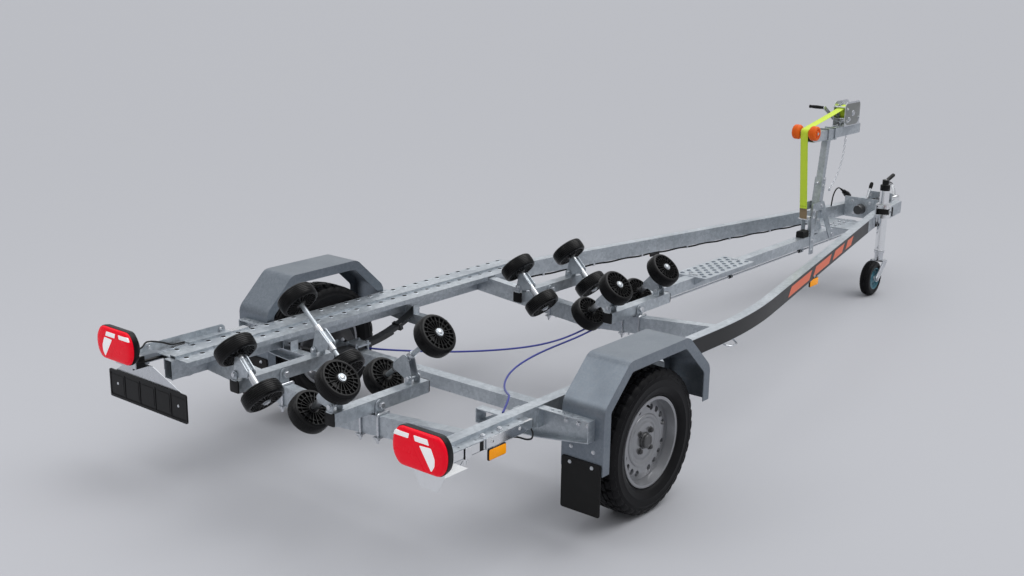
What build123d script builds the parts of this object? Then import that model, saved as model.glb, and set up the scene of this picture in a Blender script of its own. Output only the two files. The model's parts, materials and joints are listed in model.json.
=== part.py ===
from build123d import *
from math import acos, asin, atan2, cos, degrees, hypot, radians, sin, tan
import os

os.makedirs("parts", exist_ok=True)

# Boat trailer, in millimetres. +X runs forward to the coupling, +Y to the left, +Z up. The floor is Z 0.
# Stations called *_X are along the trailer. Left pieces are made first and mirrored about Plane.XZ.

# Overall stations
AXLE_TO_TIP = 4580.0
AXLE_TO_TAIL = 1170.0
AXLE_X = (AXLE_TO_TAIL - AXLE_TO_TIP) / 2
TAIL_X = AXLE_X - AXLE_TO_TAIL
TIP_X = AXLE_X + AXLE_TO_TIP

# Clearances
RUN = 0.3        # between round faces that turn or slide in one another
SIDE_PLAY = 1.5  # beside a pivot's lugs
FREE = 6.0       # between moving pieces away from their pivots

# Road wheels
TYRE_R = 296.0
TYRE_W = 165.0
TRACK_Y = 911.0
RIM_R = 176.0
RIM_LIP = 8.0
RIM_W = 131.0
RIM_WALL = 4.0
DISC_Y = 24.0
VENT_R = 12.5
VENT_CIRCLE = 134.0
HUB_R = 62.0
DRUM_R = 112.0
DRUM_DEPTH = 120.0
CAP_R = 28.0
CAP_H = 22.0

# Side beams: straight, then bent inwards twice
BEAM_W = 50.0
BEAM_H = 80.0
BEAM_WALL = 3.0
BEAM_TOP = 505.0
BEAM_OUT = 740.0
BEAM_REAR_X = AXLE_X - 1000.0
BEND_X = AXLE_X + 1210.0
BEND_R = 3100.0
BEND_ANGLE = 11.8
NOSE_BEND_X = AXLE_X + 3900.0
NOSE_BEND_R = 900.0
NOSE_ANGLE = 5.7
BEAM_FRONT_X = AXLE_X + 4370.0

# Walkway on the left side beam
WALK_W = 195.0
WALK_SHEET = 3.0
WALK_REAR_X = AXLE_X - 975.0
WALK_FRONT_X = AXLE_X + 1225.0
SKIRT_H = 22.0
RIDGE_W = 36.0
RIDGE_H = 13.0
WALK_HOLE_R = 11.0
WALK_HOLE_PITCH = 80.0
WALK_ROW_IN = 36.0
WALK_ROW_OUT = 80.0

# Cross-members, centre beam and step plate
REAR_CROSS_X = AXLE_X - 800.0
FRONT_CROSS_X = AXLE_X + 925.0
CROSS_W = 50.0
CROSS_H = 80.0
CROSS_WALL = 4.0
CROSS_DIP = 60.0
CROSS_END_GAP = 0.7
CENTRE_W = 60.0
CENTRE_H = 60.0
CENTRE_WALL = 4.0
CENTRE_TOP = 433.0
CENTRE_FRONT_X = AXLE_X + 3880.0
STEP_X = AXLE_X + 2125.0
STEP_L = 530.0
STEP_W = 200.0
STEP_SHEET = 3.0
STEP_HOLE_R = 9.0
STEP_HOLE_PITCH = 66.0
STEP_ROW_PITCH = 34.0
STEP_TAB_H = 42.0

# Axle, springs and the arms that carry them
AXLE_SQ = 60.0
AXLE_INSET = 105.0
AXLE_END_Y = TRACK_Y - AXLE_INSET
STUB_R = 25.0
STUB_L = 100.0
BACK_PLATE_R = 118.0
BACK_PLATE_T = 5.0
SPRING_Y = 650.0
SPRING_W = 45.0
LEAF_T = 8.0
LEAF_REACH = 405.0
LEAF_RISE = 100.0
CLAMP_L = 80.0
CLAMP_T = 8.0
U_BOLT_R = 6.0
ARM_W = 40.0
ARM_T = 4.0
ARM_IN_Y = 440.0
ARM_BOTTOM_IN = 365.0
ARM_BOTTOM_OUT = 417.0
ARM_RISE_Z = 500.0
ARM_HOLE_R = 6.0
ARM_HOLE_PITCH = 30.0
HANGER_T = 5.0
HANGER_H = 44.0
SPRING_SEAT_Z = 416.0

# Mudguards
GUARD_INSET = 84.0
GUARD_IN_Y = TRACK_Y - GUARD_INSET
GUARD_W = 190.0
GUARD_T = 2.5
GUARD_LIP = 42.0
GUARD_TOP = 691.0
GUARD_CREST_REAR = -230.0
GUARD_CREST_FRONT = 177.0
GUARD_REAR = -386.0
GUARD_REAR_KNEE = 543.0
GUARD_REAR_END = 286.0
GUARD_FRONT = 349.0
GUARD_FRONT_KNEE = 534.0
GUARD_FRONT_END = 390.0
GUARD_BEND_R = 62.0
FLAP_T = 6.0
FLAP_W = 178.0
FLAP_TOP = 330.0
FLAP_BOTTOM = 122.0

# Brakes
ROD_R = 5.0
ROD_Z = 348.0
ROD_REAR_X = AXLE_X + 990.0
ROD_FRONT_X = AXLE_X + 4060.0
ROD_HANGERS = (1500.0, 2300.0, 3150.0)
ROD_EYE_R = 11.0
HOSE_R = 4.5
HOSE_Z = 330.0

# Roller bogies
ROCKER_SQ = 50.0
ROCKER_WALL = 3.0
ROCKER_Y = 265.0
ROCKER_Z = 505.0
ROCKER_BACK = 222.0
ROCKER_AHEAD = 272.0
ROCKER_PIN_R = 8.0
ROCKER_LUG_T = 6.0
ROCKER_LUG_R = 22.0
PAIR_BACK = 197.0
PAIR_AHEAD = 207.0
YOKE_PIN_R = 6.0
YOKE_PIN_UP = 22.0
YOKE_LUG_T = 5.0
YOKE_LUG_R = 15.0
YOKE_CHEEK_T = 4.0
YOKE_W = 40.0
YOKE_GRIP = 28.0
ROLLER_R = 83.0
ROLLER_W = 60.0
ROLLER_RIM = 17.0
ROLLER_DISH = 11.0
ROLLER_HUB_R = 22.0
ROLLER_AXLE_R = 10.0
SLEEVE_R = 14.0
SLEEVE_PLAY = 2.0
ROLLER_CAP_R = 15.0
ROLLER_CAP_T = 6.0

# Winch post, winch and strap
POST_X = AXLE_X + 3314.0
POST_LEAN = 8.9
SLEEVE_SQ = 50.0
SLEEVE_L = 350.0
POST_SQ = 40.0
FOOT_T = 5.0
FOOT_W = 50.0
FOOT_BACK = 70.0
FOOT_BOTTOM = 318.0
FOOT_TOP = 636.0
STRUT_REACH = 205.0
ARM_BAR_SQ = 60.0
ARM_BAR_WALL = 4.0
ARM_BAR_Z = 1050.0
ARM_BAR_REAR_X = AXLE_X + 3180.0
ARM_BAR_FRONT_X = AXLE_X + 3815.0
BOW_X = AXLE_X + 3120.0
BOW_Z = 1085.0
BOW_R = 44.0
BOW_CORE_R = 22.0
BOW_HALF_W = 46.0
BOW_PIN_R = 8.0
EAR_T = 5.0
WINCH_X = AXLE_X + 3665.0
WINCH_Z = 1158.0
WINCH_PLATE_T = 4.0
WINCH_PLATE_L = 215.0
WINCH_PLATE_TOP = 1232.0
WINCH_GAP = 72.0
DRUM_FLANGE_R = 52.0
DRUM_FLANGE_T = 3.0
DRUM_PIN_R = 8.0
ROLL_R = 46.0
CRANK_X = AXLE_X + 3612.0
CRANK_Z = 1122.0
CRANK_L = 150.0
CRANK_TILT = 30.0
CRANK_PIN_R = 7.0
CRANK_OUT = 22.0
GRIP_R = 11.0
GRIP_L = 100.0
STRAP_W = 48.0
STRAP_T = 3.0
STRAP_END_X = AXLE_X + 3172.0
HOOK_R = 4.0
HOOK_PIN_Z = 548.0
STRAP_END_Z = HOOK_PIN_Z - HOOK_R
KEEL_X = AXLE_X + 3175.0
KEEL_L = 70.0
KEEL_W = 50.0
KEEL_H = 42.0

# Nose and coupling
NOSE_Z = 485.0
NOSE_PLATE_T = 8.0
NOSE_PLATE_XS = (4010.0, 4300.0)
NOSE_PLATE_UP = 560.0
HOUSING_R = 34.0
HOUSING_REAR_X = AXLE_X + 3960.0
HOUSING_FRONT_X = AXLE_X + 4335.0
BELLOWS_R = 30.0
BELLOWS_L = 105.0
HEAD_W = 84.0
HEAD_H = 62.0
HEAD_LOW = 449.0
HEAD_NECK_W = 52.0
SOCKET_R = 25.2
SOCKET_DEPTH = 36.0
HANDLE_W = 26.0
HANDLE_T = 6.0
HANDLE_POINTS = ((4552, 509), (4502, 588), (4385, 622))
GUSSET_REAR_X = AXLE_X + 3560.0
GUSSET_FRONT_X = AXLE_X + 3840.0
GUSSET_T = 5.0

# Jockey wheel
JOCKEY_X = AXLE_X + 3800.0
JOCKEY_TUBE_R = 30.0
JOCKEY_WALL = 3.0
JOCKEY_TUBE_LOW = 262.0
JOCKEY_TUBE_TOP = 700.0
JOCKEY_CAP_H = 38.0
JOCKEY_KNOB_R = 20.0
JOCKEY_GRIP_R = 11.0
JOCKEY_GRIP_L = 115.0
JOCKEY_GRIP_TILT = 14.0
CLAMP_LOW = 492.0
CLAMP_HIGH = 582.0
CLAMP_WALL = 8.0
CLAMP_PLATE_T = 8.0
CLAMP_PLATE_L = 96.0
CLAMP_PLATE_LOW = 430.0
LEG_LOW = 215.0
LEG_TOP = 600.0
LEG_R = 26.7
SWIVEL_R = 12.0
SWIVEL_L = 60.0
FORK_T = 6.0
FORK_GAP = 76.0
FORK_HEAD_T = 8.0
TRAIL = 100.0
JOCKEY_WHEEL_R = 112.0
JOCKEY_WHEEL_W = 62.0
JOCKEY_RIM_R = 66.0
JOCKEY_AXLE_R = 10.0
JOCKEY_HUB_R = 17.0

# Lamps and number plate
LIGHT_ARM_SQ = 35.0
LIGHT_ARM_WALL = 2.5
LIGHT_ARM_Z = 497.0
LIGHT_ARM_FRONT_X = AXLE_X - 500.0
LIGHT_ARM_GAP = 0.3
GUIDE_T = 3.0
GUIDE_L = 220.0
GUIDE_REAR_X = AXLE_X - 822.0
SCREEN_REAR_X = AXLE_X - 1036.0
SCREEN_TOP = 546.0
SCREEN_CORNER = 24.0
RAIL_TOP = 490.0
RAIL_REAR_X = AXLE_X - 960.0
RAIL_GUIDE_REAR_X = AXLE_X - 766.0
RAIL_FRONT_X = AXLE_X - 549.0
RAIL_HOLE_R = 4.5
RAIL_HOLE_PITCH = 90.0
LAMP_W = 244.0
LAMP_H = 140.0
LAMP_DEEP = 52.0
LAMP_Y = 834.0
LAMP_Z = 580.0
LAMP_CORNER = 45.0
LAMP_PLATE_T = 4.0
LAMP_PLATE_W = 134.0
LAMP_PLATE_LOW = 482.0
LAMP_PLATE_HIGH = 620.0
LAMP_FOOT_W = 80.0
LAMP_FOOT_LOW = 432.0
RIGHT_ARM_REAR_X = AXLE_X - 1060.0
RIGHT_SHEET_FRONT_X = AXLE_X - 1000.0
PLATE_X = AXLE_X - 1051.0
PLATE_Y = 793.0
PLATE_Z = 349.0
PLATE_L = 520.0
PLATE_H = 122.0
PLATE_T = 8.0
PLATE_SHEET_TOP_W = 150.0
PLATE_SHEET_LOW_W = 440.0
PLATE_SHEET_T = 4.0

# Plug and its cable, over the left beam's nose
CABLE_R = 4.5
CABLE_Y = 145.0
CABLE_POINTS = (
    (3868, 505.9),
    (3877, 557),
    (3897, 591.6),
    (3927.7, 613.9),
    (3967.5, 618.1),
    (4003.3, 600.3),
)
PLUG_R = 20.0
PLUG_L = 100.0
PLUG_DROP = 26.5
PLUG_TAIL_R = 9.0
PLUG_TAIL_L = 46.0

# Worked-out places
beam_y = BEAM_OUT - BEAM_W / 2
beam_z = BEAM_TOP - BEAM_H / 2
beam_in_y = BEAM_OUT - BEAM_W
nose_bend_y = beam_y - (NOSE_BEND_X - BEND_X) * tan(radians(BEND_ANGLE))
beam_front_y = nose_bend_y - (BEAM_FRONT_X - NOSE_BEND_X) * tan(radians(NOSE_ANGLE))
cross_mid_top = BEAM_TOP - CROSS_DIP
rocker_top = ROCKER_Z + ROCKER_SQ / 2
yoke_pin_z = rocker_top + YOKE_PIN_UP


def beam_side(x, outwards):
    """Y of the left beam's side face at station x, OUTWARDS from the beam's centre line."""
    if x < NOSE_BEND_X:
        centre, angle = beam_y - (x - BEND_X) * tan(radians(BEND_ANGLE)), BEND_ANGLE
    else:
        centre, angle = nose_bend_y - (x - NOSE_BEND_X) * tan(radians(NOSE_ANGLE)), NOSE_ANGLE
    return centre + outwards / cos(radians(angle))


def cross_top(y):
    """Height of a cross-member's top face at y from the middle."""
    return cross_mid_top + CROSS_DIP * y / beam_in_y


# Side beams
with BuildPart() as side_beam_left:
    with BuildLine():
        FilletPolyline(
            (BEAM_REAR_X, beam_y, beam_z),
            (BEND_X, beam_y, beam_z),
            (NOSE_BEND_X, nose_bend_y, beam_z),
            (BEAM_FRONT_X, beam_front_y, beam_z),
            radius=[BEND_R, NOSE_BEND_R],
        )
    with BuildSketch(Plane.YZ.offset(BEAM_REAR_X)):
        with Locations((beam_y, beam_z)):
            Rectangle(BEAM_W, BEAM_H)
            Rectangle(BEAM_W - 2 * BEAM_WALL, BEAM_H - 2 * BEAM_WALL, mode=Mode.SUBTRACT)
    sweep()
side_beam_left.part.label = "side_beam_left"
export_step(side_beam_left.part, "parts/side_beam_left.step")

with BuildPart() as side_beam_right:
    mirror(side_beam_left.part, about=Plane.XZ)
side_beam_right.part.label = "side_beam_right"
export_step(side_beam_right.part, "parts/side_beam_right.step")

# Walkway: a ridged tread plate with turned-down edges on the left beam, and the guide for the left lamp's arm.
# The right beam carries only a holed rail, with the guide for the right lamp's arm under it.
walk_length = WALK_FRONT_X - WALK_REAR_X
walk_mid_x = (WALK_REAR_X + WALK_FRONT_X) / 2
walk_holes = int((walk_length - WALK_HOLE_PITCH / 2) // WALK_HOLE_PITCH)
guide_half = LIGHT_ARM_SQ / 2 + LIGHT_ARM_GAP
guide_in_y = beam_y + WALK_W / 2
left_arm_y = guide_in_y + guide_half
guide_out_y = left_arm_y + guide_half + GUIDE_T
right_arm_y = BEAM_OUT + GUIDE_T + guide_half
right_arm_z = RAIL_TOP - GUIDE_T - guide_half
rail_w = 2 * (guide_half + GUIDE_T)
with BuildPart() as walkway:
    with BuildSketch(Plane.YZ.offset(WALK_REAR_X)):
        with Locations((beam_y, BEAM_TOP + WALK_SHEET / 2)):
            Rectangle(WALK_W, WALK_SHEET)
        with Locations((beam_y, BEAM_TOP + RIDGE_H / 2)):
            Rectangle(RIDGE_W, RIDGE_H)
        with Locations((beam_y, BEAM_TOP + (RIDGE_H - WALK_SHEET) / 2)):
            Rectangle(RIDGE_W - 2 * WALK_SHEET, RIDGE_H - WALK_SHEET, mode=Mode.SUBTRACT)
        with Locations((beam_y, BEAM_TOP + WALK_SHEET - SKIRT_H / 2)):
            with GridLocations(WALK_W - WALK_SHEET, 1, 2, 1):
                Rectangle(WALK_SHEET, SKIRT_H)
    extrude(amount=walk_length)
    with BuildSketch(Plane.XY.offset(BEAM_TOP)):
        for row_y, shift in ((beam_y - WALK_ROW_IN, -1), (beam_y + WALK_ROW_OUT, 1)):
            with Locations((walk_mid_x + shift * WALK_HOLE_PITCH / 4, row_y)):
                with GridLocations(WALK_HOLE_PITCH, 1, walk_holes, 1):
                    Circle(WALK_HOLE_R)
    extrude(amount=WALK_SHEET, mode=Mode.SUBTRACT)
    with BuildSketch(Plane.YZ.offset(GUIDE_REAR_X)):
        with Locations(((guide_in_y + guide_out_y) / 2, LIGHT_ARM_Z)):
            with GridLocations(1, 2 * guide_half + GUIDE_T, 1, 2):
                Rectangle(guide_out_y - guide_in_y, GUIDE_T)
        with Locations((guide_in_y - WALK_SHEET / 2, LIGHT_ARM_Z)):
            Rectangle(WALK_SHEET, 2 * guide_half + 2 * GUIDE_T)
    extrude(amount=GUIDE_L)
    screen_low = LIGHT_ARM_Z - guide_half - GUIDE_T
    screen_front_x = GUIDE_REAR_X + GUIDE_L
    with BuildSketch(Plane.XZ.offset(-guide_out_y)):
        with BuildLine():
            FilletPolyline(
                (SCREEN_REAR_X, screen_low),
                (SCREEN_REAR_X, SCREEN_TOP),
                (screen_front_x, SCREEN_TOP),
                (screen_front_x, screen_low),
                close=True,
                radius=[GUIDE_T, SCREEN_CORNER, SCREEN_CORNER, GUIDE_T],
            )
        make_face()
    extrude(amount=GUIDE_T)
    with BuildSketch(Plane.XY.offset(BEAM_TOP)):
        for cross_x in (REAR_CROSS_X, FRONT_CROSS_X):
            with Locations((cross_x, beam_y - (WALK_W - WALK_SHEET) / 2)):
                Rectangle(CROSS_W + 2 * SIDE_PLAY, 2 * WALK_SHEET)
    extrude(amount=-SKIRT_H, mode=Mode.SUBTRACT)
    with BuildSketch(Plane.YZ.offset(RAIL_REAR_X)):
        with Locations((-right_arm_y, RAIL_TOP - GUIDE_T / 2)):
            Rectangle(rail_w, GUIDE_T)
    extrude(amount=RAIL_FRONT_X - RAIL_REAR_X)
    with BuildSketch(Plane.YZ.offset(RAIL_GUIDE_REAR_X)):
        with Locations((-right_arm_y, right_arm_z)):
            Rectangle(rail_w, rail_w)
            Rectangle(2 * guide_half, 2 * guide_half, mode=Mode.SUBTRACT)
    extrude(amount=RAIL_FRONT_X - RAIL_GUIDE_REAR_X)
    with BuildSketch(Plane.XY.offset(RAIL_TOP)):
        with Locations(((RAIL_REAR_X + RAIL_FRONT_X) / 2, -right_arm_y)):
            with GridLocations(RAIL_HOLE_PITCH, 1, int((RAIL_FRONT_X - RAIL_REAR_X) // RAIL_HOLE_PITCH), 1):
                Circle(RAIL_HOLE_R)
    extrude(amount=-GUIDE_T, mode=Mode.SUBTRACT)
walkway.part.label = "walkway_and_rail"
export_step(walkway.part, "parts/walkway_and_rail.step")

# Cross-members: two shallow V tubes between the beams, with the lugs that the rockers turn on
cross_end_y = beam_in_y - CROSS_END_GAP
with BuildPart() as cross_members:
    for inset, mode in ((0, Mode.ADD), (CROSS_WALL, Mode.SUBTRACT)):
        for cross_x in (REAR_CROSS_X, FRONT_CROSS_X):
            with BuildSketch(Plane.YZ.offset(cross_x - CROSS_W / 2 + inset)):
                with BuildLine():
                    Polyline(
                        (0, cross_mid_top - inset),
                        (cross_end_y, BEAM_TOP - inset),
                        (cross_end_y, BEAM_TOP - CROSS_H + inset),
                        (0, cross_mid_top - CROSS_H + inset),
                        (-cross_end_y, BEAM_TOP - CROSS_H + inset),
                        (-cross_end_y, BEAM_TOP - inset),
                        close=True,
                    )
                make_face()
            extrude(amount=CROSS_W - 2 * inset, mode=mode)
    lug_step = ROCKER_SQ / 2 + SIDE_PLAY + ROCKER_LUG_T / 2
    lug_bottom = cross_top(ROCKER_Y) - CROSS_WALL
    for cross_x in (REAR_CROSS_X, FRONT_CROSS_X):
        for lug_y in (ROCKER_Y - lug_step, ROCKER_Y + lug_step):
            for side in (1, -1):
                with BuildSketch(Plane.XZ.offset(-side * lug_y)):
                    with Locations((cross_x, (lug_bottom + ROCKER_Z) / 2)):
                        Rectangle(2 * ROCKER_LUG_R, ROCKER_Z - lug_bottom)
                    with Locations((cross_x, ROCKER_Z)):
                        Circle(ROCKER_LUG_R)
                        Circle(ROCKER_PIN_R + RUN, mode=Mode.SUBTRACT)
                extrude(amount=ROCKER_LUG_T / 2, both=True)
cross_members.part.label = "cross_members"
export_step(cross_members.part, "parts/cross_members.step")

# Centre beam, from the front cross-member to the nose, with the hangers of the brake rod
with BuildPart() as centre_beam:
    centre_rear_x = FRONT_CROSS_X + CROSS_W / 2
    with BuildSketch(Plane.YZ.offset(centre_rear_x)):
        with Locations((0, CENTRE_TOP - CENTRE_H / 2)):
            Rectangle(CENTRE_W, CENTRE_H)
            Rectangle(CENTRE_W - 2 * CENTRE_WALL, CENTRE_H - 2 * CENTRE_WALL, mode=Mode.SUBTRACT)
    extrude(amount=CENTRE_FRONT_X - centre_rear_x)
    for hanger_x in ROD_HANGERS:
        with BuildSketch(Plane.YZ.offset(AXLE_X + hanger_x)):
            with Locations((0, (CENTRE_TOP - CENTRE_H + ROD_Z) / 2)):
                Rectangle(2 * ROD_EYE_R, CENTRE_TOP - CENTRE_H - ROD_Z)
            with Locations((0, ROD_Z)):
                Circle(ROD_EYE_R)
                Circle(ROD_R + RUN, mode=Mode.SUBTRACT)
        extrude(amount=CENTRE_WALL)
centre_beam.part.label = "centre_beam"
export_step(centre_beam.part, "parts/centre_beam.step")

# Step plate on the centre beam, with staggered round holes and a turned-down rear edge
with BuildPart() as step_plate:
    with BuildSketch(Plane.XY.offset(CENTRE_TOP)):
        with Locations((STEP_X, 0)):
            Rectangle(STEP_L, STEP_W)
        step_columns = int(STEP_L // STEP_HOLE_PITCH)
        with Locations((STEP_X, 0)):
            with GridLocations(STEP_HOLE_PITCH, 2 * STEP_ROW_PITCH, step_columns, 3):
                Circle(STEP_HOLE_R, mode=Mode.SUBTRACT)
            with GridLocations(STEP_HOLE_PITCH, 2 * STEP_ROW_PITCH, step_columns - 1, 2):
                Circle(STEP_HOLE_R, mode=Mode.SUBTRACT)
    extrude(amount=STEP_SHEET)
    with BuildSketch(Plane.YZ.offset(STEP_X - STEP_L / 2)):
        for side in (1, -1):
            with BuildLine():
                Polyline(
                    (side * (CENTRE_W / 2 + RUN), CENTRE_TOP),
                    (side * STEP_W / 2, CENTRE_TOP),
                    (side * (CENTRE_W / 2 + RUN), CENTRE_TOP - STEP_TAB_H),
                    close=True,
                )
            make_face()
    extrude(amount=STEP_SHEET)
step_plate.part.label = "step_plate"
export_step(step_plate.part, "parts/step_plate.step")

# Arms under the beams: they hold the springs and the mudguards, and rise outside the walkway or the beam
arm_rear_x = AXLE_X + GUARD_REAR - ARM_W
arm_front_x = AXLE_X + GUARD_FRONT
arm_top = BEAM_TOP - BEAM_H
arm_out_y = GUARD_IN_Y + GUARD_W - GUARD_LIP
hanger_out = (SPRING_W + HANGER_T) / 2 + RUN
with BuildPart() as outrigger_arms:
    for side, arm_step_y in ((1, guide_in_y + RUN), (-1, BEAM_OUT + RUN)):
        arm_outline = (
            (side * ARM_IN_Y, arm_top),
            (side * arm_step_y, arm_top),
            (side * arm_step_y, ARM_RISE_Z),
            (side * arm_out_y, ARM_RISE_Z),
            (side * arm_out_y, ARM_BOTTOM_OUT),
            (side * BEAM_OUT, ARM_BOTTOM_IN + (ARM_BOTTOM_OUT - ARM_BOTTOM_IN) / 3),
            (side * ARM_IN_Y, ARM_BOTTOM_IN),
        )
        for arm_x, web_at_rear in ((arm_rear_x, False), (arm_front_x, True)):
            with BuildSketch(Plane.YZ.offset(arm_x)) as arm_face:
                with BuildLine():
                    Polyline(*arm_outline, close=True)
                make_face()
            extrude(amount=ARM_W)
            with BuildSketch(Plane.YZ.offset(arm_x + (ARM_T if web_at_rear else 0))):
                add(arm_face.sketch_local)
                offset(amount=-ARM_T, kind=Kind.INTERSECTION, mode=Mode.REPLACE)
            extrude(amount=ARM_W - ARM_T, mode=Mode.SUBTRACT)
            with BuildSketch(Plane.YZ.offset(arm_x)):
                with BuildLine():
                    Polyline(
                        (side * (ARM_IN_Y + 5 * ARM_T), arm_top - 3 * ARM_T),
                        (side * (ARM_IN_Y + 20 * ARM_T), arm_top - 3 * ARM_T),
                        (side * (ARM_IN_Y + 5 * ARM_T), arm_top - 11 * ARM_T),
                        close=True,
                    )
                make_face()
            extrude(amount=ARM_W, mode=Mode.SUBTRACT)
            if web_at_rear:
                with BuildSketch(Plane.YZ.offset(arm_x)):
                    with Locations((side * SPRING_Y, (SPRING_SEAT_Z + arm_top) / 2)):
                        Rectangle(SPRING_W + 2 * RUN, arm_top - SPRING_SEAT_Z)
                extrude(amount=ARM_W, mode=Mode.SUBTRACT)
            with BuildSketch(Plane.XY.offset(ARM_RISE_Z)):
                with Locations((arm_x + ARM_W / 2, side * (arm_step_y + arm_out_y) / 2)):
                    with GridLocations(1, ARM_HOLE_PITCH, 1, 5):
                        Circle(ARM_HOLE_R)
            extrude(amount=-ARM_T, mode=Mode.SUBTRACT)
            with BuildSketch(Plane.YZ.offset(arm_x)):
                with Locations((side * SPRING_Y, arm_top + HANGER_H / 2)):
                    with GridLocations(2 * hanger_out, 1, 2, 1):
                        Rectangle(HANGER_T, HANGER_H)
            extrude(amount=ARM_W)
outrigger_arms.part.label = "outrigger_arms"
export_step(outrigger_arms.part, "parts/outrigger_arms.step")

# Axle: a square tube with stubs, brake back plates and the springs' clamps
axle_z = TYRE_R
axle_top = axle_z + AXLE_SQ / 2
pack_t = 3 * LEAF_T
spring_bottom = axle_top
leaf_r = (LEAF_REACH**2 + LEAF_RISE**2) / (2 * LEAF_RISE)
spring_top = spring_bottom + pack_t + (CLAMP_L / 2) ** 2 / (2 * (leaf_r - pack_t)) + RUN
with BuildPart() as axle_beam:
    with BuildSketch(Plane.XZ):
        with Locations((AXLE_X, axle_z)):
            Rectangle(AXLE_SQ, AXLE_SQ)
    extrude(amount=AXLE_END_Y, both=True)
    with BuildSketch(Plane.XZ):
        with Locations((AXLE_X, axle_z)):
            Circle(STUB_R)
    extrude(amount=AXLE_END_Y + STUB_L, both=True)
    for side in (1, -1):
        with BuildSketch(Plane.XZ.offset(side * (AXLE_END_Y - BACK_PLATE_T))):
            with Locations((AXLE_X, axle_z)):
                Circle(BACK_PLATE_R)
        extrude(amount=side * BACK_PLATE_T)
        for plate_z in (axle_z - AXLE_SQ / 2 - CLAMP_T, spring_top):
            with BuildSketch(Plane.XY.offset(plate_z)):
                with Locations((AXLE_X, side * SPRING_Y)):
                    Rectangle(CLAMP_L, SPRING_W + 8 * U_BOLT_R)
            extrude(amount=CLAMP_T)
        with BuildSketch(Plane.XY.offset(axle_z - AXLE_SQ / 2 - CLAMP_T)):
            with Locations((AXLE_X, side * SPRING_Y)):
                with GridLocations(AXLE_SQ + 2.2 * U_BOLT_R, SPRING_W + 2.2 * U_BOLT_R, 2, 2):
                    Circle(U_BOLT_R)
        extrude(amount=AXLE_SQ + pack_t + 3 * CLAMP_T)
axle_beam.part.label = "axle_beam"
export_step(axle_beam.part, "parts/axle_beam.step")

# Leaf springs: three leaves, each shorter than the one above
with BuildPart() as leaf_springs:
    for leaf, share in enumerate((0.54, 0.78, 1.0)):
        half_angle = degrees(asin(LEAF_REACH * share / leaf_r))
        low_r = leaf_r - leaf * LEAF_T
        centre = (AXLE_X, spring_bottom + leaf_r)
        with BuildSketch(Plane.XZ.offset(-SPRING_Y)):
            with BuildLine():
                outer = CenterArc(centre, low_r, 270 - half_angle, 2 * half_angle)
                inner = CenterArc(centre, low_r - LEAF_T, 270 - half_angle, 2 * half_angle)
                Line(outer @ 0, inner @ 0)
                Line(outer @ 1, inner @ 1)
            make_face()
        extrude(amount=SPRING_W / 2, both=True)
    mirror(about=Plane.XZ)
leaf_springs.part.label = "leaf_springs"
export_step(leaf_springs.part, "parts/leaf_springs.step")

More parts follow.
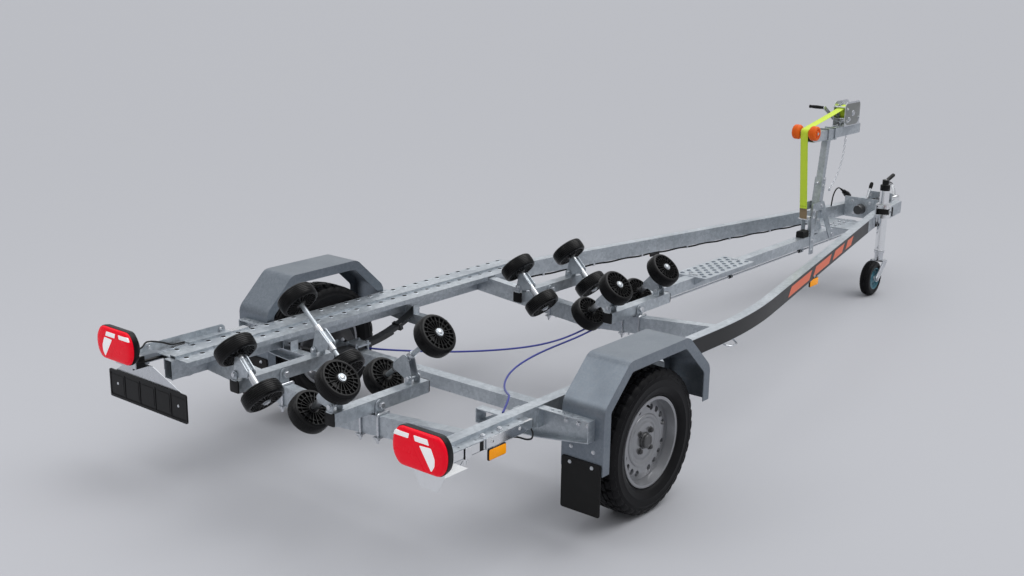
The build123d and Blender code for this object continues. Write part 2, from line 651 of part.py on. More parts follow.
# Road wheels: tyre, and a rim with its vents, hub and brake drum
tyre_bore = RIM_R + RUN
disc_y = TRACK_Y + DISC_Y
for side_name, side in (("left", 1), ("right", -1)):
    wheel_plane = Plane(origin=(AXLE_X, side * TRACK_Y, axle_z), x_dir=(1, 0, 0), z_dir=(0, side, 0))
    section_plane = Plane(wheel_plane.origin, x_dir=(1, 0, 0), z_dir=(0, 0, side))
    with BuildPart() as tyre:
        with BuildSketch(section_plane):
            with BuildLine():
                half = TYRE_W / 2
                bead = RIM_W / 2 - RIM_LIP
                Polyline((tyre_bore, -bead), (tyre_bore, bead), (tyre_bore + 22, bead))
                Spline(
                    (tyre_bore + 22, bead),
                    ((tyre_bore + TYRE_R) / 2, half),
                    (TYRE_R - 8, half - 12),
                )
                Polyline(
                    (TYRE_R - 8, half - 12),
                    (TYRE_R, half - 30),
                    (TYRE_R, -half + 30),
                    (TYRE_R - 8, -half + 12),
                )
                Spline(
                    (TYRE_R - 8, -half + 12),
                    ((tyre_bore + TYRE_R) / 2, -half),
                    (tyre_bore + 22, -bead),
                )
                Line((tyre_bore + 22, -bead), (tyre_bore, -bead))
            make_face()
        revolve(axis=Axis(wheel_plane.origin, wheel_plane.z_dir))
    tyre.part.label = f"tyre_{side_name}"
    export_step(tyre.part, f"parts/tyre_{side_name}.step")

    with BuildPart() as rim:
        lip = RIM_W / 2
        with BuildSketch(section_plane):
            with BuildLine():
                Polyline(
                    (RIM_R, -lip + RIM_LIP),
                    (RIM_R, lip - RIM_LIP),
                    (RIM_R + RIM_LIP, lip - RIM_LIP),
                    (RIM_R + RIM_LIP, lip),
                    (RIM_R - RIM_WALL, lip),
                    (RIM_R - 3 * RIM_WALL, lip - 4 * RIM_LIP),
                    (RIM_R - 3 * RIM_WALL, -lip + 4 * RIM_LIP),
                    (RIM_R - RIM_WALL, -lip),
                    (RIM_R + RIM_LIP, -lip),
                    (RIM_R + RIM_LIP, -lip + RIM_LIP),
                    close=True,
                )
            make_face()
            with BuildLine():
                Polyline(
                    (0, DISC_Y - DRUM_DEPTH),
                    (DRUM_R, DISC_Y - DRUM_DEPTH),
                    (DRUM_R, DISC_Y - RIM_WALL),
                    (RIM_R - 2 * RIM_WALL, DISC_Y - 2 * RIM_WALL),
                    (RIM_R - 2 * RIM_WALL, DISC_Y),
                    (VENT_CIRCLE, DISC_Y + 2 * RIM_WALL),
                    (HUB_R, DISC_Y + RIM_WALL),
                    (CAP_R, DISC_Y + RIM_WALL),
                    (CAP_R, DISC_Y + RIM_WALL + CAP_H),
                    (0, DISC_Y + RIM_WALL + CAP_H),
                    close=True,
                )
            make_face()
        revolve(axis=Axis(wheel_plane.origin, wheel_plane.z_dir))
        with BuildSketch(wheel_plane.offset(DISC_Y - DRUM_DEPTH)):
            Circle(STUB_R + RUN)
        extrude(amount=AXLE_END_Y + STUB_L + FREE / 2 - (disc_y - DRUM_DEPTH), mode=Mode.SUBTRACT)
        with BuildSketch(wheel_plane.offset(DISC_Y - RIM_LIP)):
            for first_angle in (18, 108, 198, 288):
                with PolarLocations(VENT_CIRCLE, 4, first_angle, angular_range=54, endpoint=True):
                    Circle(VENT_R)
        extrude(amount=DRUM_DEPTH, mode=Mode.SUBTRACT)
    rim.part.label = f"rim_{side_name}"
    export_step(rim.part, f"parts/rim_{side_name}.step")

# Mudguards: a bent sheet over the wheel with turned-down lips on both sides
guard_line = (
    (AXLE_X + GUARD_REAR, GUARD_REAR_END),
    (AXLE_X + GUARD_REAR, GUARD_REAR_KNEE),
    (AXLE_X + GUARD_CREST_REAR, GUARD_TOP),
    (AXLE_X + GUARD_CREST_FRONT, GUARD_TOP),
    (AXLE_X + GUARD_FRONT, GUARD_FRONT_KNEE),
    (AXLE_X + GUARD_FRONT, GUARD_FRONT_END),
)
with BuildPart() as mudguard_left:
    for from_y, width, depth in (
        (GUARD_IN_Y, GUARD_W, GUARD_T),
        (GUARD_IN_Y, GUARD_T, GUARD_LIP),
        (GUARD_IN_Y + GUARD_W - GUARD_T, GUARD_T, GUARD_LIP),
    ):
        with BuildSketch(Plane.XZ.offset(-from_y)):
            with BuildLine():
                FilletPolyline(*guard_line, radius=GUARD_BEND_R)
                offset(amount=depth, side=Side.RIGHT)
            make_face()
        extrude(amount=-width)
mudguard_left.part.label = "mudguard_left"
export_step(mudguard_left.part, "parts/mudguard_left.step")

with BuildPart() as mudguard_right:
    mirror(mudguard_left.part, about=Plane.XZ)
mudguard_right.part.label = "mudguard_right"
export_step(mudguard_right.part, "parts/mudguard_right.step")

with BuildPart() as mudflaps:
    with BuildSketch(Plane.YZ.offset(AXLE_X + GUARD_REAR - FLAP_T)):
        with Locations((GUARD_IN_Y + GUARD_W / 2, (FLAP_TOP + FLAP_BOTTOM) / 2)):
            RectangleRounded(FLAP_W, FLAP_TOP - FLAP_BOTTOM, FLAP_T)
    extrude(amount=FLAP_T)
    mirror(about=Plane.XZ)
mudflaps.part.label = "mudflaps"
export_step(mudflaps.part, "parts/mudflaps.step")

# Brake rod under the centre beam, with the yoke plate that the hoses start from
with BuildPart() as brake_rod:
    with BuildSketch(Plane.YZ.offset(ROD_REAR_X)):
        with Locations((0, ROD_Z)):
            Circle(ROD_R)
    extrude(amount=ROD_FRONT_X - ROD_REAR_X)
    with BuildSketch(Plane.YZ.offset(ROD_REAR_X)):
        with Locations((0, ROD_Z)):
            RectangleRounded(CENTRE_W, 4 * ROD_R, ROD_R)
    extrude(amount=-ROD_R)
brake_rod.part.label = "brake_rod"
export_step(brake_rod.part, "parts/brake_rod.step")

# Hoses that run from the brake rod's yoke plate back to the left wheel and to the right rear arm
hose_x = ROD_REAR_X - ROD_R - 2 * RUN
hose_left = (
    (hose_x, 18, ROD_Z),
    (hose_x - 130, 22, HOSE_Z + 6),
    (hose_x - 255, 34, HOSE_Z - 2),
    (hose_x - 375, 66, HOSE_Z - 6),
    (hose_x - 490, 112, HOSE_Z - 4),
    (hose_x - 600, 172, HOSE_Z),
    (hose_x - 705, 252, HOSE_Z + 2),
    (hose_x - 795, 345, HOSE_Z + 4),
    (hose_x - 870, 450, HOSE_Z + 4),
    (hose_x - 915, 565, HOSE_Z - 4),
    (hose_x - 935, 685, HOSE_Z - 14),
    (hose_x - 940, AXLE_END_Y - BACK_PLATE_T - 2 * RUN, HOSE_Z - 22),
)
hose_right = (
    (hose_x, -18, ROD_Z),
    (hose_x - 130, -20, HOSE_Z + 8),
    (hose_x - 260, -16, HOSE_Z + 2),
    (hose_x - 385, -20, HOSE_Z + 2),
    (hose_x - 510, -34, HOSE_Z + 4),
    (hose_x - 630, -58, HOSE_Z + 6),
    (hose_x - 745, -94, HOSE_Z + 10),
    (hose_x - 855, -146, HOSE_Z + 16),
    (hose_x - 960, -214, HOSE_Z + 26),
    (hose_x - 1060, -296, HOSE_Z + 44),
    (hose_x - 1150, -384, HOSE_Z + 70),
    (hose_x - 1235, -470, HOSE_Z + 101),
    (arm_rear_x + ARM_W / 2, -560, arm_top + HOSE_R + RUN),
)


def arc_radii(points, share=0.45):
    """The largest even arc at each corner: SHARE of the shorter run over the tangent of half the turn."""
    radii = []
    for back, here, ahead in zip(points, points[1:], points[2:]):
        run_in = Vector(*here) - Vector(*back)
        run_out = Vector(*ahead) - Vector(*here)
        turn = radians(run_in.get_angle(run_out))
        radii.append(share * min(run_in.length, run_out.length) / tan(turn / 2))
    return radii


with BuildPart() as axle_hoses:
    for route in (hose_left, hose_right):
        with BuildLine() as hose_line:
            FilletPolyline(*route, radius=arc_radii(route))
        with BuildSketch(Plane(origin=hose_line.line @ 0, z_dir=hose_line.line % 0)):
            Circle(HOSE_R)
        sweep()
axle_hoses.part.label = "axle_hoses"
export_step(axle_hoses.part, "parts/axle_hoses.step")

# Bogies: one rocker on each side of each cross-member, carrying two yokes, each with a pair of rollers
# name, rocker station, pair's offset, its middle's Y and Z, roller spacing, lean, sleeve on the rod
PAIRS = (
    ("tail", REAR_CROSS_X, -PAIR_BACK, 208.0, 568.0, 212.0, 45.0, 148.0),
    ("tall", REAR_CROSS_X, PAIR_AHEAD, 244.0, 627.0, 355.0, 40.0, 130.0),
    ("mid", FRONT_CROSS_X, -PAIR_BACK, 212.0, 570.0, 212.0, 45.0, 148.0),
    ("fore", FRONT_CROSS_X, PAIR_AHEAD, 210.0, 580.0, 204.0, 45.0, 140.0),
)
yoke_lug_step = YOKE_W / 2 + SIDE_PLAY + YOKE_LUG_T / 2
for rocker_name, rocker_x in (("rear", REAR_CROSS_X), ("front", FRONT_CROSS_X)):
    with BuildPart() as rocker:
        with BuildSketch(Plane.YZ.offset(rocker_x - ROCKER_BACK)):
            with Locations((ROCKER_Y, ROCKER_Z)):
                Rectangle(ROCKER_SQ, ROCKER_SQ)
                Rectangle(ROCKER_SQ - 2 * ROCKER_WALL, ROCKER_SQ - 2 * ROCKER_WALL, mode=Mode.SUBTRACT)
        extrude(amount=ROCKER_BACK + ROCKER_AHEAD)
        with BuildSketch(Plane.XZ.offset(-ROCKER_Y)):
            with Locations((rocker_x, ROCKER_Z)):
                Circle(ROCKER_PIN_R)
        extrude(amount=lug_step + ROCKER_LUG_T, both=True)
        for offset_x in (-PAIR_BACK, PAIR_AHEAD):
            for lug_x in (-yoke_lug_step, yoke_lug_step):
                with BuildSketch(Plane.YZ.offset(rocker_x + offset_x + lug_x)):
                    with Locations((ROCKER_Y, rocker_top + YOKE_PIN_UP / 2)):
                        Rectangle(2 * YOKE_LUG_R, YOKE_PIN_UP)
                    with Locations((ROCKER_Y, yoke_pin_z)):
                        Circle(YOKE_LUG_R)
                        Circle(YOKE_PIN_R + RUN, mode=Mode.SUBTRACT)
                extrude(amount=YOKE_LUG_T / 2, both=True)
    rocker.part.label = f"rocker_{rocker_name}_left"
    export_step(rocker.part, f"parts/rocker_{rocker_name}_left.step")

    with BuildPart() as rocker_mirrored:
        mirror(rocker.part, about=Plane.XZ)
    rocker_mirrored.part.label = f"rocker_{rocker_name}_right"
    export_step(rocker_mirrored.part, f"parts/rocker_{rocker_name}_right.step")

for pair_name, rocker_x, offset_x, mid_y, mid_z, spacing, lean, sleeve_l in PAIRS:
    pair_x = rocker_x + offset_x
    along = (0, cos(radians(lean)), sin(radians(lean)))
    pair_plane = Plane(origin=(pair_x, mid_y, mid_z), x_dir=(1, 0, 0), z_dir=along)
    pin_along = (ROCKER_Y - mid_y) * along[1] + (yoke_pin_z - mid_z) * along[2]
    foot_y = mid_y + pin_along * along[1]
    foot_z = mid_z + pin_along * along[2]
    with BuildPart() as yoke:
        for cheek_x in (-1, 1):
            with BuildSketch(Plane.YZ.offset(pair_x + cheek_x * (YOKE_W - YOKE_CHEEK_T) / 2)):
                with Locations((ROCKER_Y, yoke_pin_z)):
                    Circle(YOKE_LUG_R - 2)
                for grip in (-YOKE_GRIP, YOKE_GRIP):
                    with Locations((foot_y + grip * along[1], foot_z + grip * along[2])):
                        Circle(SLEEVE_R + YOKE_CHEEK_T)
                make_hull()
            extrude(amount=YOKE_CHEEK_T / 2, both=True)
        with BuildSketch(Plane.YZ.offset(pair_x)):
            with Locations((ROCKER_Y, yoke_pin_z)):
                Circle(YOKE_PIN_R)
        extrude(amount=yoke_lug_step + YOKE_LUG_T, both=True)
        with BuildSketch(pair_plane.offset(pin_along - YOKE_GRIP)):
            Rectangle(YOKE_W, 2 * ROLLER_AXLE_R)
        extrude(amount=2 * YOKE_GRIP)
        sleeve_mid = min(pin_along, max(0, (spacing - ROLLER_W - sleeve_l) / 2 - SLEEVE_PLAY))
        with BuildSketch(pair_plane.offset(sleeve_mid - sleeve_l / 2)):
            Circle(SLEEVE_R)
        extrude(amount=sleeve_l)
        rod_half = spacing / 2 + ROLLER_W / 2 + ROLLER_CAP_T
        with BuildSketch(pair_plane.offset(-rod_half)):
            Circle(ROLLER_AXLE_R)
        extrude(amount=2 * rod_half)
        for cap_at in (-rod_half, rod_half - ROLLER_CAP_T + RUN):
            with BuildSketch(pair_plane.offset(cap_at)):
                Circle(ROLLER_CAP_R)
            extrude(amount=ROLLER_CAP_T - RUN)
    yoke.part.label = f"yoke_{pair_name}_left"
    export_step(yoke.part, f"parts/yoke_{pair_name}_left.step")

    with BuildPart() as rollers:
        bore = ROLLER_AXLE_R + RUN
        for centre_at in (-spacing / 2, spacing / 2):
            roller_origin = (pair_plane.offset(centre_at)).origin
            section_normal = Vector(*along).cross(Vector(-1, 0, 0))
            with BuildSketch(Plane(roller_origin, x_dir=(1, 0, 0), z_dir=section_normal)):
                half = ROLLER_W / 2
                with BuildLine():
                    Polyline(
                        (bore, -half),
                        (ROLLER_HUB_R, -half),
                        (ROLLER_HUB_R + 6, -half + ROLLER_DISH),
                        (ROLLER_R - ROLLER_RIM - 4, -half + ROLLER_DISH),
                        (ROLLER_R - ROLLER_RIM, -half),
                        (ROLLER_R - 7, -half),
                    )
                    ThreePointArc((ROLLER_R - 7, -half), (ROLLER_R, 0), (ROLLER_R - 7, half))
                    Polyline(
                        (ROLLER_R - 7, half),
                        (ROLLER_R - ROLLER_RIM, half),
                        (ROLLER_R - ROLLER_RIM - 4, half - ROLLER_DISH),
                        (ROLLER_HUB_R + 6, half - ROLLER_DISH),
                        (ROLLER_HUB_R, half),
                        (bore, half),
                        (bore, -half),
                    )
                make_face()
            revolve(axis=Axis(roller_origin, along))
    rollers.part.label = f"rollers_{pair_name}_left"
    export_step(rollers.part, f"parts/rollers_{pair_name}_left.step")

    for piece, piece_name in ((yoke, "yoke"), (rollers, "rollers")):
        with BuildPart() as mirrored:
            mirror(piece.part, about=Plane.XZ)
        mirrored.part.label = f"{piece_name}_{pair_name}_right"
        export_step(mirrored.part, f"parts/{piece_name}_{pair_name}_right.step")

# Winch post: foot plates beside the centre beam, a leaning sleeve, the post in it, and the arm bar on top
lean_x = sin(radians(POST_LEAN))
post_plane = Plane(
    origin=(POST_X, 0, CENTRE_TOP + SLEEVE_SQ / 2 * lean_x + RUN),
    x_dir=(cos(radians(POST_LEAN)), 0, -lean_x),
    z_dir=(lean_x, 0, cos(radians(POST_LEAN))),
)
arm_bar_bottom = ARM_BAR_Z - ARM_BAR_SQ / 2
post_length = (arm_bar_bottom + CENTRE_WALL - CENTRE_TOP) / cos(radians(POST_LEAN))
foot_x = POST_X - FOOT_BACK
strut_top = (POST_X + (FOOT_TOP - CENTRE_TOP) * tan(radians(POST_LEAN)), FOOT_TOP - FOOT_W / 4)
with BuildPart() as winch_post:
    with BuildSketch(post_plane):
        Rectangle(SLEEVE_SQ, SLEEVE_SQ)
        Rectangle(POST_SQ, POST_SQ, mode=Mode.SUBTRACT)
    extrude(amount=SLEEVE_L)
    with BuildSketch(post_plane):
        Rectangle(POST_SQ, POST_SQ)
        Rectangle(POST_SQ - 2 * CENTRE_WALL, POST_SQ - 2 * CENTRE_WALL, mode=Mode.SUBTRACT)
    extrude(amount=post_length)
    for side in (1, -1):
        with BuildSketch(Plane.XZ.offset(-side * (CENTRE_W + FOOT_T) / 2)):
            with Locations((foot_x, (FOOT_BOTTOM + FOOT_TOP) / 2)):
                Rectangle(FOOT_W, FOOT_TOP - FOOT_BOTTOM)
            with BuildLine():
                Polyline(
                    (foot_x, FOOT_TOP - FOOT_W),
                    (foot_x, FOOT_TOP),
                    (strut_top[0] + SLEEVE_SQ / 2, FOOT_TOP),
                    (strut_top[0] + SLEEVE_SQ / 2, FOOT_TOP - FOOT_W),
                    close=True,
                )
            make_face()
            with BuildLine():
                Polyline(
                    (strut_top[0] - FOOT_W / 2, FOOT_TOP - FOOT_W / 2),
                    (strut_top[0] + FOOT_W / 2, FOOT_TOP),
                    (POST_X + STRUT_REACH + FOOT_W / 2, CENTRE_TOP - CENTRE_H),
                    (POST_X + STRUT_REACH - FOOT_W / 2, CENTRE_TOP - CENTRE_H),
                    close=True,
                )
            make_face()
        extrude(amount=FOOT_T / 2, both=True)
    with BuildSketch(Plane.XZ):
        with Locations((foot_x, HOOK_PIN_Z)):
            Circle(FOOT_T)
    extrude(amount=CENTRE_W / 2 + FOOT_T, both=True)
    for band_z in (FOOT_TOP - FOOT_W / 2, CENTRE_TOP + FOOT_W / 2):
        band_x = POST_X + (band_z - CENTRE_TOP) * tan(radians(POST_LEAN))
        with BuildSketch(Plane.XY.offset(band_z)):
            with Locations((band_x, 0)):
                Rectangle(SLEEVE_SQ + FOOT_T, CENTRE_W)
                Rectangle(SLEEVE_SQ, SLEEVE_SQ, mode=Mode.SUBTRACT)
        extrude(amount=FOOT_T)
    with BuildSketch(Plane.YZ.offset(ARM_BAR_REAR_X)):
        with Locations((0, ARM_BAR_Z)):
            Rectangle(ARM_BAR_SQ, ARM_BAR_SQ)
            Rectangle(ARM_BAR_SQ - 2 * ARM_BAR_WALL, ARM_BAR_SQ - 2 * ARM_BAR_WALL, mode=Mode.SUBTRACT)
    extrude(amount=ARM_BAR_FRONT_X - ARM_BAR_REAR_X)
    ear_r = BOW_PIN_R + 2 * EAR_T
    for side in (1, -1):
        with BuildSketch(Plane.XZ.offset(-side * (ARM_BAR_SQ - EAR_T) / 2)):
            with BuildLine():
                Polyline(
                    (BOW_X, BOW_Z + ear_r),
                    (ARM_BAR_REAR_X + 2 * ear_r, ARM_BAR_Z + ARM_BAR_SQ / 2),
                    (ARM_BAR_REAR_X + 2 * ear_r, ARM_BAR_Z - ARM_BAR_SQ / 2),
                    (ARM_BAR_REAR_X, ARM_BAR_Z - ARM_BAR_SQ / 2),
                    (BOW_X, BOW_Z - ear_r),
                    close=True,
                )
            make_face()
            with Locations((BOW_X, BOW_Z)):
                Circle(ear_r)
                Circle(BOW_PIN_R + RUN, mode=Mode.SUBTRACT)
        extrude(amount=EAR_T / 2, both=True)
winch_post.part.label = "winch_post"
export_step(winch_post.part, "parts/winch_post.step")

# Bow roller: two tapered halves outside the ears and a small core between them, on one pin
with BuildPart() as bow_roller:
    with BuildSketch(Plane.XY.offset(BOW_Z)):
        half_in = ARM_BAR_SQ / 2 + SIDE_PLAY
        core_out = ARM_BAR_SQ / 2 - EAR_T - SIDE_PLAY
        for side in (1, -1):
            with BuildLine():
                Polyline(
                    (BOW_X, side * core_out),
                    (BOW_X + BOW_CORE_R, side * core_out),
                    (BOW_X + BOW_CORE_R, 0),
                    (BOW_X, 0),
                    close=True,
                )
            make_face()
            with BuildLine():
                Polyline(
                    (BOW_X, side * half_in),
                    (BOW_X + BOW_R - 6, side * half_in),
                    (BOW_X + BOW_R, side * (half_in + 8)),
                    (BOW_X + BOW_R, side * (half_in + BOW_HALF_W - 6)),
                    (BOW_X + BOW_R - 6, side * (half_in + BOW_HALF_W)),
                    (BOW_X, side * (half_in + BOW_HALF_W)),
                    close=True,
                )
            make_face()
        with Locations((BOW_X + BOW_PIN_R / 2, 0)):
            Rectangle(BOW_PIN_R, 2 * half_in)
    revolve(axis=Axis((BOW_X, 0, BOW_Z), (0, 1, 0)))
bow_roller.part.label = "bow_roller"
export_step(bow_roller.part, "parts/bow_roller.step")

# Winch frame: a base on the arm bar and two side plates
winch_base_z = ARM_BAR_Z + ARM_BAR_SQ / 2
winch_tall = WINCH_PLATE_TOP - winch_base_z
plate_y = (WINCH_GAP + WINCH_PLATE_T) / 2
with BuildPart() as winch_frame:
    with BuildSketch(Plane.XY.offset(winch_base_z)):
        with Locations((WINCH_X, 0)):
            Rectangle(WINCH_PLATE_L, WINCH_GAP + 2 * WINCH_PLATE_T)
    extrude(amount=WINCH_PLATE_T)
    for side in (1, -1):
        with BuildSketch(Plane.XZ.offset(-side * plate_y)):
            with Locations((WINCH_X, (winch_base_z + WINCH_PLATE_TOP) / 2)):
                RectangleRounded(WINCH_PLATE_L, winch_tall, winch_tall / 4)
            with Locations((WINCH_X, winch_base_z + winch_tall / 8)):
                Rectangle(WINCH_PLATE_L, winch_tall / 4)
            with Locations((WINCH_X, WINCH_Z)):
                Circle(DRUM_PIN_R + RUN, mode=Mode.SUBTRACT)
            with Locations((CRANK_X, CRANK_Z)):
                Circle(CRANK_PIN_R + RUN, mode=Mode.SUBTRACT)
        extrude(amount=WINCH_PLATE_T / 2, both=True)
winch_frame.part.label = "winch_frame"
export_step(winch_frame.part, "parts/winch_frame.step")

# Winch drum with the strap wound on it
with BuildPart() as winch_drum:
    for radius, half in (
        (DRUM_PIN_R, WINCH_GAP / 2 + WINCH_PLATE_T + 2),
        (ROLL_R, STRAP_W / 2 + RUN),
    ):
        with BuildSketch(Plane.XZ):
            with Locations((WINCH_X, WINCH_Z)):
                Circle(radius)
        extrude(amount=half, both=True)
    for side in (1, -1):
        with BuildSketch(Plane.XZ.offset(side * (STRAP_W / 2 + RUN))):
            with Locations((WINCH_X, WINCH_Z)):
                Circle(DRUM_FLANGE_R)
        extrude(amount=side * DRUM_FLANGE_T)
winch_drum.part.label = "winch_drum"
export_step(winch_drum.part, "parts/winch_drum.step")

# Winch crank on the left, with its pinion shaft and grip
crank_in_y = plate_y + WINCH_PLATE_T / 2 + CRANK_OUT
crank_end = (CRANK_X - CRANK_L * cos(radians(CRANK_TILT)), CRANK_Z + CRANK_L * sin(radians(CRANK_TILT)))
with BuildPart() as winch_crank:
    with BuildSketch(Plane.XZ.offset(-crank_in_y)):
        with Locations((CRANK_X, CRANK_Z)):
            Circle(CRANK_PIN_R)
    extrude(amount=crank_in_y + plate_y + WINCH_PLATE_T)
    with BuildSketch(Plane.XZ.offset(-crank_in_y)):
        with Locations((CRANK_X, CRANK_Z), crank_end):
            Circle(2 * CRANK_PIN_R)
        make_hull()
    extrude(amount=-CRANK_PIN_R)
    with BuildSketch(Plane.XZ.offset(-crank_in_y - CRANK_PIN_R)):
        with Locations(crank_end):
            Circle(GRIP_R)
    extrude(amount=-GRIP_L)
winch_crank.part.label = "winch_crank"
export_step(winch_crank.part, "parts/winch_crank.step")

# Strap: from the top of the drum, over the bow roller's core, down to a hook on the post's pin
roll_r = ROLL_R + RUN
core_r = BOW_CORE_R + RUN
span_x, span_z = BOW_X - WINCH_X, BOW_Z - WINCH_Z
span = hypot(span_x, span_z)
slope = atan2(span_z, span_x)
normal = slope - acos((roll_r - core_r) / span)
leave = (WINCH_X + roll_r * cos(normal), WINCH_Z + roll_r * sin(normal))
land = (BOW_X + core_r * cos(normal), BOW_Z + core_r * sin(normal))
drop_x, drop_z = STRAP_END_X - BOW_X, STRAP_END_Z - BOW_Z
drop = hypot(drop_x, drop_z)
fall = atan2(drop_z, drop_x)
off = fall - acos(core_r / drop)
part_from = (BOW_X + core_r * cos(off), BOW_Z + core_r * sin(off))
with BuildPart() as winch_strap:
    with BuildSketch(Plane.XZ):
        with BuildLine():
            Line(leave, land)
            ThreePointArc(
                land,
                (
                    BOW_X + core_r * cos((normal + off) / 2),
                    BOW_Z + core_r * sin((normal + off) / 2),
                ),
                part_from,
            )
            Line(part_from, (STRAP_END_X, STRAP_END_Z))
            offset(amount=STRAP_T, side=Side.RIGHT)
        make_face()
    extrude(amount=STRAP_W / 2, both=True)
    with BuildSketch(Plane.YZ.offset(STRAP_END_X)):
        with Locations((0, HOOK_PIN_Z)):
            Circle(HOOK_R)
    extrude(amount=foot_x - FOOT_T - RUN - STRAP_END_X)
winch_strap.part.label = "winch_strap"
export_step(winch_strap.part, "parts/winch_strap.step")

# Keel block on the centre beam, under the bow roller
with BuildPart() as keel_block:
    with BuildSketch(Plane.XY.offset(CENTRE_TOP)):
        with Locations((KEEL_X, 0)):
            Rectangle(KEEL_L, KEEL_W)
    extrude(amount=KEEL_H)
    fillet(keel_block.edges().group_by(Axis.Z)[-1], radius=KEEL_H / 8)
keel_block.part.label = "keel_block"
export_step(keel_block.part, "parts/keel_block.step")

# Nose plates: two uprights between the beams that hold the coupling, and a gusset on the centre beam
with BuildPart() as nose_plates:
    for plate_x in NOSE_PLATE_XS:
        upright_x = AXLE_X + plate_x
        upright_half = beam_side(upright_x + NOSE_PLATE_T, -BEAM_W / 2) - RUN
        with BuildSketch(Plane.YZ.offset(upright_x)):
            with Locations((0, (NOSE_PLATE_UP + arm_top) / 2)):
                Rectangle(2 * upright_half, NOSE_PLATE_UP - arm_top)
            with Locations((0, NOSE_Z)):
                Circle(HOUSING_R + RUN, mode=Mode.SUBTRACT)
            with Locations((0, ROD_Z)):
                Circle(ROD_R + RUN, mode=Mode.SUBTRACT)
        extrude(amount=NOSE_PLATE_T)
    gusset_rear = beam_side(GUSSET_REAR_X, -BEAM_W / 2) - RUN
    gusset_front = beam_side(GUSSET_FRONT_X, -BEAM_W / 2) - RUN
    with BuildSketch(Plane.XY.offset(CENTRE_TOP)):
        with BuildLine():
            Polyline(
                (GUSSET_REAR_X, gusset_rear),
                (GUSSET_FRONT_X, gusset_front),
                (GUSSET_FRONT_X, -gusset_front),
                (GUSSET_REAR_X, -gusset_rear),
                close=True,
            )
        make_face()
    extrude(amount=GUSSET_T)
nose_plates.part.label = "nose_plates"
export_step(nose_plates.part, "parts/nose_plates.step")

# Coupling housing: the sliding shaft's tube, with its bellows in front
with BuildPart() as coupling_housing:
    with BuildSketch(Plane.YZ.offset(HOUSING_REAR_X)):
        with Locations((0, NOSE_Z)):
            Circle(HOUSING_R)
    extrude(amount=HOUSING_FRONT_X - HOUSING_REAR_X)
    with BuildSketch(Plane.YZ.offset(HOUSING_FRONT_X)):
        with Locations((0, NOSE_Z)):
            Circle(BELLOWS_R)
    extrude(amount=BELLOWS_L)
coupling_housing.part.label = "coupling_housing"
export_step(coupling_housing.part, "parts/coupling_housing.step")

# Coupling head: a rounded nose with the ball's socket from below, and the handle over it
ball_x = TIP_X - HEAD_W / 2
head_rear_x = HOUSING_FRONT_X + BELLOWS_L
with BuildPart() as coupling_head:
    with BuildSketch(Plane.XY.offset(HEAD_LOW)):
        with Locations((ball_x, 0)):
            Circle(HEAD_W / 2)
        with Locations(((head_rear_x + ball_x) / 2, 0)):
            Rectangle(ball_x - head_rear_x, HEAD_NECK_W)
    extrude(amount=HEAD_H)
    fillet(coupling_head.edges().group_by(Axis.Z)[-1], radius=HEAD_H / 6)
    with BuildSketch(Plane.XY.offset(HEAD_LOW)):
        with Locations((ball_x, 0)):
            Circle(SOCKET_R)
    extrude(amount=SOCKET_DEPTH, mode=Mode.SUBTRACT)
    with BuildSketch(Plane.XZ):
        with BuildLine():
            ThreePointArc(*((AXLE_X + x, z) for x, z in HANDLE_POINTS))
            offset(amount=HANDLE_T, side=Side.RIGHT)
        make_face()
    extrude(amount=HANDLE_W / 2, both=True)
coupling_head.part.label = "coupling_head"
export_step(coupling_head.part, "parts/coupling_head.step")

# Jockey wheel on the right beam's outer face: its clamp and plate follow the beam's angle
bend = radians(BEND_ANGLE)
clamp_plane = Plane(
    origin=(JOCKEY_X, -beam_side(JOCKEY_X, BEAM_W / 2), 0),
    x_dir=(cos(bend), sin(bend), 0),
    z_dir=(0, 0, 1),
)
ring_r = JOCKEY_TUBE_R + RUN
jockey_stand_off = CLAMP_PLATE_T + JOCKEY_TUBE_R + CLAMP_WALL / 2
jockey_axis = clamp_plane.from_local_coords(Vector(0, -jockey_stand_off, 0))
with BuildPart() as jockey_clamp:
    with BuildSketch(clamp_plane.offset(CLAMP_PLATE_LOW)):
        with Locations((0, -CLAMP_PLATE_T / 2)):
            Rectangle(CLAMP_PLATE_L, CLAMP_PLATE_T)
    extrude(amount=CLAMP_HIGH - CLAMP_PLATE_LOW)
    with BuildSketch(clamp_plane.offset(CLAMP_LOW)):
        with Locations((0, -jockey_stand_off)):
            Circle(ring_r + CLAMP_WALL)
    extrude(amount=CLAMP_HIGH - CLAMP_LOW)
    with BuildSketch(clamp_plane.offset(CLAMP_PLATE_LOW)):
        with Locations((0, -jockey_stand_off)):
            Circle(ring_r)
    extrude(amount=CLAMP_HIGH - CLAMP_PLATE_LOW, mode=Mode.SUBTRACT)
jockey_clamp.part.label = "jockey_clamp"
export_step(jockey_clamp.part, "parts/jockey_clamp.step")

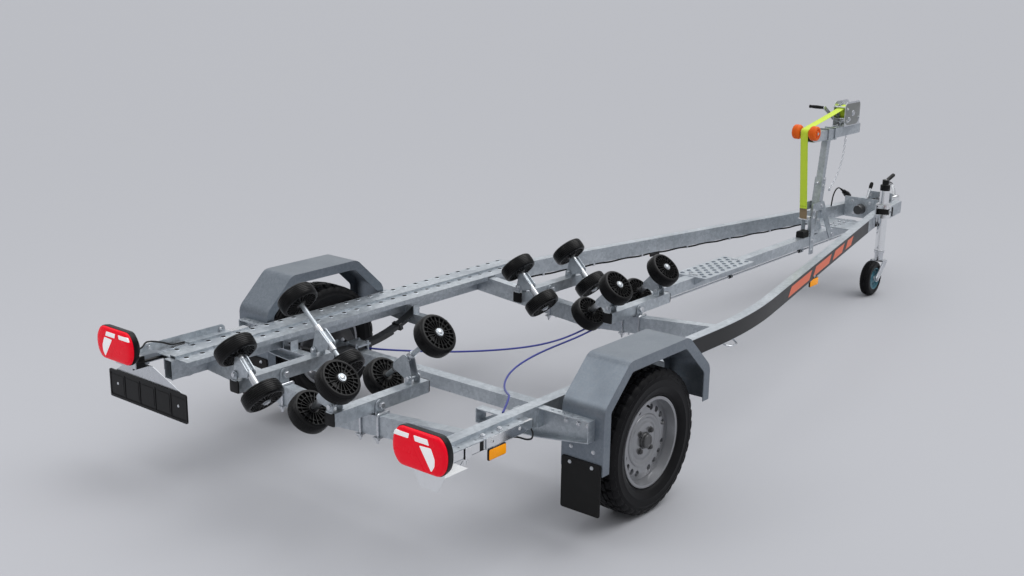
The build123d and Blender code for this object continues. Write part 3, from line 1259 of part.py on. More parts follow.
with BuildPart() as jockey_tube:
    with BuildSketch(Plane.XY.offset(JOCKEY_TUBE_LOW)):
        with Locations((jockey_axis.X, jockey_axis.Y)):
            Circle(JOCKEY_TUBE_R)
            Circle(JOCKEY_TUBE_R - JOCKEY_WALL, mode=Mode.SUBTRACT)
    extrude(amount=JOCKEY_TUBE_TOP - JOCKEY_TUBE_LOW)
    with BuildSketch(Plane.XY.offset(JOCKEY_TUBE_TOP)):
        with Locations((jockey_axis.X, jockey_axis.Y)):
            Circle(JOCKEY_TUBE_R)
    extrude(amount=JOCKEY_WALL)
    with BuildSketch(Plane.XY.offset(JOCKEY_TUBE_TOP)):
        with Locations((jockey_axis.X, jockey_axis.Y)):
            Circle(JOCKEY_KNOB_R)
    extrude(amount=JOCKEY_CAP_H)
    grip_tilt = radians(JOCKEY_GRIP_TILT)
    grip_from = (jockey_axis.X, jockey_axis.Y, JOCKEY_TUBE_TOP + JOCKEY_CAP_H - JOCKEY_GRIP_R)
    with BuildSketch(Plane(origin=grip_from, z_dir=(cos(grip_tilt), 0, sin(grip_tilt)))):
        Circle(JOCKEY_GRIP_R)
    extrude(amount=JOCKEY_GRIP_L)
jockey_tube.part.label = "jockey_tube"
export_step(jockey_tube.part, "parts/jockey_tube.step")

with BuildPart() as jockey_leg:
    with BuildSketch(Plane.XY.offset(LEG_LOW)):
        with Locations((jockey_axis.X, jockey_axis.Y)):
            Circle(LEG_R)
            Circle(SWIVEL_R + RUN, mode=Mode.SUBTRACT)
    extrude(amount=SWIVEL_L + FREE)
    with BuildSketch(Plane.XY.offset(LEG_LOW + SWIVEL_L + FREE)):
        with Locations((jockey_axis.X, jockey_axis.Y)):
            Circle(LEG_R)
            Circle(LEG_R - JOCKEY_WALL, mode=Mode.SUBTRACT)
    extrude(amount=LEG_TOP - LEG_LOW - SWIVEL_L - FREE)
jockey_leg.part.label = "jockey_leg"
export_step(jockey_leg.part, "parts/jockey_leg.step")

fork_top = LEG_LOW - RUN
wheel_x = jockey_axis.X - TRAIL
with BuildPart() as jockey_fork:
    with BuildSketch(Plane.XY.offset(fork_top - FORK_HEAD_T)):
        with Locations((jockey_axis.X + LEG_R / 4, jockey_axis.Y)):
            Rectangle(2 * LEG_R, FORK_GAP + 2 * FORK_T)
    extrude(amount=FORK_HEAD_T)
    with BuildSketch(Plane.XY.offset(fork_top)):
        with Locations((jockey_axis.X, jockey_axis.Y)):
            Circle(SWIVEL_R)
    extrude(amount=SWIVEL_L)
    for side in (1, -1):
        with BuildSketch(Plane.XZ.offset(-jockey_axis.Y + side * (FORK_GAP + FORK_T) / 2)):
            with Locations((wheel_x, JOCKEY_WHEEL_R)):
                Circle(2 * JOCKEY_AXLE_R)
            with Locations((jockey_axis.X + LEG_R / 4, fork_top - FORK_HEAD_T / 2)):
                Rectangle(2 * LEG_R, FORK_HEAD_T)
            make_hull()
        extrude(amount=FORK_T / 2, both=True)
    with BuildSketch(Plane.XZ.offset(-jockey_axis.Y)):
        with Locations((wheel_x, JOCKEY_WHEEL_R)):
            Circle(JOCKEY_AXLE_R)
    extrude(amount=FORK_GAP / 2 + FORK_T, both=True)
jockey_fork.part.label = "jockey_fork"
export_step(jockey_fork.part, "parts/jockey_fork.step")

with BuildPart() as jockey_wheel:
    wheel_centre = (wheel_x, jockey_axis.Y, JOCKEY_WHEEL_R)
    with BuildSketch(Plane(origin=wheel_centre, x_dir=(1, 0, 0), z_dir=(0, 0, 1))):
        hub_half = FORK_GAP / 2 - RUN
        wheel_half = JOCKEY_WHEEL_W / 2
        with BuildLine():
            Polyline(
                (JOCKEY_AXLE_R + RUN, -hub_half),
                (JOCKEY_HUB_R, -hub_half),
                (JOCKEY_HUB_R, -wheel_half / 2),
                (JOCKEY_RIM_R - 6, -wheel_half / 2),
                (JOCKEY_RIM_R, -wheel_half),
                (JOCKEY_WHEEL_R - 14, -wheel_half),
            )
            ThreePointArc(
                (JOCKEY_WHEEL_R - 14, -wheel_half),
                (JOCKEY_WHEEL_R, 0),
                (JOCKEY_WHEEL_R - 14, wheel_half),
            )
            Polyline(
                (JOCKEY_WHEEL_R - 14, wheel_half),
                (JOCKEY_RIM_R, wheel_half),
                (JOCKEY_RIM_R - 6, wheel_half / 2),
                (JOCKEY_HUB_R, wheel_half / 2),
                (JOCKEY_HUB_R, hub_half),
                (JOCKEY_AXLE_R + RUN, hub_half),
                (JOCKEY_AXLE_R + RUN, -hub_half),
            )
        make_face()
    revolve(axis=Axis(wheel_centre, (0, 1, 0)))
jockey_wheel.part.label = "jockey_wheel"
export_step(jockey_wheel.part, "parts/jockey_wheel.step")

# Lamps on their sliding arms; the left arm also carries the number plate's sheet, the right one a foot
for side_name, side in (("left", 1), ("right", -1)):
    lamp_front_x = TAIL_X + LAMP_DEEP
    arm_y, arm_z = (left_arm_y, LIGHT_ARM_Z) if side > 0 else (right_arm_y, right_arm_z)
    arm_rear_end = lamp_front_x if side > 0 else RIGHT_ARM_REAR_X
    with BuildPart() as light_arm:
        with BuildSketch(Plane.YZ.offset(lamp_front_x)):
            with Locations((side * LAMP_Y, (LAMP_PLATE_LOW + LAMP_PLATE_HIGH) / 2)):
                Rectangle(LAMP_PLATE_W, LAMP_PLATE_HIGH - LAMP_PLATE_LOW)
        extrude(amount=LAMP_PLATE_T)
        with BuildSketch(Plane.YZ.offset(arm_rear_end)):
            with Locations((side * arm_y, arm_z)):
                Rectangle(LIGHT_ARM_SQ, LIGHT_ARM_SQ)
        extrude(amount=LIGHT_ARM_FRONT_X - arm_rear_end)
        with BuildSketch(Plane.YZ.offset(arm_rear_end + LAMP_PLATE_T)):
            with Locations((side * arm_y, arm_z)):
                Rectangle(LIGHT_ARM_SQ - 2 * LIGHT_ARM_WALL, LIGHT_ARM_SQ - 2 * LIGHT_ARM_WALL)
        extrude(amount=LIGHT_ARM_FRONT_X - arm_rear_end, mode=Mode.SUBTRACT)
        if side > 0:
            sheet_top = LIGHT_ARM_Z - LIGHT_ARM_SQ / 2
            sheet_low = PLATE_Z + PLATE_H / 4
            with BuildSketch(Plane.YZ.offset(PLATE_X + PLATE_T / 2)):
                with BuildLine():
                    Polyline(
                        (left_arm_y - PLATE_SHEET_TOP_W / 2, sheet_top),
                        (left_arm_y + PLATE_SHEET_TOP_W / 2, sheet_top),
                        (PLATE_Y + PLATE_SHEET_LOW_W / 2, PLATE_Z + PLATE_H / 2),
                        (PLATE_Y + PLATE_SHEET_LOW_W / 2, sheet_low),
                        (PLATE_Y - PLATE_SHEET_LOW_W / 2, sheet_low),
                        (PLATE_Y - PLATE_SHEET_LOW_W / 2, PLATE_Z + PLATE_H / 2),
                        close=True,
                    )
                make_face()
            extrude(amount=PLATE_SHEET_T)
        else:
            with BuildSketch(Plane.YZ.offset(lamp_front_x)):
                with BuildLine():
                    Polyline(
                        (-LAMP_Y - LAMP_PLATE_W / 2, LAMP_PLATE_LOW),
                        (-LAMP_Y + LAMP_PLATE_W / 2, LAMP_PLATE_LOW),
                        (-LAMP_Y + LAMP_FOOT_W / 2, LAMP_FOOT_LOW),
                        (-LAMP_Y - LAMP_FOOT_W / 2, LAMP_FOOT_LOW),
                        close=True,
                    )
                make_face()
            extrude(amount=LAMP_PLATE_T)
            bracket_in_y = right_arm_y - LIGHT_ARM_SQ / 2
            bracket_out_y = LAMP_Y + LAMP_PLATE_W / 2
            with BuildSketch(Plane.XY.offset(right_arm_z + LIGHT_ARM_SQ / 2 - LIGHT_ARM_WALL)):
                with Locations(
                    ((lamp_front_x + RIGHT_SHEET_FRONT_X) / 2, -(bracket_in_y + bracket_out_y) / 2)
                ):
                    Rectangle(RIGHT_SHEET_FRONT_X - lamp_front_x, bracket_out_y - bracket_in_y)
            extrude(amount=LAMP_PLATE_T)
    light_arm.part.label = f"light_arm_{side_name}"
    export_step(light_arm.part, f"parts/light_arm_{side_name}.step")

    with BuildPart() as lamp:
        with BuildSketch(Plane.YZ.offset(TAIL_X)):
            with Locations((side * LAMP_Y, LAMP_Z)):
                RectangleRounded(LAMP_W, LAMP_H, LAMP_CORNER)
        extrude(amount=LAMP_DEEP)
        chamfer(lamp.edges().group_by(Axis.X)[0], length=LAMP_CORNER / 9)
    lamp.part.label = f"lamp_{side_name}"
    export_step(lamp.part, f"parts/lamp_{side_name}.step")

with BuildPart() as plate_holder:
    with BuildSketch(Plane.YZ.offset(PLATE_X - PLATE_T / 2)):
        with Locations((PLATE_Y, PLATE_Z)):
            RectangleRounded(PLATE_L, PLATE_H, PLATE_T)
    extrude(amount=PLATE_T)
plate_holder.part.label = "plate_holder"
export_step(plate_holder.part, "parts/plate_holder.step")

# Plug on its stiff cable, which rises from the left beam and lays the plug's end back on it
cable_route = tuple((AXLE_X + x, CABLE_Y, z) for x, z in CABLE_POINTS)
cable_radii = arc_radii(cable_route)
print("cable radii", [round(r) for r in cable_radii])
with BuildPart() as plug_cable:
    with BuildLine() as cable_line:
        FilletPolyline(*cable_route, radius=cable_radii)
    with BuildSketch(Plane(origin=cable_line.line @ 0, z_dir=cable_line.line % 0)):
        Circle(CABLE_R)
    sweep()
plug_cable.part.label = "plug_cable"
export_step(plug_cable.part, "parts/plug_cable.step")

plug_fall = radians(PLUG_DROP)
plug_plane = Plane(origin=cable_route[-1], z_dir=(cos(plug_fall), 0, -sin(plug_fall))).offset(RUN)
with BuildPart() as plug:
    with BuildSketch(plug_plane):
        Circle(PLUG_TAIL_R)
    extrude(amount=PLUG_TAIL_L)
    with BuildSketch(plug_plane.offset(PLUG_TAIL_L)):
        Circle(PLUG_R)
    extrude(amount=PLUG_L)
plug.part.label = "plug"
export_step(plug.part, "parts/plug.step")
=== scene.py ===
"""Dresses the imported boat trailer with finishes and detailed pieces, and sets floor, lights and camera."""

from __future__ import annotations

import json
import logging
import math
from dataclasses import dataclass
from enum import Enum
from typing import Any, Iterable, Sequence

import bmesh
import bpy
from mathutils import Matrix, Vector

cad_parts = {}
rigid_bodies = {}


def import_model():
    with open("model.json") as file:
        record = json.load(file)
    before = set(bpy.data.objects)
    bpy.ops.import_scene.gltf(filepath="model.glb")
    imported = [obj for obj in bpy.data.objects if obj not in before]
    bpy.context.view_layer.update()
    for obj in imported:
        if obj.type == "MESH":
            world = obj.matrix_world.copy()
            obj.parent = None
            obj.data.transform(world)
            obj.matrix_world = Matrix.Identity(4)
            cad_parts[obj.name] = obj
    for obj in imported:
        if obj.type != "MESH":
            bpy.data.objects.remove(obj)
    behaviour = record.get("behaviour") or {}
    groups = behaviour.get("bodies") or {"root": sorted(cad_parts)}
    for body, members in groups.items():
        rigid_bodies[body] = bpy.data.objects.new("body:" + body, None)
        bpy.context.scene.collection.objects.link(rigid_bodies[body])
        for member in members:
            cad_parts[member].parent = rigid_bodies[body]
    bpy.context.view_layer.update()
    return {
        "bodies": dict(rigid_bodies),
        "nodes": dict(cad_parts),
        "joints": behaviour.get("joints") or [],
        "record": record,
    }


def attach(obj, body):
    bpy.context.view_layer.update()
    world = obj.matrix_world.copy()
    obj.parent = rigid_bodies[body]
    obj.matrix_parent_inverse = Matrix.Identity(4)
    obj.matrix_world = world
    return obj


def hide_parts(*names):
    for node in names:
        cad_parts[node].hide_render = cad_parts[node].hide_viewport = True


LOG = logging.getLogger("boat_trailer")

Point = Sequence[float]
AXLE_X = -1.705
TURN = 2.0 * math.pi
CROSS_STATIONS = (("rear", -0.8), ("front", 0.925))
SIDES = (("left", 1.0), ("right", -1.0))


def station(from_axle: float) -> float:
    """The row frame's X of a station given in metres forward of the axle."""
    return AXLE_X + from_axle


def frame_at(origin: Point, axis: Point, x_hint: Point = (1.0, 0.0, 0.0)) -> Matrix:
    """A placement whose local Z runs along an axis.

    Args:
        origin: where the local origin goes.
        axis: direction of the local Z.
        x_hint: rough direction of the local X.

    Returns:
        The 4x4 placement.
    """
    up = Vector(axis).normalized()
    hint = Vector(x_hint)
    if abs(up.dot(hint.normalized())) > 0.98:
        hint = Vector((0.0, 0.0, 1.0)) if abs(up.z) < 0.9 else Vector((0.0, 1.0, 0.0))
    across = (hint - up * hint.dot(up)).normalized()
    third = up.cross(across)
    turn = Matrix((across, third, up)).transposed().to_4x4()
    return Matrix.Translation(Vector(origin)) @ turn


class Body(str, Enum):
    """The bodies that single pieces ride on."""

    FRAME = "frame"
    BOW = "bow_roller"
    DRUM = "winch_drum"
    CRANK = "winch_crank"
    TUBE = "jockey_tube"
    FORK = "jockey_fork"
    JOCKEY = "jockey_wheel"


class Slot(str, Enum):
    """The record's material slots."""

    GALVANISED = "galvanised_steel"
    WHEEL = "wheel_steel"
    TYRE = "tyre_rubber"
    RUBBER = "black_rubber"
    PLASTIC = "black_plastic"
    SPRING = "spring_steel"
    ORANGE = "orange_rubber"
    ZINC = "zinc_plated_steel"
    STRAP = "strap_webbing"
    COUPLING = "coupling_paint"
    LENS = "red_lens"


# ---------------------------------------------------------------- shader graphs


class Level:
    """A number that varies over a surface; arithmetic on it adds Math nodes."""

    def __init__(self, graph: "Graph", socket: Any) -> None:
        """Wraps an output socket of a graph."""
        self.graph = graph
        self.socket = socket

    def _math(self, operation: str, first: Any, second: Any, clamp: bool = False) -> "Level":
        """Adds one Math node.

        Args:
            operation: the node's operation.
            first: value or level of its first input.
            second: value or level of its second input.
            clamp: whether the result is kept in 0 to 1.

        Returns:
            The node's result.
        """
        node = self.graph.node(
            "ShaderNodeMath", {"operation": operation, "use_clamp": clamp}, {0: first, 1: second}
        )
        return Level(self.graph, node.outputs[0])

    def __add__(self, other: Any) -> "Level":
        """Sum."""
        return self._math("ADD", self, other)

    __radd__ = __add__

    def __sub__(self, other: Any) -> "Level":
        """Difference."""
        return self._math("SUBTRACT", self, other)

    def __rsub__(self, other: Any) -> "Level":
        """Difference from a number."""
        return self._math("SUBTRACT", other, self)

    def __mul__(self, other: Any) -> "Level":
        """Product."""
        return self._math("MULTIPLY", self, other)

    __rmul__ = __mul__

    def __gt__(self, other: Any) -> "Level":
        """One where the level is above a value, else nought."""
        return self._math("GREATER_THAN", self, other)

    def __lt__(self, other: Any) -> "Level":
        """One where the level is below a value, else nought."""
        return self._math("LESS_THAN", self, other)

    def apart(self, other: Any) -> "Level":
        """Distance from a value."""
        return self._math("ABSOLUTE", self - other, 0.0)

    def wave(self) -> "Level":
        """Sine."""
        return self._math("SINE", self, 0.0)

    def clamped(self) -> "Level":
        """The level kept in 0 to 1."""
        return self._math("ADD", self, 0.0, clamp=True)


class Graph:
    """One material's node tree, built around a Principled shader."""

    def __init__(self, name: str) -> None:
        """Starts an empty material.

        Args:
            name: the material's name.
        """
        self.material = bpy.data.materials.new(name)
        self.material.use_nodes = True
        self.tree = self.material.node_tree
        self.tree.nodes.clear()

    def node(
        self, kind: str, settings: dict[str, Any] | None = None, inputs: dict[Any, Any] | None = None
    ) -> Any:
        """Adds one node.

        Args:
            kind: the node's type.
            settings: properties set before the inputs; "stops" fills a colour ramp.
            inputs: socket name or number to a value, a Level or an output socket.

        Returns:
            The new node.
        """
        made = self.tree.nodes.new(kind)
        for key, value in (settings or {}).items():
            if key == "stops":
                ramp = made.color_ramp.elements
                while len(ramp) < len(value):
                    ramp.new(0.5)
                for stop, (place, colour) in zip(ramp, value):
                    stop.position = place
                    stop.color = (*colour, 1.0) if len(colour) == 3 else colour
            else:
                setattr(made, key, value)
        for key, value in (inputs or {}).items():
            if isinstance(value, Level):
                value = value.socket
            if isinstance(value, bpy.types.NodeSocket):
                self.tree.links.new(value, made.inputs[key])
            else:
                made.inputs[key].default_value = value
        return made

    def level(self, socket: Any) -> Level:
        """Wraps a socket for arithmetic."""
        return Level(self, socket)

    def place(self) -> Any:
        """Object coordinates, which are the row frame in metres."""
        return self.node("ShaderNodeTexCoord").outputs["Object"]

    def stretched(self, scale: Point) -> Any:
        """Object coordinates multiplied per axis.

        Args:
            scale: factor for each axis.

        Returns:
            The node's output.
        """
        return self.node(
            "ShaderNodeVectorMath", {"operation": "MULTIPLY"}, {0: self.place(), 1: tuple(scale)}
        ).outputs[0]

    def axes(self) -> tuple[Level, Level, Level]:
        """The three object coordinates apart."""
        parts = self.node("ShaderNodeSeparateXYZ", None, {0: self.place()}).outputs
        return self.level(parts[0]), self.level(parts[1]), self.level(parts[2])

    def noise(self, scale: float, detail: float = 4.0, rough: float = 0.55, vector: Any = None) -> Level:
        """Cloudy noise.

        Args:
            scale: features per metre.
            detail: octaves.
            rough: weight of the fine octaves.
            vector: coordinates, or None for the object's own.

        Returns:
            The noise, about 0.3 to 0.7.
        """
        made = self.node(
            "ShaderNodeTexNoise", None,
            {"Vector": vector or self.place(), "Scale": scale, "Detail": detail, "Roughness": rough}
        )
        return self.level(made.outputs[0])

    def cells(self, scale: float, vector: Any = None) -> Level:
        """A random grey for each crystal-like cell.

        Args:
            scale: the pattern's scale.
            vector: the coordinates that it reads.

        Returns:
            The level.
        """
        made = self.node("ShaderNodeTexVoronoi", None, {"Vector": vector or self.place(), "Scale": scale})
        grey = self.node("ShaderNodeSeparateColor", None, {0: made.outputs["Color"]})
        return self.level(grey.outputs[0])

    def mix(self, share: Any, first: Any, second: Any, blend: str = "MIX") -> Any:
        """Mixes two colours.

        Args:
            share: how much of the second.
            first: colour or socket.
            second: colour or socket.
            blend: the Mix node's blend type.

        Returns:
            The mixed colour's socket.
        """
        made = self.node(
            "ShaderNodeMix", {"data_type": "RGBA", "blend_type": blend, "clamp_factor": True},
            {0: share, 6: _colour(first), 7: _colour(second)}
        )
        return made.outputs[2]

    def bump(self, height: Any, strength: float, distance: float, under: Any = None) -> Any:
        """A bump from a height, over another bump if one is given.

        Args:
            height: the height level.
            strength: the bump's strength.
            distance: the bump's depth in metres.
            under: a bump that lies under it, or None.

        Returns:
            The node's output.
        """
        inputs: dict[Any, Any] = {"Strength": strength, "Distance": distance, "Height": height}
        if under is not None:
            inputs["Normal"] = under
        return self.node("ShaderNodeBump", None, inputs).outputs[0]

    def close(self, varying: dict[str, Any], fixed: dict[str, Any] | None = None) -> bpy.types.Material:
        """Adds the Principled shader and the output.

        Args:
            varying: sockets fed by the graph.
            fixed: sockets set to one value.

        Returns:
            The finished material.
        """
        inputs = {**(fixed or {}), **varying}
        if "Base Color" in inputs:
            inputs["Base Color"] = _colour(inputs["Base Color"])
        shader = self.node("ShaderNodeBsdfPrincipled", None, inputs)
        self.node("ShaderNodeOutputMaterial", None, {0: shader.outputs[0]})
        return self.material


def _colour(value: Any) -> Any:
    """A colour with its alpha, or the socket as it is.

    Args:
        value: a colour of three numbers, or a socket.

    Returns:
        The value that a socket takes.
    """
    if isinstance(value, (tuple, list)) and len(value) == 3:
        return (*value, 1.0)
    return value


# ---------------------------------------------------------------- finishes


@dataclass(frozen=True)
class Galvanised:
    """Hot-dip galvanised steel: spangle, soft patches and a satin sheen."""

    name: str = "galvanised_steel"
    tone: tuple[float, float, float] = (0.41, 0.45, 0.485)
    bright: tuple[float, float, float] = (0.66, 0.7, 0.74)
    shade: tuple[float, float, float] = (0.22, 0.25, 0.285)
    spangle: float = 70.0
    metal: float = 0.72
    rough: float = 0.36

    def build(self) -> bpy.types.Material:
        """Makes the material.

        Returns:
            The material.
        """
        g = Graph(self.name)
        crystals = g.cells(self.spangle)
        fine = g.cells(self.spangle * 2.6)
        patches = g.noise(5.0, 5.0, 0.6)
        runs = g.noise(3.0, 4.0, 0.6, g.stretched((1.0, 5.0, 5.0)))
        base = g.mix(crystals * 0.55 + fine * 0.25, self.tone, self.bright)
        base = g.mix(((patches - 0.42) * 2.6).clamped() * 0.55, base, self.shade)
        base = g.mix(((runs - 0.5) * 3.0).clamped() * 0.35, base, self.bright)
        grain = g.noise(420.0, 3.0)
        relief = g.bump(crystals + grain * 0.6, 0.1, 0.0006)
        return g.close(
            {
                "Base Color": base, "Roughness": crystals * 0.1 + patches * 0.16 + (self.rough - 0.11),
                "Normal": relief
            },
            {"Metallic": self.metal}
        )


@dataclass(frozen=True)
class Plated:
    """Zinc or chrome plated steel: brighter and smoother than galvanising, with light scuffs."""

    name: str
    tone: tuple[float, float, float]
    rough: float
    metal: float = 0.95

    def build(self) -> bpy.types.Material:
        """Makes the material.

        Returns:
            The material.
        """
        g = Graph(self.name)
        scuffs = g.noise(38.0, 6.0, 0.7, g.stretched((1.0, 2.4, 0.7)))
        cloud = g.noise(12.0, 3.0)
        base = g.mix(((scuffs - 0.5) * 3.0).clamped() * 0.4, self.tone, tuple(0.62 * c for c in self.tone))
        relief = g.bump(g.noise(600.0, 2.0), 0.06, 0.0003)
        return g.close(
            {"Base Color": base, "Roughness": cloud * 0.22 + (self.rough - 0.08), "Normal": relief},
            {"Metallic": self.metal}
        )


@dataclass(frozen=True)
class Lacquer:
    """Smooth paint with fine flake, a clear coat and dust in it."""

    name: str
    tone: tuple[float, float, float]
    rough: float = 0.34
    metal: float = 0.0
    coat: float = 0.3
    dust: tuple[float, float, float] = (0.45, 0.45, 0.46)

    def build(self) -> bpy.types.Material:
        """Makes the material.

        Returns:
            The material.
        """
        g = Graph(self.name)
        flake = g.cells(1400.0)
        dust = ((g.noise(9.0, 6.0, 0.65) - 0.52) * 3.0).clamped()
        base = g.mix(flake * 0.25, self.tone, tuple(min(1.0, 1.35 * c) for c in self.tone))
        base = g.mix(dust * 0.18, base, self.dust)
        relief = g.bump(g.noise(190.0, 3.0), 0.05, 0.0004)
        return g.close(
            {"Base Color": base, "Roughness": dust * 0.2 + self.rough, "Normal": relief},
            {"Metallic": self.metal, "Coat Weight": self.coat, "Coat Roughness": 0.15}
        )


@dataclass(frozen=True)
class Moulded:
    """Rubber or plastic with a fine moulded grain and dusty scuffs."""

    name: str
    tone: tuple[float, float, float]
    rough: float = 0.55
    grain: float = 520.0
    relief: float = 0.12
    dust: float = 0.1
    dust_tone: tuple[float, float, float] = (0.22, 0.22, 0.22)

    def build(self) -> bpy.types.Material:
        """Makes the material.

        Returns:
            The material.
        """
        g = Graph(self.name)
        scuffs = ((g.noise(26.0, 7.0, 0.7) - 0.5) * 2.6).clamped()
        grain = g.noise(self.grain, 4.0, 0.6)
        base = g.mix(scuffs * self.dust, self.tone, self.dust_tone)
        bump = g.bump(grain, self.relief, 0.0006)
        return g.close(
            {
                "Base Color": base, "Roughness": scuffs * 0.12 + grain * 0.08 + (self.rough - 0.06),
                "Normal": bump
            },
            {"Specular IOR Level": 0.22}
        )


@dataclass(frozen=True)
class Webbing:
    """Woven strap: diagonal twill ribs, darker edges and dulled fibres."""

    name: str = "strap_webbing"
    tone: tuple[float, float, float] = (0.72, 0.93, 0.05)
    deep: tuple[float, float, float] = (0.5, 0.68, 0.02)
    pitch: float = 0.0022
    half_width: float = 0.024
    loop_below: float = 0.615
    loop_tone: tuple[float, float, float] = (0.28, 0.2, 0.11)

    def build(self) -> bpy.types.Material:
        """Makes the material.

        Returns:
            The material.
        """
        g = Graph(self.name)
        x, y, z = g.axes()
        turn = 2.0 * math.pi / self.pitch
        rib = ((y * turn * 1.0).wave() * 0.5) + 0.5
        pick = (((z + x) * turn * 0.8 + y * turn * 0.5).wave() * 0.5) + 0.5
        soil = ((g.noise(30.0, 5.0, 0.65) - 0.5) * 2.5).clamped()
        edge = y.apart(0.0) > (self.half_width - 0.003)
        base = g.mix(rib * 0.35 + pick * 0.25, self.tone, self.deep)
        base = g.mix(edge * 0.35, base, self.deep)
        base = g.mix(soil * 0.15, base, (0.45, 0.5, 0.2))
        base = g.mix(z < self.loop_below, base, self.loop_tone)
        relief = g.bump(rib + pick, 0.35, 0.0005)
        return g.close(
            {"Base Color": base, "Roughness": soil * 0.1 + 0.72, "Normal": relief}, {"Sheen Weight": 0.2}
        )


@dataclass(frozen=True)
class Lens:
    """Moulded lamp lens: a fine prism grid under a gloss skin, with a faint painted glow."""

    name: str
    tone: tuple[float, float, float]
    deep: tuple[float, float, float]
    pitch: float = 0.0042
    glow: float = 0.0

    def build(self) -> bpy.types.Material:
        """Makes the material.

        Returns:
            The material.
        """
        g = Graph(self.name)
        _, y, z = g.axes()
        turn = 2.0 * math.pi / self.pitch
        prism = ((y * turn).wave() * (z * turn).wave()) * 0.5 + 0.5
        wide = g.noise(14.0, 2.0)
        base = g.mix(prism * 0.45 + wide * 0.35, self.tone, self.deep)
        relief = g.bump(prism, 0.25, 0.0006)
        # The emission is painted glow: the lens is not lit, and the glow stands in for light caught in it.
        return g.close(
            {
                "Base Color": base, "Roughness": wide * 0.1 + 0.22, "Normal": relief,
                "Emission Color": base
            },
            {
                "Coat Weight": 0.15, "Coat Roughness": 0.05, "Specular IOR Level": 0.15,
                "Emission Strength": self.glow
            }
        )


@dataclass(frozen=True)
class TyreRubber:
    """Tyre rubber: matt black, with a fine radial grain and a dusty tread."""

    name: str = "tyre_rubber"
    tone: tuple[float, float, float] = (0.007, 0.007, 0.008)
    dusty: tuple[float, float, float] = (0.024, 0.023, 0.024)

    def build(self) -> bpy.types.Material:
        """Makes the material.

        Returns:
            The material.
        """
        g = Graph(self.name)
        cloud = ((g.noise(11.0, 6.0, 0.65) - 0.48) * 2.4).clamped()
        grain = g.noise(700.0, 3.0)
        base = g.mix(cloud * 0.5, self.tone, self.dusty)
        relief = g.bump(grain, 0.1, 0.0005)
        return g.close(
            {"Base Color": base, "Roughness": cloud * 0.18 + grain * 0.06 + 0.4, "Normal": relief},
            {"Specular IOR Level": 0.12}
        )


@dataclass(frozen=True)
class Stripe:
    """A plain coloured stripe with soft wear at its ends, on a black sheet."""

    name: str = "orange_stripe"
    tone: tuple[float, float, float] = (0.8, 0.13, 0.035)

    def build(self) -> bpy.types.Material:
        """Makes the material.

        Returns:
            The material.
        """
        g = Graph(self.name)
        wear = ((g.noise(60.0, 6.0, 0.7) - 0.6) * 4.0).clamped()
        base = g.mix(wear * 0.35, self.tone, (0.35, 0.06, 0.02))
        return g.close(
            {
                "Base Color": base, "Roughness": wear * 0.2 + 0.38,
                "Normal": g.bump(g.noise(300.0), 0.05, 0.0003)
            }
        )


class Finish(Enum):
    """Every finish of the trailer, by the part of the trade that supplies it."""

    GALVANISED = Galvanised()
    SHEET = Galvanised(
        name="galvanised_sheet", tone=(0.185, 0.215, 0.25), bright=(0.27, 0.3, 0.335),
        shade=(0.13, 0.155, 0.19), spangle=120.0, metal=0.75, rough=0.36
    )
    ZINC = Plated("zinc_plate", (0.66, 0.68, 0.71), 0.26)
    CHROME = Plated("bright_plate", (0.86, 0.87, 0.88), 0.1, 1.0)
    WINCH_GREY = Plated("winch_plate", (0.3, 0.31, 0.3), 0.36, 0.8)
    WHEEL = Lacquer("wheel_lacquer", (0.29, 0.295, 0.31), 0.3, 0.65, 0.4)
    SPRING = Lacquer("spring_paint", (0.018, 0.018, 0.019), 0.38, 0.0, 0.2, (0.15, 0.15, 0.15))
    CASTING = Lacquer("casting_paint", (0.05, 0.05, 0.052), 0.34, 0.2, 0.3, (0.2, 0.2, 0.2))
    JOCKEY_RIM = Lacquer("jockey_rim_paint", (0.05, 0.17, 0.22), 0.32, 0.3, 0.4)
    TYRE = TyreRubber()
    RUBBER = Moulded("black_rubber", (0.009, 0.009, 0.009), 0.5, 520.0, 0.06, 0.03)
    PLASTIC = Moulded("black_plastic", (0.006, 0.006, 0.0065), 0.34, 380.0, 0.05, 0.03)
    BAND = Moulded("black_band", (0.02, 0.02, 0.021), 0.4, 900.0, 0.03, 0.06)
    ROLLER = Moulded(
        "roller_plastic", (0.0045, 0.0045, 0.005), 0.3, 300.0, 0.05, 0.08, (0.05, 0.05, 0.055)
    )
    HOSE = Moulded("blue_hose", (0.055, 0.065, 0.3), 0.36, 600.0, 0.05, 0.1)
    ORANGE = Moulded("orange_polyurethane", (0.86, 0.14, 0.01), 0.42, 260.0, 0.06, 0.2, (0.45, 0.1, 0.02))
    STRAP = Webbing()
    # LENS, REFLEX and AMBER carry painted glow: emission on an unlit lens and on reflectors.
    LENS = Lens("red_lens", (0.86, 0.0, 0.018), (0.6, 0.0, 0.01), glow=0.3)
    REFLEX = Lens("clear_reflex", (0.92, 0.92, 0.92), (0.62, 0.62, 0.64), 0.0034, 0.35)
    AMBER = Lens("amber_reflex", (0.95, 0.38, 0.01), (0.75, 0.22, 0.0), 0.0036, 0.25)
    STRIPE = Stripe()


class Paints:
    """Makes each finish once and keeps it."""

    def __init__(self) -> None:
        """Starts with no material made."""
        self._made: dict[Finish, bpy.types.Material] = {}

    def get(self, finish: Finish) -> bpy.types.Material:
        """The material of a finish.

        Args:
            finish: the finish.

        Returns:
            The material.
        """
        if finish not in self._made:
            self._made[finish] = finish.value.build()
        return self._made[finish]


# ---------------------------------------------------------------- shapes


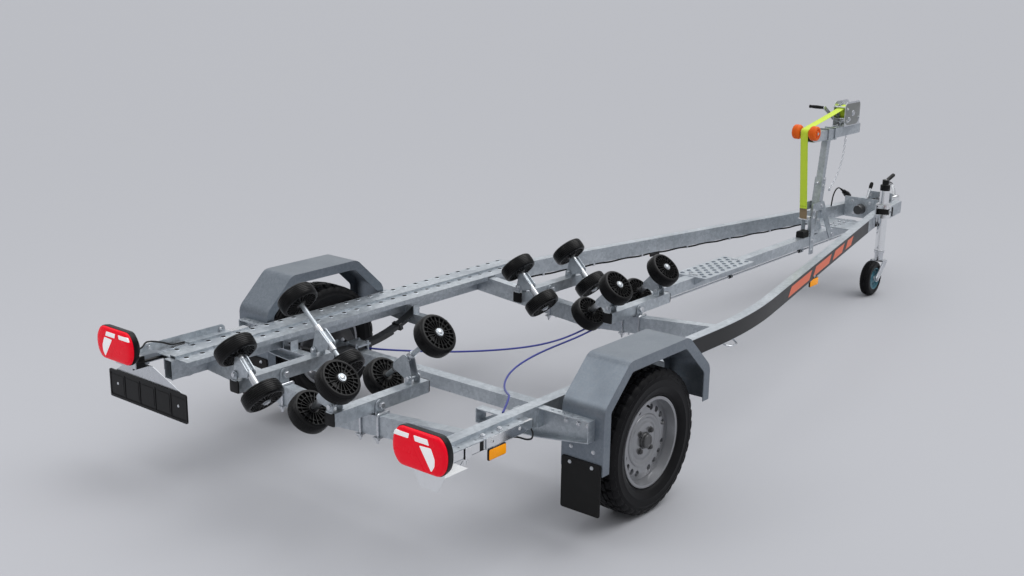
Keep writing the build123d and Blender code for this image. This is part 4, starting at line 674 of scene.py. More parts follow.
class Shape:
    """Gathers one piece's faces in the row frame, then makes its mesh."""

    def __init__(self) -> None:
        """Starts an empty mesh."""
        self.bm = bmesh.new()
        self.finish = 0

    def _face(self, corners: Sequence[Any]) -> None:
        """Adds one face, unless its corners have met.

        Args:
            corners: the face's corners, in order.
        """
        if len(set(corners)) >= 3:
            try:
                made = self.bm.faces.new(corners)
            except ValueError:
                return
            made.material_index = self.finish

    def rings(
        self, loops: Sequence[Sequence[Vector]], closed: bool = True, caps: bool = True,
        around: bool = False
    ) -> None:
        """Joins loops of points by quads.

        Args:
            loops: point loops of equal length, in order.
            closed: whether each loop closes on itself.
            caps: whether the first and last loops are filled.
            around: whether the last loop joins the first.
        """
        made = [[self.bm.verts.new(p) for p in loop] for loop in loops]
        count = len(made[0])
        spans = count if closed else count - 1
        pairs = list(zip(made, made[1:])) + ([(made[-1], made[0])] if around else [])
        for low, high in pairs:
            for k in range(spans):
                after = (k + 1) % count
                self._face([low[k], low[after], high[after], high[k]])
        if caps and closed and not around:
            self._face(list(reversed(made[0])))
            self._face(made[-1])

    def lathe(self, profile: Sequence[Point], place: Matrix, steps: int = 48, closed: bool = False) -> None:
        """Turns a profile of (radius, height) about the placement's Z.

        Args:
            profile: points from one end to the other.
            place: the placement.
            steps: segments round.
            closed: whether the profile is a closed ring section.
        """
        loops = []
        for k in range(steps):
            turn = TURN * k / steps
            loops.append([place @ Vector((r * math.cos(turn), r * math.sin(turn), h)) for r, h in profile])
        self.rings(loops, closed=closed, caps=False, around=True)

    def box(self, centre: Point, size: Point, place: Matrix | None = None) -> None:
        """A box about a centre.

        Args:
            centre: its middle.
            size: its size along each axis.
            place: a placement to put it in, or None.
        """
        cx, cy, cz = centre
        hx, hy, hz = (s / 2.0 for s in size)
        corners = [(-hx, -hy), (hx, -hy), (hx, hy), (-hx, hy)]
        loops = [[Vector((cx + x, cy + y, cz + z)) for x, y in corners] for z in (-hz, hz)]
        if place is not None:
            loops = [[place @ p for p in loop] for loop in loops]
        self.rings(loops)

    def prism(self, outline: Sequence[Point], low: float, high: float, place: Matrix) -> None:
        """An outline of local (x, y) points drawn out between two local heights."""
        self.rings([[place @ Vector((x, y, h)) for x, y in outline] for h in (low, high)])

    def sheet(
        self, outline: Sequence[Point], holes: Sequence[Sequence[Point]], low: float, high: float,
        place: Matrix
    ) -> None:
        """A plate with holes.

        Args:
            outline: the plate's outer local (x, y) loop.
            holes: inner loops.
            low: local height of one face.
            high: local height of the other face.
            place: the placement.
        """
        flat = bmesh.new()
        edges = []
        for loop in (outline, *holes):
            verts = [flat.verts.new((x, y, 0.0)) for x, y in loop]
            edges += [flat.edges.new((a, b)) for a, b in zip(verts, verts[1:] + verts[:1])]
        bmesh.ops.triangle_fill(flat, use_beauty=True, use_dissolve=False, edges=edges)
        for height, flip in ((high, False), (low, True)):
            copy = {v: self.bm.verts.new(place @ Vector((v.co.x, v.co.y, height))) for v in flat.verts}
            for f in flat.faces:
                around = [copy[v] for v in f.verts]
                upward = f.normal.z > 0.0
                self._face(around if upward != flip else list(reversed(around)))
        flat.free()
        for loop in (outline, *holes):
            self.rings([[place @ Vector((x, y, h)) for x, y in loop] for h in (low, high)], caps=False)

    def tube(
        self, points: Sequence[Point], radius: float, sides: int = 12, caps: bool = True,
        up: Point | None = None
    ) -> None:
        """A round bar that follows points.

        Args:
            points: the centre line.
            radius: the bar's radius.
            sides: sides of its section.
            caps: whether its ends are filled.
            up: a direction that the section keeps, or None.
        """
        ring = [
            (
                radius * math.cos(TURN * k / sides), radius * math.sin(TURN * k / sides)
            ) for k in range(sides)
        ]
        self.follow(ring, points, caps, up)

    def follow(
        self, section: Sequence[Point], points: Sequence[Point], caps: bool = True,
        up: Point | None = None
    ) -> None:
        """A closed section of (side, up) points swept along a line with mitred corners.

        Args:
            section: the section's points.
            points: the line's points.
            caps: whether its ends are filled.
            up: a direction that the section keeps, or None.
        """
        line = [Vector(p) for p in points]
        across = Vector(up) if up is not None else None
        loops = []
        for k, here in enumerate(line):
            back = (here - line[k - 1]).normalized() if k else (line[1] - here).normalized()
            ahead = (line[k + 1] - here).normalized() if k + 1 < len(line) else back
            along = (back + ahead).normalized()
            if across is None:
                across = Vector((0, 0, 1)) if abs(along.z) < 0.9 else Vector((1, 0, 0))
            upward = (across - along * across.dot(along)).normalized()
            if up is None:
                across = upward
            side = along.cross(upward)
            stretch = 1.0 / max(0.3, along.dot(back))
            bend = ahead - back
            bend_dir = bend.normalized() if bend.length > 1e-6 else None
            loop = []
            for s, u in section:
                arm = side * s + upward * u
                if bend_dir is not None:
                    arm += bend_dir * arm.dot(bend_dir) * (stretch - 1.0)
                loop.append(here + arm)
            loops.append(loop)
        self.rings(loops, caps=caps)

    def ball(self, centre: Point, radius: float, squash: float = 1.0) -> None:
        """A small ball, flattened along Z."""
        profile = [
            (
                radius * math.sin(math.pi * k / 8), -radius * squash * math.cos(math.pi * k / 8)
            ) for k in range(9)
        ]
        self.lathe(profile, Matrix.Translation(Vector(centre)), 16)

    def bolt(
        self, head: Point, axis: Point, across: float = 0.017, tall: float = 0.008, washer: bool = True,
        shank: float = 0.0
    ) -> None:
        """A hexagon bolt or nut whose seat is at a point.

        Args:
            head: the seat's centre.
            axis: direction from the seat to the top.
            across: width across flats.
            tall: the head's height.
            washer: whether a washer lies under it.
            shank: length of thread that stands out of the top.
        """
        place = frame_at(head, axis)
        r = across / math.sqrt(3.0)
        base = 0.0
        if washer:
            self.lathe(
                [(0, -0.0004), (r * 1.28, -0.0004), (r * 1.34, 0.0004), (r * 1.28, 0.0016), (0, 0.0016)],
                place, 20
            )
            base = 0.0016
        hexagon = [(math.cos(math.pi * k / 3), math.sin(math.pi * k / 3)) for k in range(6)]
        levels = ((base - 0.0004, 1.0), (base + tall * 0.84, 1.0), (base + tall, 0.84))
        self.rings([[place @ Vector((x * r * k, y * r * k, h)) for x, y in hexagon] for h, k in levels])
        if shank:
            s = across * 0.3
            top = base + tall
            turns = max(2, int(shank / 0.0016))
            profile = [(0, top - 0.0004)]
            for k in range(turns):
                profile += [(s, top + shank * k / turns), (s * 0.88, top + shank * (k + 0.5) / turns)]
            profile.append((0, top + shank))
            self.lathe(profile, place, 12)

    def mesh(self, name: str, smooth_angle: float = 35.0) -> bpy.types.Mesh:
        """Makes the mesh with its normals outward and its sharp edges kept.

        Args:
            name: the mesh's name.
            smooth_angle: edges sharper than this many degrees stay sharp.

        Returns:
            The mesh.
        """
        bmesh.ops.remove_doubles(self.bm, verts=self.bm.verts, dist=1e-6)
        bmesh.ops.recalc_face_normals(self.bm, faces=self.bm.faces)
        made = bpy.data.meshes.new(name)
        self.bm.to_mesh(made)
        self.bm.free()
        made.shade_smooth()
        made.set_sharp_from_angle(angle=math.radians(smooth_angle))
        return made


def rounded(width: float, height: float, radius: float, steps: int = 5) -> list[tuple[float, float]]:
    """A rounded rectangle about the origin.

    Args:
        width: its size along x.
        height: its size along y.
        radius: the corners' radius.
        steps: segments of each corner.

    Returns:
        Its points, anticlockwise.
    """
    radius = min(radius, width / 2.0 - 1e-6, height / 2.0 - 1e-6)
    points = []
    for quarter, (sx, sy) in enumerate(((1, 1), (-1, 1), (-1, -1), (1, -1))):
        for k in range(steps + 1):
            turn = math.pi / 2.0 * (quarter + k / steps)
            points.append(
                (
                    sx * (width / 2.0 - radius) + radius * math.cos(turn),
                    sy * (height / 2.0 - radius) + radius * math.sin(turn)
                )
            )
    return points


def circle(x: float, y: float, radius: float, steps: int = 20) -> list[tuple[float, float]]:
    """Points of a circle.

    Args:
        x: the centre's x.
        y: the centre's y.
        radius: its radius.
        steps: points round it.

    Returns:
        The outline's points.
    """
    return [
        (
            x + radius * math.cos(TURN * k / steps), y + radius * math.sin(TURN * k / steps)
        ) for k in range(steps)
    ]


def softened(
    corners: Sequence[Point], radius: float | Sequence[float], steps: int = 4
) -> list[tuple[float, float]]:
    """A polygon with its corners rounded.

    Args:
        corners: the polygon's points.
        radius: one radius, or one for each corner.
        steps: segments of each corner.

    Returns:
        The rounded outline.
    """
    count = len(corners)
    radii = [float(radius)] * count if isinstance(radius, (int, float)) else list(radius)
    out: list[tuple[float, float]] = []
    for k, here in enumerate(corners):
        p = Vector(here)
        a = Vector(corners[k - 1]) - p
        b = Vector(corners[(k + 1) % count]) - p
        reach = min(radii[k], a.length * 0.45, b.length * 0.45)
        start, end = p + a.normalized() * reach, p + b.normalized() * reach
        for s in range(steps + 1):
            t = s / steps
            q = start * (1 - t) ** 2 + p * 2 * t * (1 - t) + end * t**2
            out.append((q.x, q.y))
    return out


def bent(points: Sequence[Point], radius: float, steps: int = 6) -> list[Vector]:
    """An open line in space with its corners rounded.

    Args:
        points: the line's points.
        radius: the corners' radius.
        steps: segments of each corner.

    Returns:
        The line's points.
    """
    line = [Vector(p) for p in points]
    out = [line[0]]
    for back, here, ahead in zip(line, line[1:], line[2:]):
        a, b = back - here, ahead - here
        reach = min(radius, a.length * 0.45, b.length * 0.45)
        start, end = here + a.normalized() * reach, here + b.normalized() * reach
        for s in range(steps + 1):
            t = s / steps
            out.append(start * (1 - t) ** 2 + here * 2 * t * (1 - t) + end * t**2)
    out.append(line[-1])
    return out


@dataclass
class Workshop:
    """Turns shapes into pieces: names them, paints them and puts them on their bodies."""

    paints: Paints
    count: int = 0

    def piece(
        self, shape: Shape | bpy.types.Mesh, name: str, body: str, slot: Slot, *finishes: Finish,
        replaces: Sequence[str] = (), bevel: float = 0.0, smooth_angle: float = 35.0
    ) -> bpy.types.Object:
        """Makes one piece.

        Args:
            shape: its faces, or a mesh made before.
            name: the piece's name.
            body: the body that it rides on.
            slot: the record's slot that it is finished from; not used.
            finishes: one finish for each material number used in the shape.
            replaces: the CAD nodes that it stands for.
            bevel: width of the softened edges.
            smooth_angle: edges sharper than this stay sharp.

        Returns:
            The new object.
        """
        mesh = shape.mesh(name, smooth_angle) if isinstance(shape, Shape) else shape
        made = bpy.data.objects.new(name, mesh)
        bpy.context.scene.collection.objects.link(made)
        if isinstance(shape, Shape):
            for finish in finishes:
                mesh.materials.append(self.paints.get(finish))
        if bevel:
            soft = made.modifiers.new("soft_edges", "BEVEL")
            soft.width = bevel
            soft.segments = 2
            soft.limit_method = "ANGLE"
            soft.angle_limit = math.radians(40.0)
            soft.harden_normals = True
        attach(made, str(getattr(body, "value", body)))
        if replaces:
            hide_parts(*replaces)
        self.count += 1
        LOG.info("%s on %s", name, body)
        return made

    def paint_nodes(self, nodes: dict[str, bpy.types.Object], names: Iterable[str], finish: Finish) -> None:
        """Gives carried-over CAD nodes a finish.

        Args:
            nodes: the frame's nodes.
            names: names of the nodes to paint.
            finish: the finish.
        """
        for name in names:
            node = nodes[name]
            node.data.materials.clear()
            node.data.materials.append(self.paints.get(finish))


# ---------------------------------------------------------------- camera, cords, floor and light


@dataclass(frozen=True)
class Viewpoint:
    """The camera: its place, its three turns in degrees, and its lens."""

    place: tuple[float, float, float] = (-5.6489, -3.4568, 2.1572)
    yaw: float = 38.957
    pitch: float = -15.686
    roll: float = 0.913
    lens: float = 44.832
    shift_y: float = 0.01263

    def build(self) -> bpy.types.Object:
        """Makes the scene's camera.

        Returns:
            The camera.
        """
        yaw, pitch, roll = (math.radians(a) for a in (self.yaw, self.pitch, self.roll))
        ahead = Vector((math.cos(pitch) * math.cos(yaw), math.cos(pitch) * math.sin(yaw), math.sin(pitch)))
        level = ahead.cross(Vector((0.0, 0.0, 1.0))).normalized()
        above = level.cross(ahead)
        right = level * math.cos(roll) + above * math.sin(roll)
        up = above * math.cos(roll) - level * math.sin(roll)
        data = bpy.data.cameras.new("camera")
        data.lens = self.lens
        data.shift_y = self.shift_y
        data.clip_end = 300.0
        camera = bpy.data.objects.new("camera", data)
        turn = Matrix((right, up, -ahead)).transposed().to_4x4()
        camera.matrix_world = Matrix.Translation(Vector(self.place)) @ turn
        bpy.context.scene.collection.objects.link(camera)
        bpy.context.scene.camera = camera
        return camera


@dataclass(frozen=True)
class Hose:
    """One free cord of the trailer.

    Its line is a smooth spline over the route's points.
    """

    name: str
    finish: Finish
    slot: Slot
    length: float
    far_end: str
    node: str
    stiffness: str
    lay: str
    route: tuple[tuple[float, float, float], ...]
    diameter: float = 0.009

    def build(self, shop: "Workshop", with_pieces: Sequence[Any] = ()) -> bpy.types.Object:
        """Args:
            shop: where the pieces are made.
            with_pieces: pieces that hang on the cord; not used.

        Returns:
            The cord's object.
        """
        curve = bpy.data.curves.new(self.name, "CURVE")
        curve.dimensions = "3D"
        curve.bevel_depth = self.diameter / 2.0
        curve.bevel_resolution = 4
        curve.resolution_u = 10
        curve.use_fill_caps = True
        line = curve.splines.new("NURBS")
        line.points.add(len(self.route) - 1)
        for point, place in zip(line.points, self.route):
            point.co = (*place, 1.0)
        line.order_u = 3
        line.use_endpoint_u = True
        curve.materials.append(shop.paints.get(self.finish))
        made = shop.piece(curve, self.name, Body.FRAME, self.slot, replaces=(self.node,))
        return made


HOSE_LEFT = Hose(
    "brake_hose_left", Finish.HOSE, Slot.PLASTIC, 1.36, "object", "axle_hoses", "medium", "hanging",
    (
        (-0.7206, 0.018, 0.348), (-0.8506, 0.022, 0.336), (-0.9756, 0.034, 0.328),
        (-1.0956, 0.066, 0.324), (-1.2106, 0.112, 0.326), (-1.3206, 0.172, 0.33), (-1.4256, 0.252, 0.332),
        (-1.5156, 0.345, 0.334), (-1.5906, 0.45, 0.334), (-1.6356, 0.565, 0.326), (-1.6556, 0.685, 0.316),
        (-1.6606, 0.8004, 0.308)
    )
)
HOSE_RIGHT = Hose(
    "brake_hose_right", Finish.HOSE, Slot.PLASTIC, 1.58, "object", "axle_hoses", "medium", "hanging",
    (
        (-0.7206, -0.018, 0.348), (-0.8506, -0.02, 0.338), (-0.9806, -0.016, 0.332),
        (-1.1056, -0.02, 0.332), (-1.2306, -0.034, 0.334), (-1.3506, -0.058, 0.336),
        (-1.4656, -0.094, 0.34), (-1.5756, -0.146, 0.346), (-1.6806, -0.214, 0.356),
        (-1.7806, -0.296, 0.374), (-1.8706, -0.384, 0.4), (-1.9556, -0.47, 0.431), (-2.111, -0.56, 0.4298)
    )
)
PLUG_CABLE = Hose(
    "plug_cable_cord", Finish.PLASTIC, Slot.PLASTIC, 0.22, "plug", "plug_cable", "stiff", "loose",
    (
        (2.163, 0.145, 0.5059), (2.172, 0.145, 0.557), (2.192, 0.145, 0.5916), (2.2227, 0.145, 0.6139),
        (2.2625, 0.145, 0.6181), (2.2983, 0.145, 0.6003)
    )
)


@dataclass(frozen=True)
class Plug:
    """The thirteen-pin kind of plug: ribbed tail, fluted body and a locking collar."""

    origin: tuple[float, float, float] = (2.2983, 0.145, 0.6003)
    axis: tuple[float, float, float] = (0.895, 0.0, -0.446)
    tail_r: float = 0.009
    tail: float = 0.046
    body_r: float = 0.0195
    body: float = 0.099

    def build(self, shop: "Workshop") -> bpy.types.Object:
        """Makes the plug.

        Args:
            shop: where the pieces are made.

        Returns:
            The plug's object.
        """
        shape = Shape()
        place = frame_at(self.origin, self.axis, (0, 0, 1)) @ Matrix.Translation((0, 0, 0.0003))
        ribs = [(0.0, 0.0)]
        for k in range(9):
            at = self.tail * k / 9.0
            wide = self.tail_r * (0.8 + 0.02 * k)
            ribs += [
                (wide * 0.8, at), (wide, at + 0.0012), (wide, at + 0.0032), (wide * 0.8, at + 0.0044)
            ]
        shape.lathe(ribs + [(0.0, self.tail)], place, 24)
        top = self.tail + self.body
        r = self.body_r
        outline = [
            (0.0, self.tail - 0.002), (r * 0.62, self.tail - 0.002), (r * 0.78, self.tail + 0.004),
            (r * 0.84, self.tail + 0.034), (r * 0.96, self.tail + 0.04), (r, self.tail + 0.044),
            (r, self.tail + 0.074), (r * 0.93, self.tail + 0.077), (r * 0.93, top - 0.004),
            (r * 0.86, top), (r * 0.7, top), (r * 0.66, top - 0.012), (0.0, top - 0.012)
        ]
        shape.lathe(outline, place, 36)
        for k in range(18):
            turn = place @ Matrix.Rotation(TURN * k / 18, 4, "Z")
            shape.box((r * 0.985, 0.0, self.tail + 0.059), (0.0022, 0.0026, 0.026), turn)
        shape.finish = 1
        for k in range(7):
            turn = TURN * k / 7
            at = (0.0075 * math.cos(turn), 0.0075 * math.sin(turn), 0.0)
            pin = [
                (0.0, top - 0.013), (0.0013, top - 0.013), (0.0013, top - 0.002), (0.0006, top - 0.001),
                (0.0, top - 0.001)
            ]
            shape.lathe(pin, place @ Matrix.Translation(at), 10)
        return shop.piece(
            shape, "plug_body", Body.FRAME, Slot.PLASTIC, Finish.PLASTIC, Finish.ZINC, replaces=("plug",),
            bevel=0.0004
        )


@dataclass(frozen=True)
class Studio:
    """A pale seamless floor under soft light from above."""

    reach: float = 80.0
    floor: tuple[float, float, float] = (0.48, 0.486, 0.512)
    zenith: float = 0.95
    horizon: float = 0.36
    below: float = 0.26
    sun: float = 1.12

    def build(self) -> None:
        """Makes the floor, the world and the sun."""
        mesh = bpy.data.meshes.new("floor")
        r = self.reach
        mesh.from_pydata([(-r, -r, 0.0), (r, -r, 0.0), (r, r, 0.0), (-r, r, 0.0)], [], [(0, 1, 2, 3)])
        floor = bpy.data.objects.new("floor", mesh)
        bpy.context.scene.collection.objects.link(floor)
        g = Graph("floor_paint")
        cloud = g.noise(0.35, 2.0)
        tone = g.mix(cloud * 0.06, self.floor, tuple(0.94 * c for c in self.floor))
        mesh.materials.append(g.close({"Base Color": tone}, {"Roughness": 0.9, "Specular IOR Level": 0.1}))
        self._world()
        self._sun()
        bpy.context.scene.view_settings.view_transform = "Standard"

    def _world(self) -> None:
        """A sky that brightens upward."""
        world = bpy.data.worlds.new("studio")
        bpy.context.scene.world = world
        world.use_nodes = True
        nodes, links = world.node_tree.nodes, world.node_tree.links
        nodes.clear()
        place = nodes.new("ShaderNodeTexCoord")
        parts = nodes.new("ShaderNodeSeparateXYZ")
        links.new(place.outputs["Generated"], parts.inputs[0])
        height = nodes.new("ShaderNodeMapRange")
        height.inputs["From Min"].default_value = -1.0
        links.new(parts.outputs["Z"], height.inputs["Value"])
        ramp = nodes.new("ShaderNodeValToRGB")
        grey = lambda v: (v * 0.985, v, v * 1.03, 1.0)
        stops = (
            (0.0, self.below), (0.495, self.below), (0.53, self.horizon), (0.68, 0.44), (0.84, 0.68),
            (1.0, self.zenith)
        )
        elements = ramp.color_ramp.elements
        while len(elements) < len(stops):
            elements.new(0.5)
        for element, (at, value) in zip(elements, stops):
            element.position = at
            element.color = grey(value)
        links.new(height.outputs[0], ramp.inputs[0])
        shine = nodes.new("ShaderNodeBackground")
        links.new(ramp.outputs[0], shine.inputs[0])
        out = nodes.new("ShaderNodeOutputWorld")
        links.new(shine.outputs[0], out.inputs[0])

    def _sun(self) -> None:
        """A wide soft sun, and two soft boxes that draw highlights along the metal."""
        for name, strength, tilt, turn in (("key", self.sun, 28.0, 150.0), ("fill", 0.22, 55.0, 215.0)):
            data = bpy.data.lights.new(name, "SUN")
            data.energy = strength
            data.angle = math.radians(50.0)
            lamp = bpy.data.objects.new(name, data)
            lamp.rotation_euler = (math.radians(tilt), 0.0, math.radians(turn - 90.0))
            bpy.context.scene.collection.objects.link(lamp)
        for name, at, aim, size, power in (
            ("box_rear", (-4.6, 1.6, 4.2), (-1.2, 0.0, 0.4), (3.2, 1.6), 24.0),
            ("box_front", (1.0, -3.6, 4.4), (1.0, 0.0, 0.5), (5.0, 1.4), 24.0)
        ):
            data = bpy.data.lights.new(name, "AREA")
            data.shape = "RECTANGLE"
            data.size, data.size_y = size
            data.energy = power
            lamp = bpy.data.objects.new(name, data)
            lamp.matrix_world = frame_at(at, Vector(at) - Vector(aim))
            bpy.context.scene.collection.objects.link(lamp)


# ---------------------------------------------------------------- chassis


@dataclass(frozen=True)
class BeamLine:
    """The left side beam's centre line: straight, then bent inwards twice."""

    mid_y: float = 0.715
    half: float = 0.025
    top: float = 0.505
    tall: float = 0.08
    bend: float = 1.21
    bend_slope: float = math.tan(math.radians(11.8))
    nose: float = 3.9
    nose_slope: float = math.tan(math.radians(5.7))
    bend_r: float = 3.1
    nose_r: float = 0.9

    def centre(self, x: float) -> float:
        """Y of the centre line at a station from the axle, with both bends rounded.

        Args:
            x: station forward of the axle.

        Returns:
            Y of the centre line.
        """
        reach = self.bend_r * math.tan(math.radians(11.8 / 2))
        if x < self.bend - reach:
            return self.mid_y
        slanted = self.mid_y - (x - self.bend) * self.bend_slope
        if x < self.bend + reach:
            t = (x - self.bend + reach) / (2 * reach)
            return self.mid_y - self.bend_slope * reach * t * t
        near = self.nose_r * math.tan(math.radians(6.1 / 2))
        if x < self.nose - near:
            return slanted
        at_nose = self.mid_y - (self.nose - self.bend) * self.bend_slope
        ahead = at_nose - (x - self.nose) * self.nose_slope
        return ahead if x > self.nose + near else min(slanted, ahead)

    def slope(self, x: float) -> float:
        """How fast the centre line moves outwards with x."""
        return (self.centre(x + 0.004) - self.centre(x - 0.004)) / 0.008

    def face(self, x: float, side: float, out: float = 0.0) -> Vector:
        """A point on the outer face of one side's beam, at mid height.

        Args:
            x: station forward of the axle.
            side: 1 for the left, -1 for the right.
            out: how far it stands off the face.

        Returns:
            The point.
        """
        lean = self.slope(x)
        y = self.centre(x) + (self.half + out) * math.sqrt(1.0 + lean * lean)
        return Vector((station(x), side * y, self.top - self.tall / 2))


BEAM = BeamLine()


@dataclass(frozen=True)
class SideBand:
    """The plain black band on the right beam's outer face, with a plain stripe in it."""

    start: float = 0.46
    end: float = 3.6
    low: float = 0.4265
    high: float = 0.5035
    thick: float = 0.0006
    stripes: tuple[tuple[float, float], ...] = ((1.8, 2.2), (2.28, 2.62), (2.7, 2.92), (3.0, 3.14))
    stripe_low: float = 0.442
    stripe_high: float = 0.488

    def _strip(
        self, shape: Shape, start: float, end: float, low: float, high: float, out: float, slant: float
    ) -> None:
        """Lays one thin strip along the beam's face.

        Args:
            shape: the mesh being built.
            start: station where it begins.
            end: station where it ends.
            low: height of its lower edge.
            high: height of its upper edge.
            out: how far it stands off the face.
            slant: how far its upper edge leans forward.
        """
        steps = max(2, int((end - start) / 0.06))
        loops = []
        for k in range(steps + 1):
            x = start + (end - start) * k / steps
            loop = []
            for lift, stand in ((low, 0.0), (low, out), (high, out), (high, 0.0)):
                lean = slant * (lift - low) / max(1e-6, high - low)
                p = BEAM.face(x + lean, -1.0, stand)
                loop.append(Vector((p.x, p.y, lift)))
            loops.append(loop)
        shape.rings(loops)

    def build(self, shop: Workshop) -> None:
        """Makes the band and its stripe.

        Args:
            shop: where the pieces are made.
        """
        shape = Shape()
        self._strip(shape, self.start, self.end, self.low, self.high, self.thick, 0.0)
        shape.finish = 1
        for start, end in self.stripes:
            self._strip(shape, start, end, self.stripe_low, self.stripe_high, self.thick * 1.8, 0.05)
        shop.piece(shape, "side_band", Body.FRAME, Slot.PLASTIC, Finish.BAND, Finish.STRIPE)


@dataclass(frozen=True)
class Walkway:
    """Pressed collars in the holes of the left beam's walkway, and dark sleeves inside them that are painted
    shade down the holes.
    """

    rear: float = -0.975
    front: float = 1.225
    mid_y: float = 0.715
    top: float = 0.508
    hole: float = 0.011
    rows: tuple[tuple[float, float], ...] = ((-0.036, -0.02), (0.08, 0.02))
    pitch: float = 0.08
    count: int = 27

    def build(self, shop: Workshop) -> None:
        """Makes the collars and the painted-shade sleeves.

        Args:
            shop: where the pieces are made.
        """
        middle = (self.rear + self.front) / 2
        shape = Shape()
        for row, shift in self.rows:
            for k in range(self.count):
                x = station(middle + shift + (k - (self.count - 1) / 2) * self.pitch)
                place = frame_at((x, self.mid_y + row, self.top), (0, 0, 1), (1, 0, 0))
                r = self.hole
                shape.finish = 0
                ring = [
                    (r - 0.0002, -0.001), (r + 0.0002, 0.0012), (r + 0.0014, 0.0016), (r + 0.003, 0.001),
                    (r + 0.004, -0.0004)
                ]
                shape.lathe(ring, place, 20, closed=True)
                # The dark sleeve is painted shade: no such sleeve is there, it darkens the view down each
                # hole where shadow falls.
                shape.finish = 1
                sleeve = [
                    (r - 0.0003, 0.0006), (r - 0.0003, -0.0085), (r - 0.0012, -0.0085),
                    (r - 0.0012, 0.0006)
                ]
                shape.lathe(sleeve, place, 20, closed=True)
        shop.piece(
            shape, "walkway_collars", Body.FRAME, Slot.GALVANISED, Finish.GALVANISED, Finish.CASTING,
            smooth_angle=50
        )


@dataclass(frozen=True)
class CrossFittings:
    """U-bolts that clamp the rockers' lugs on the cross-members, and the members' end welds."""

    mid_top: float = 0.445
    dip: float = 0.06
    half_span: float = 0.69
    tall: float = 0.08
    rocker_y: float = 0.265
    rod: float = 0.005

    def top(self, y: float) -> float:
        """Height of the cross-member's top face."""
        return self.mid_top + self.dip * abs(y) / self.half_span

    def build(self, shop: Workshop) -> None:
        """Makes both cross-members' fittings.

        Args:
            shop: where the pieces are made.
        """
        for name, at in CROSS_STATIONS:
            shape = Shape()
            for side in (1.0, -1.0):
                for y in (side * (self.rocker_y - 0.046), side * (self.rocker_y + 0.046)):
                    self._u_bolt(shape, station(at), y)
            shop.piece(shape, f"cross_u_bolts_{name}", Body.FRAME, Slot.ZINC, Finish.ZINC, bevel=0.0006)
            welds = Shape()
            for side in (1.0, -1.0):
                for y in (side * (self.rocker_y - 0.0325), side * (self.rocker_y + 0.0325)):
                    z = self.top(y) + 0.0005
                    welds.tube([(station(at) - 0.022, y, z), (station(at) + 0.022, y, z)], 0.0032, 8)
            shop.piece(welds, f"cross_welds_{name}", Body.FRAME, Slot.GALVANISED, Finish.GALVANISED)

    def _u_bolt(self, shape: Shape, x: float, y: float) -> None:
        """One square U-bolt over the member, with the strap and nuts under it.

        Args:
            shape: the mesh being built.
            x: the member's X.
            y: its Y.
        """
        top, low = self.top(y), self.top(y) - self.tall
        reach = 0.025 + self.rod
        path = bent(
            [
                (x - reach, y, low - 0.026), (x - reach, y, top + self.rod),
                (x + reach, y, top + self.rod), (x + reach, y, low - 0.026)
            ],
            0.008, 4
        )
        shape.tube(path, self.rod, 10)
        shape.box((x, y, low - 0.003), (2 * reach + 0.026, 0.026, 0.006))
        for sx in (-reach, reach):
            shape.bolt((x + sx, y, low - 0.006), (0, 0, -1), 0.017, 0.008, True, 0.0)


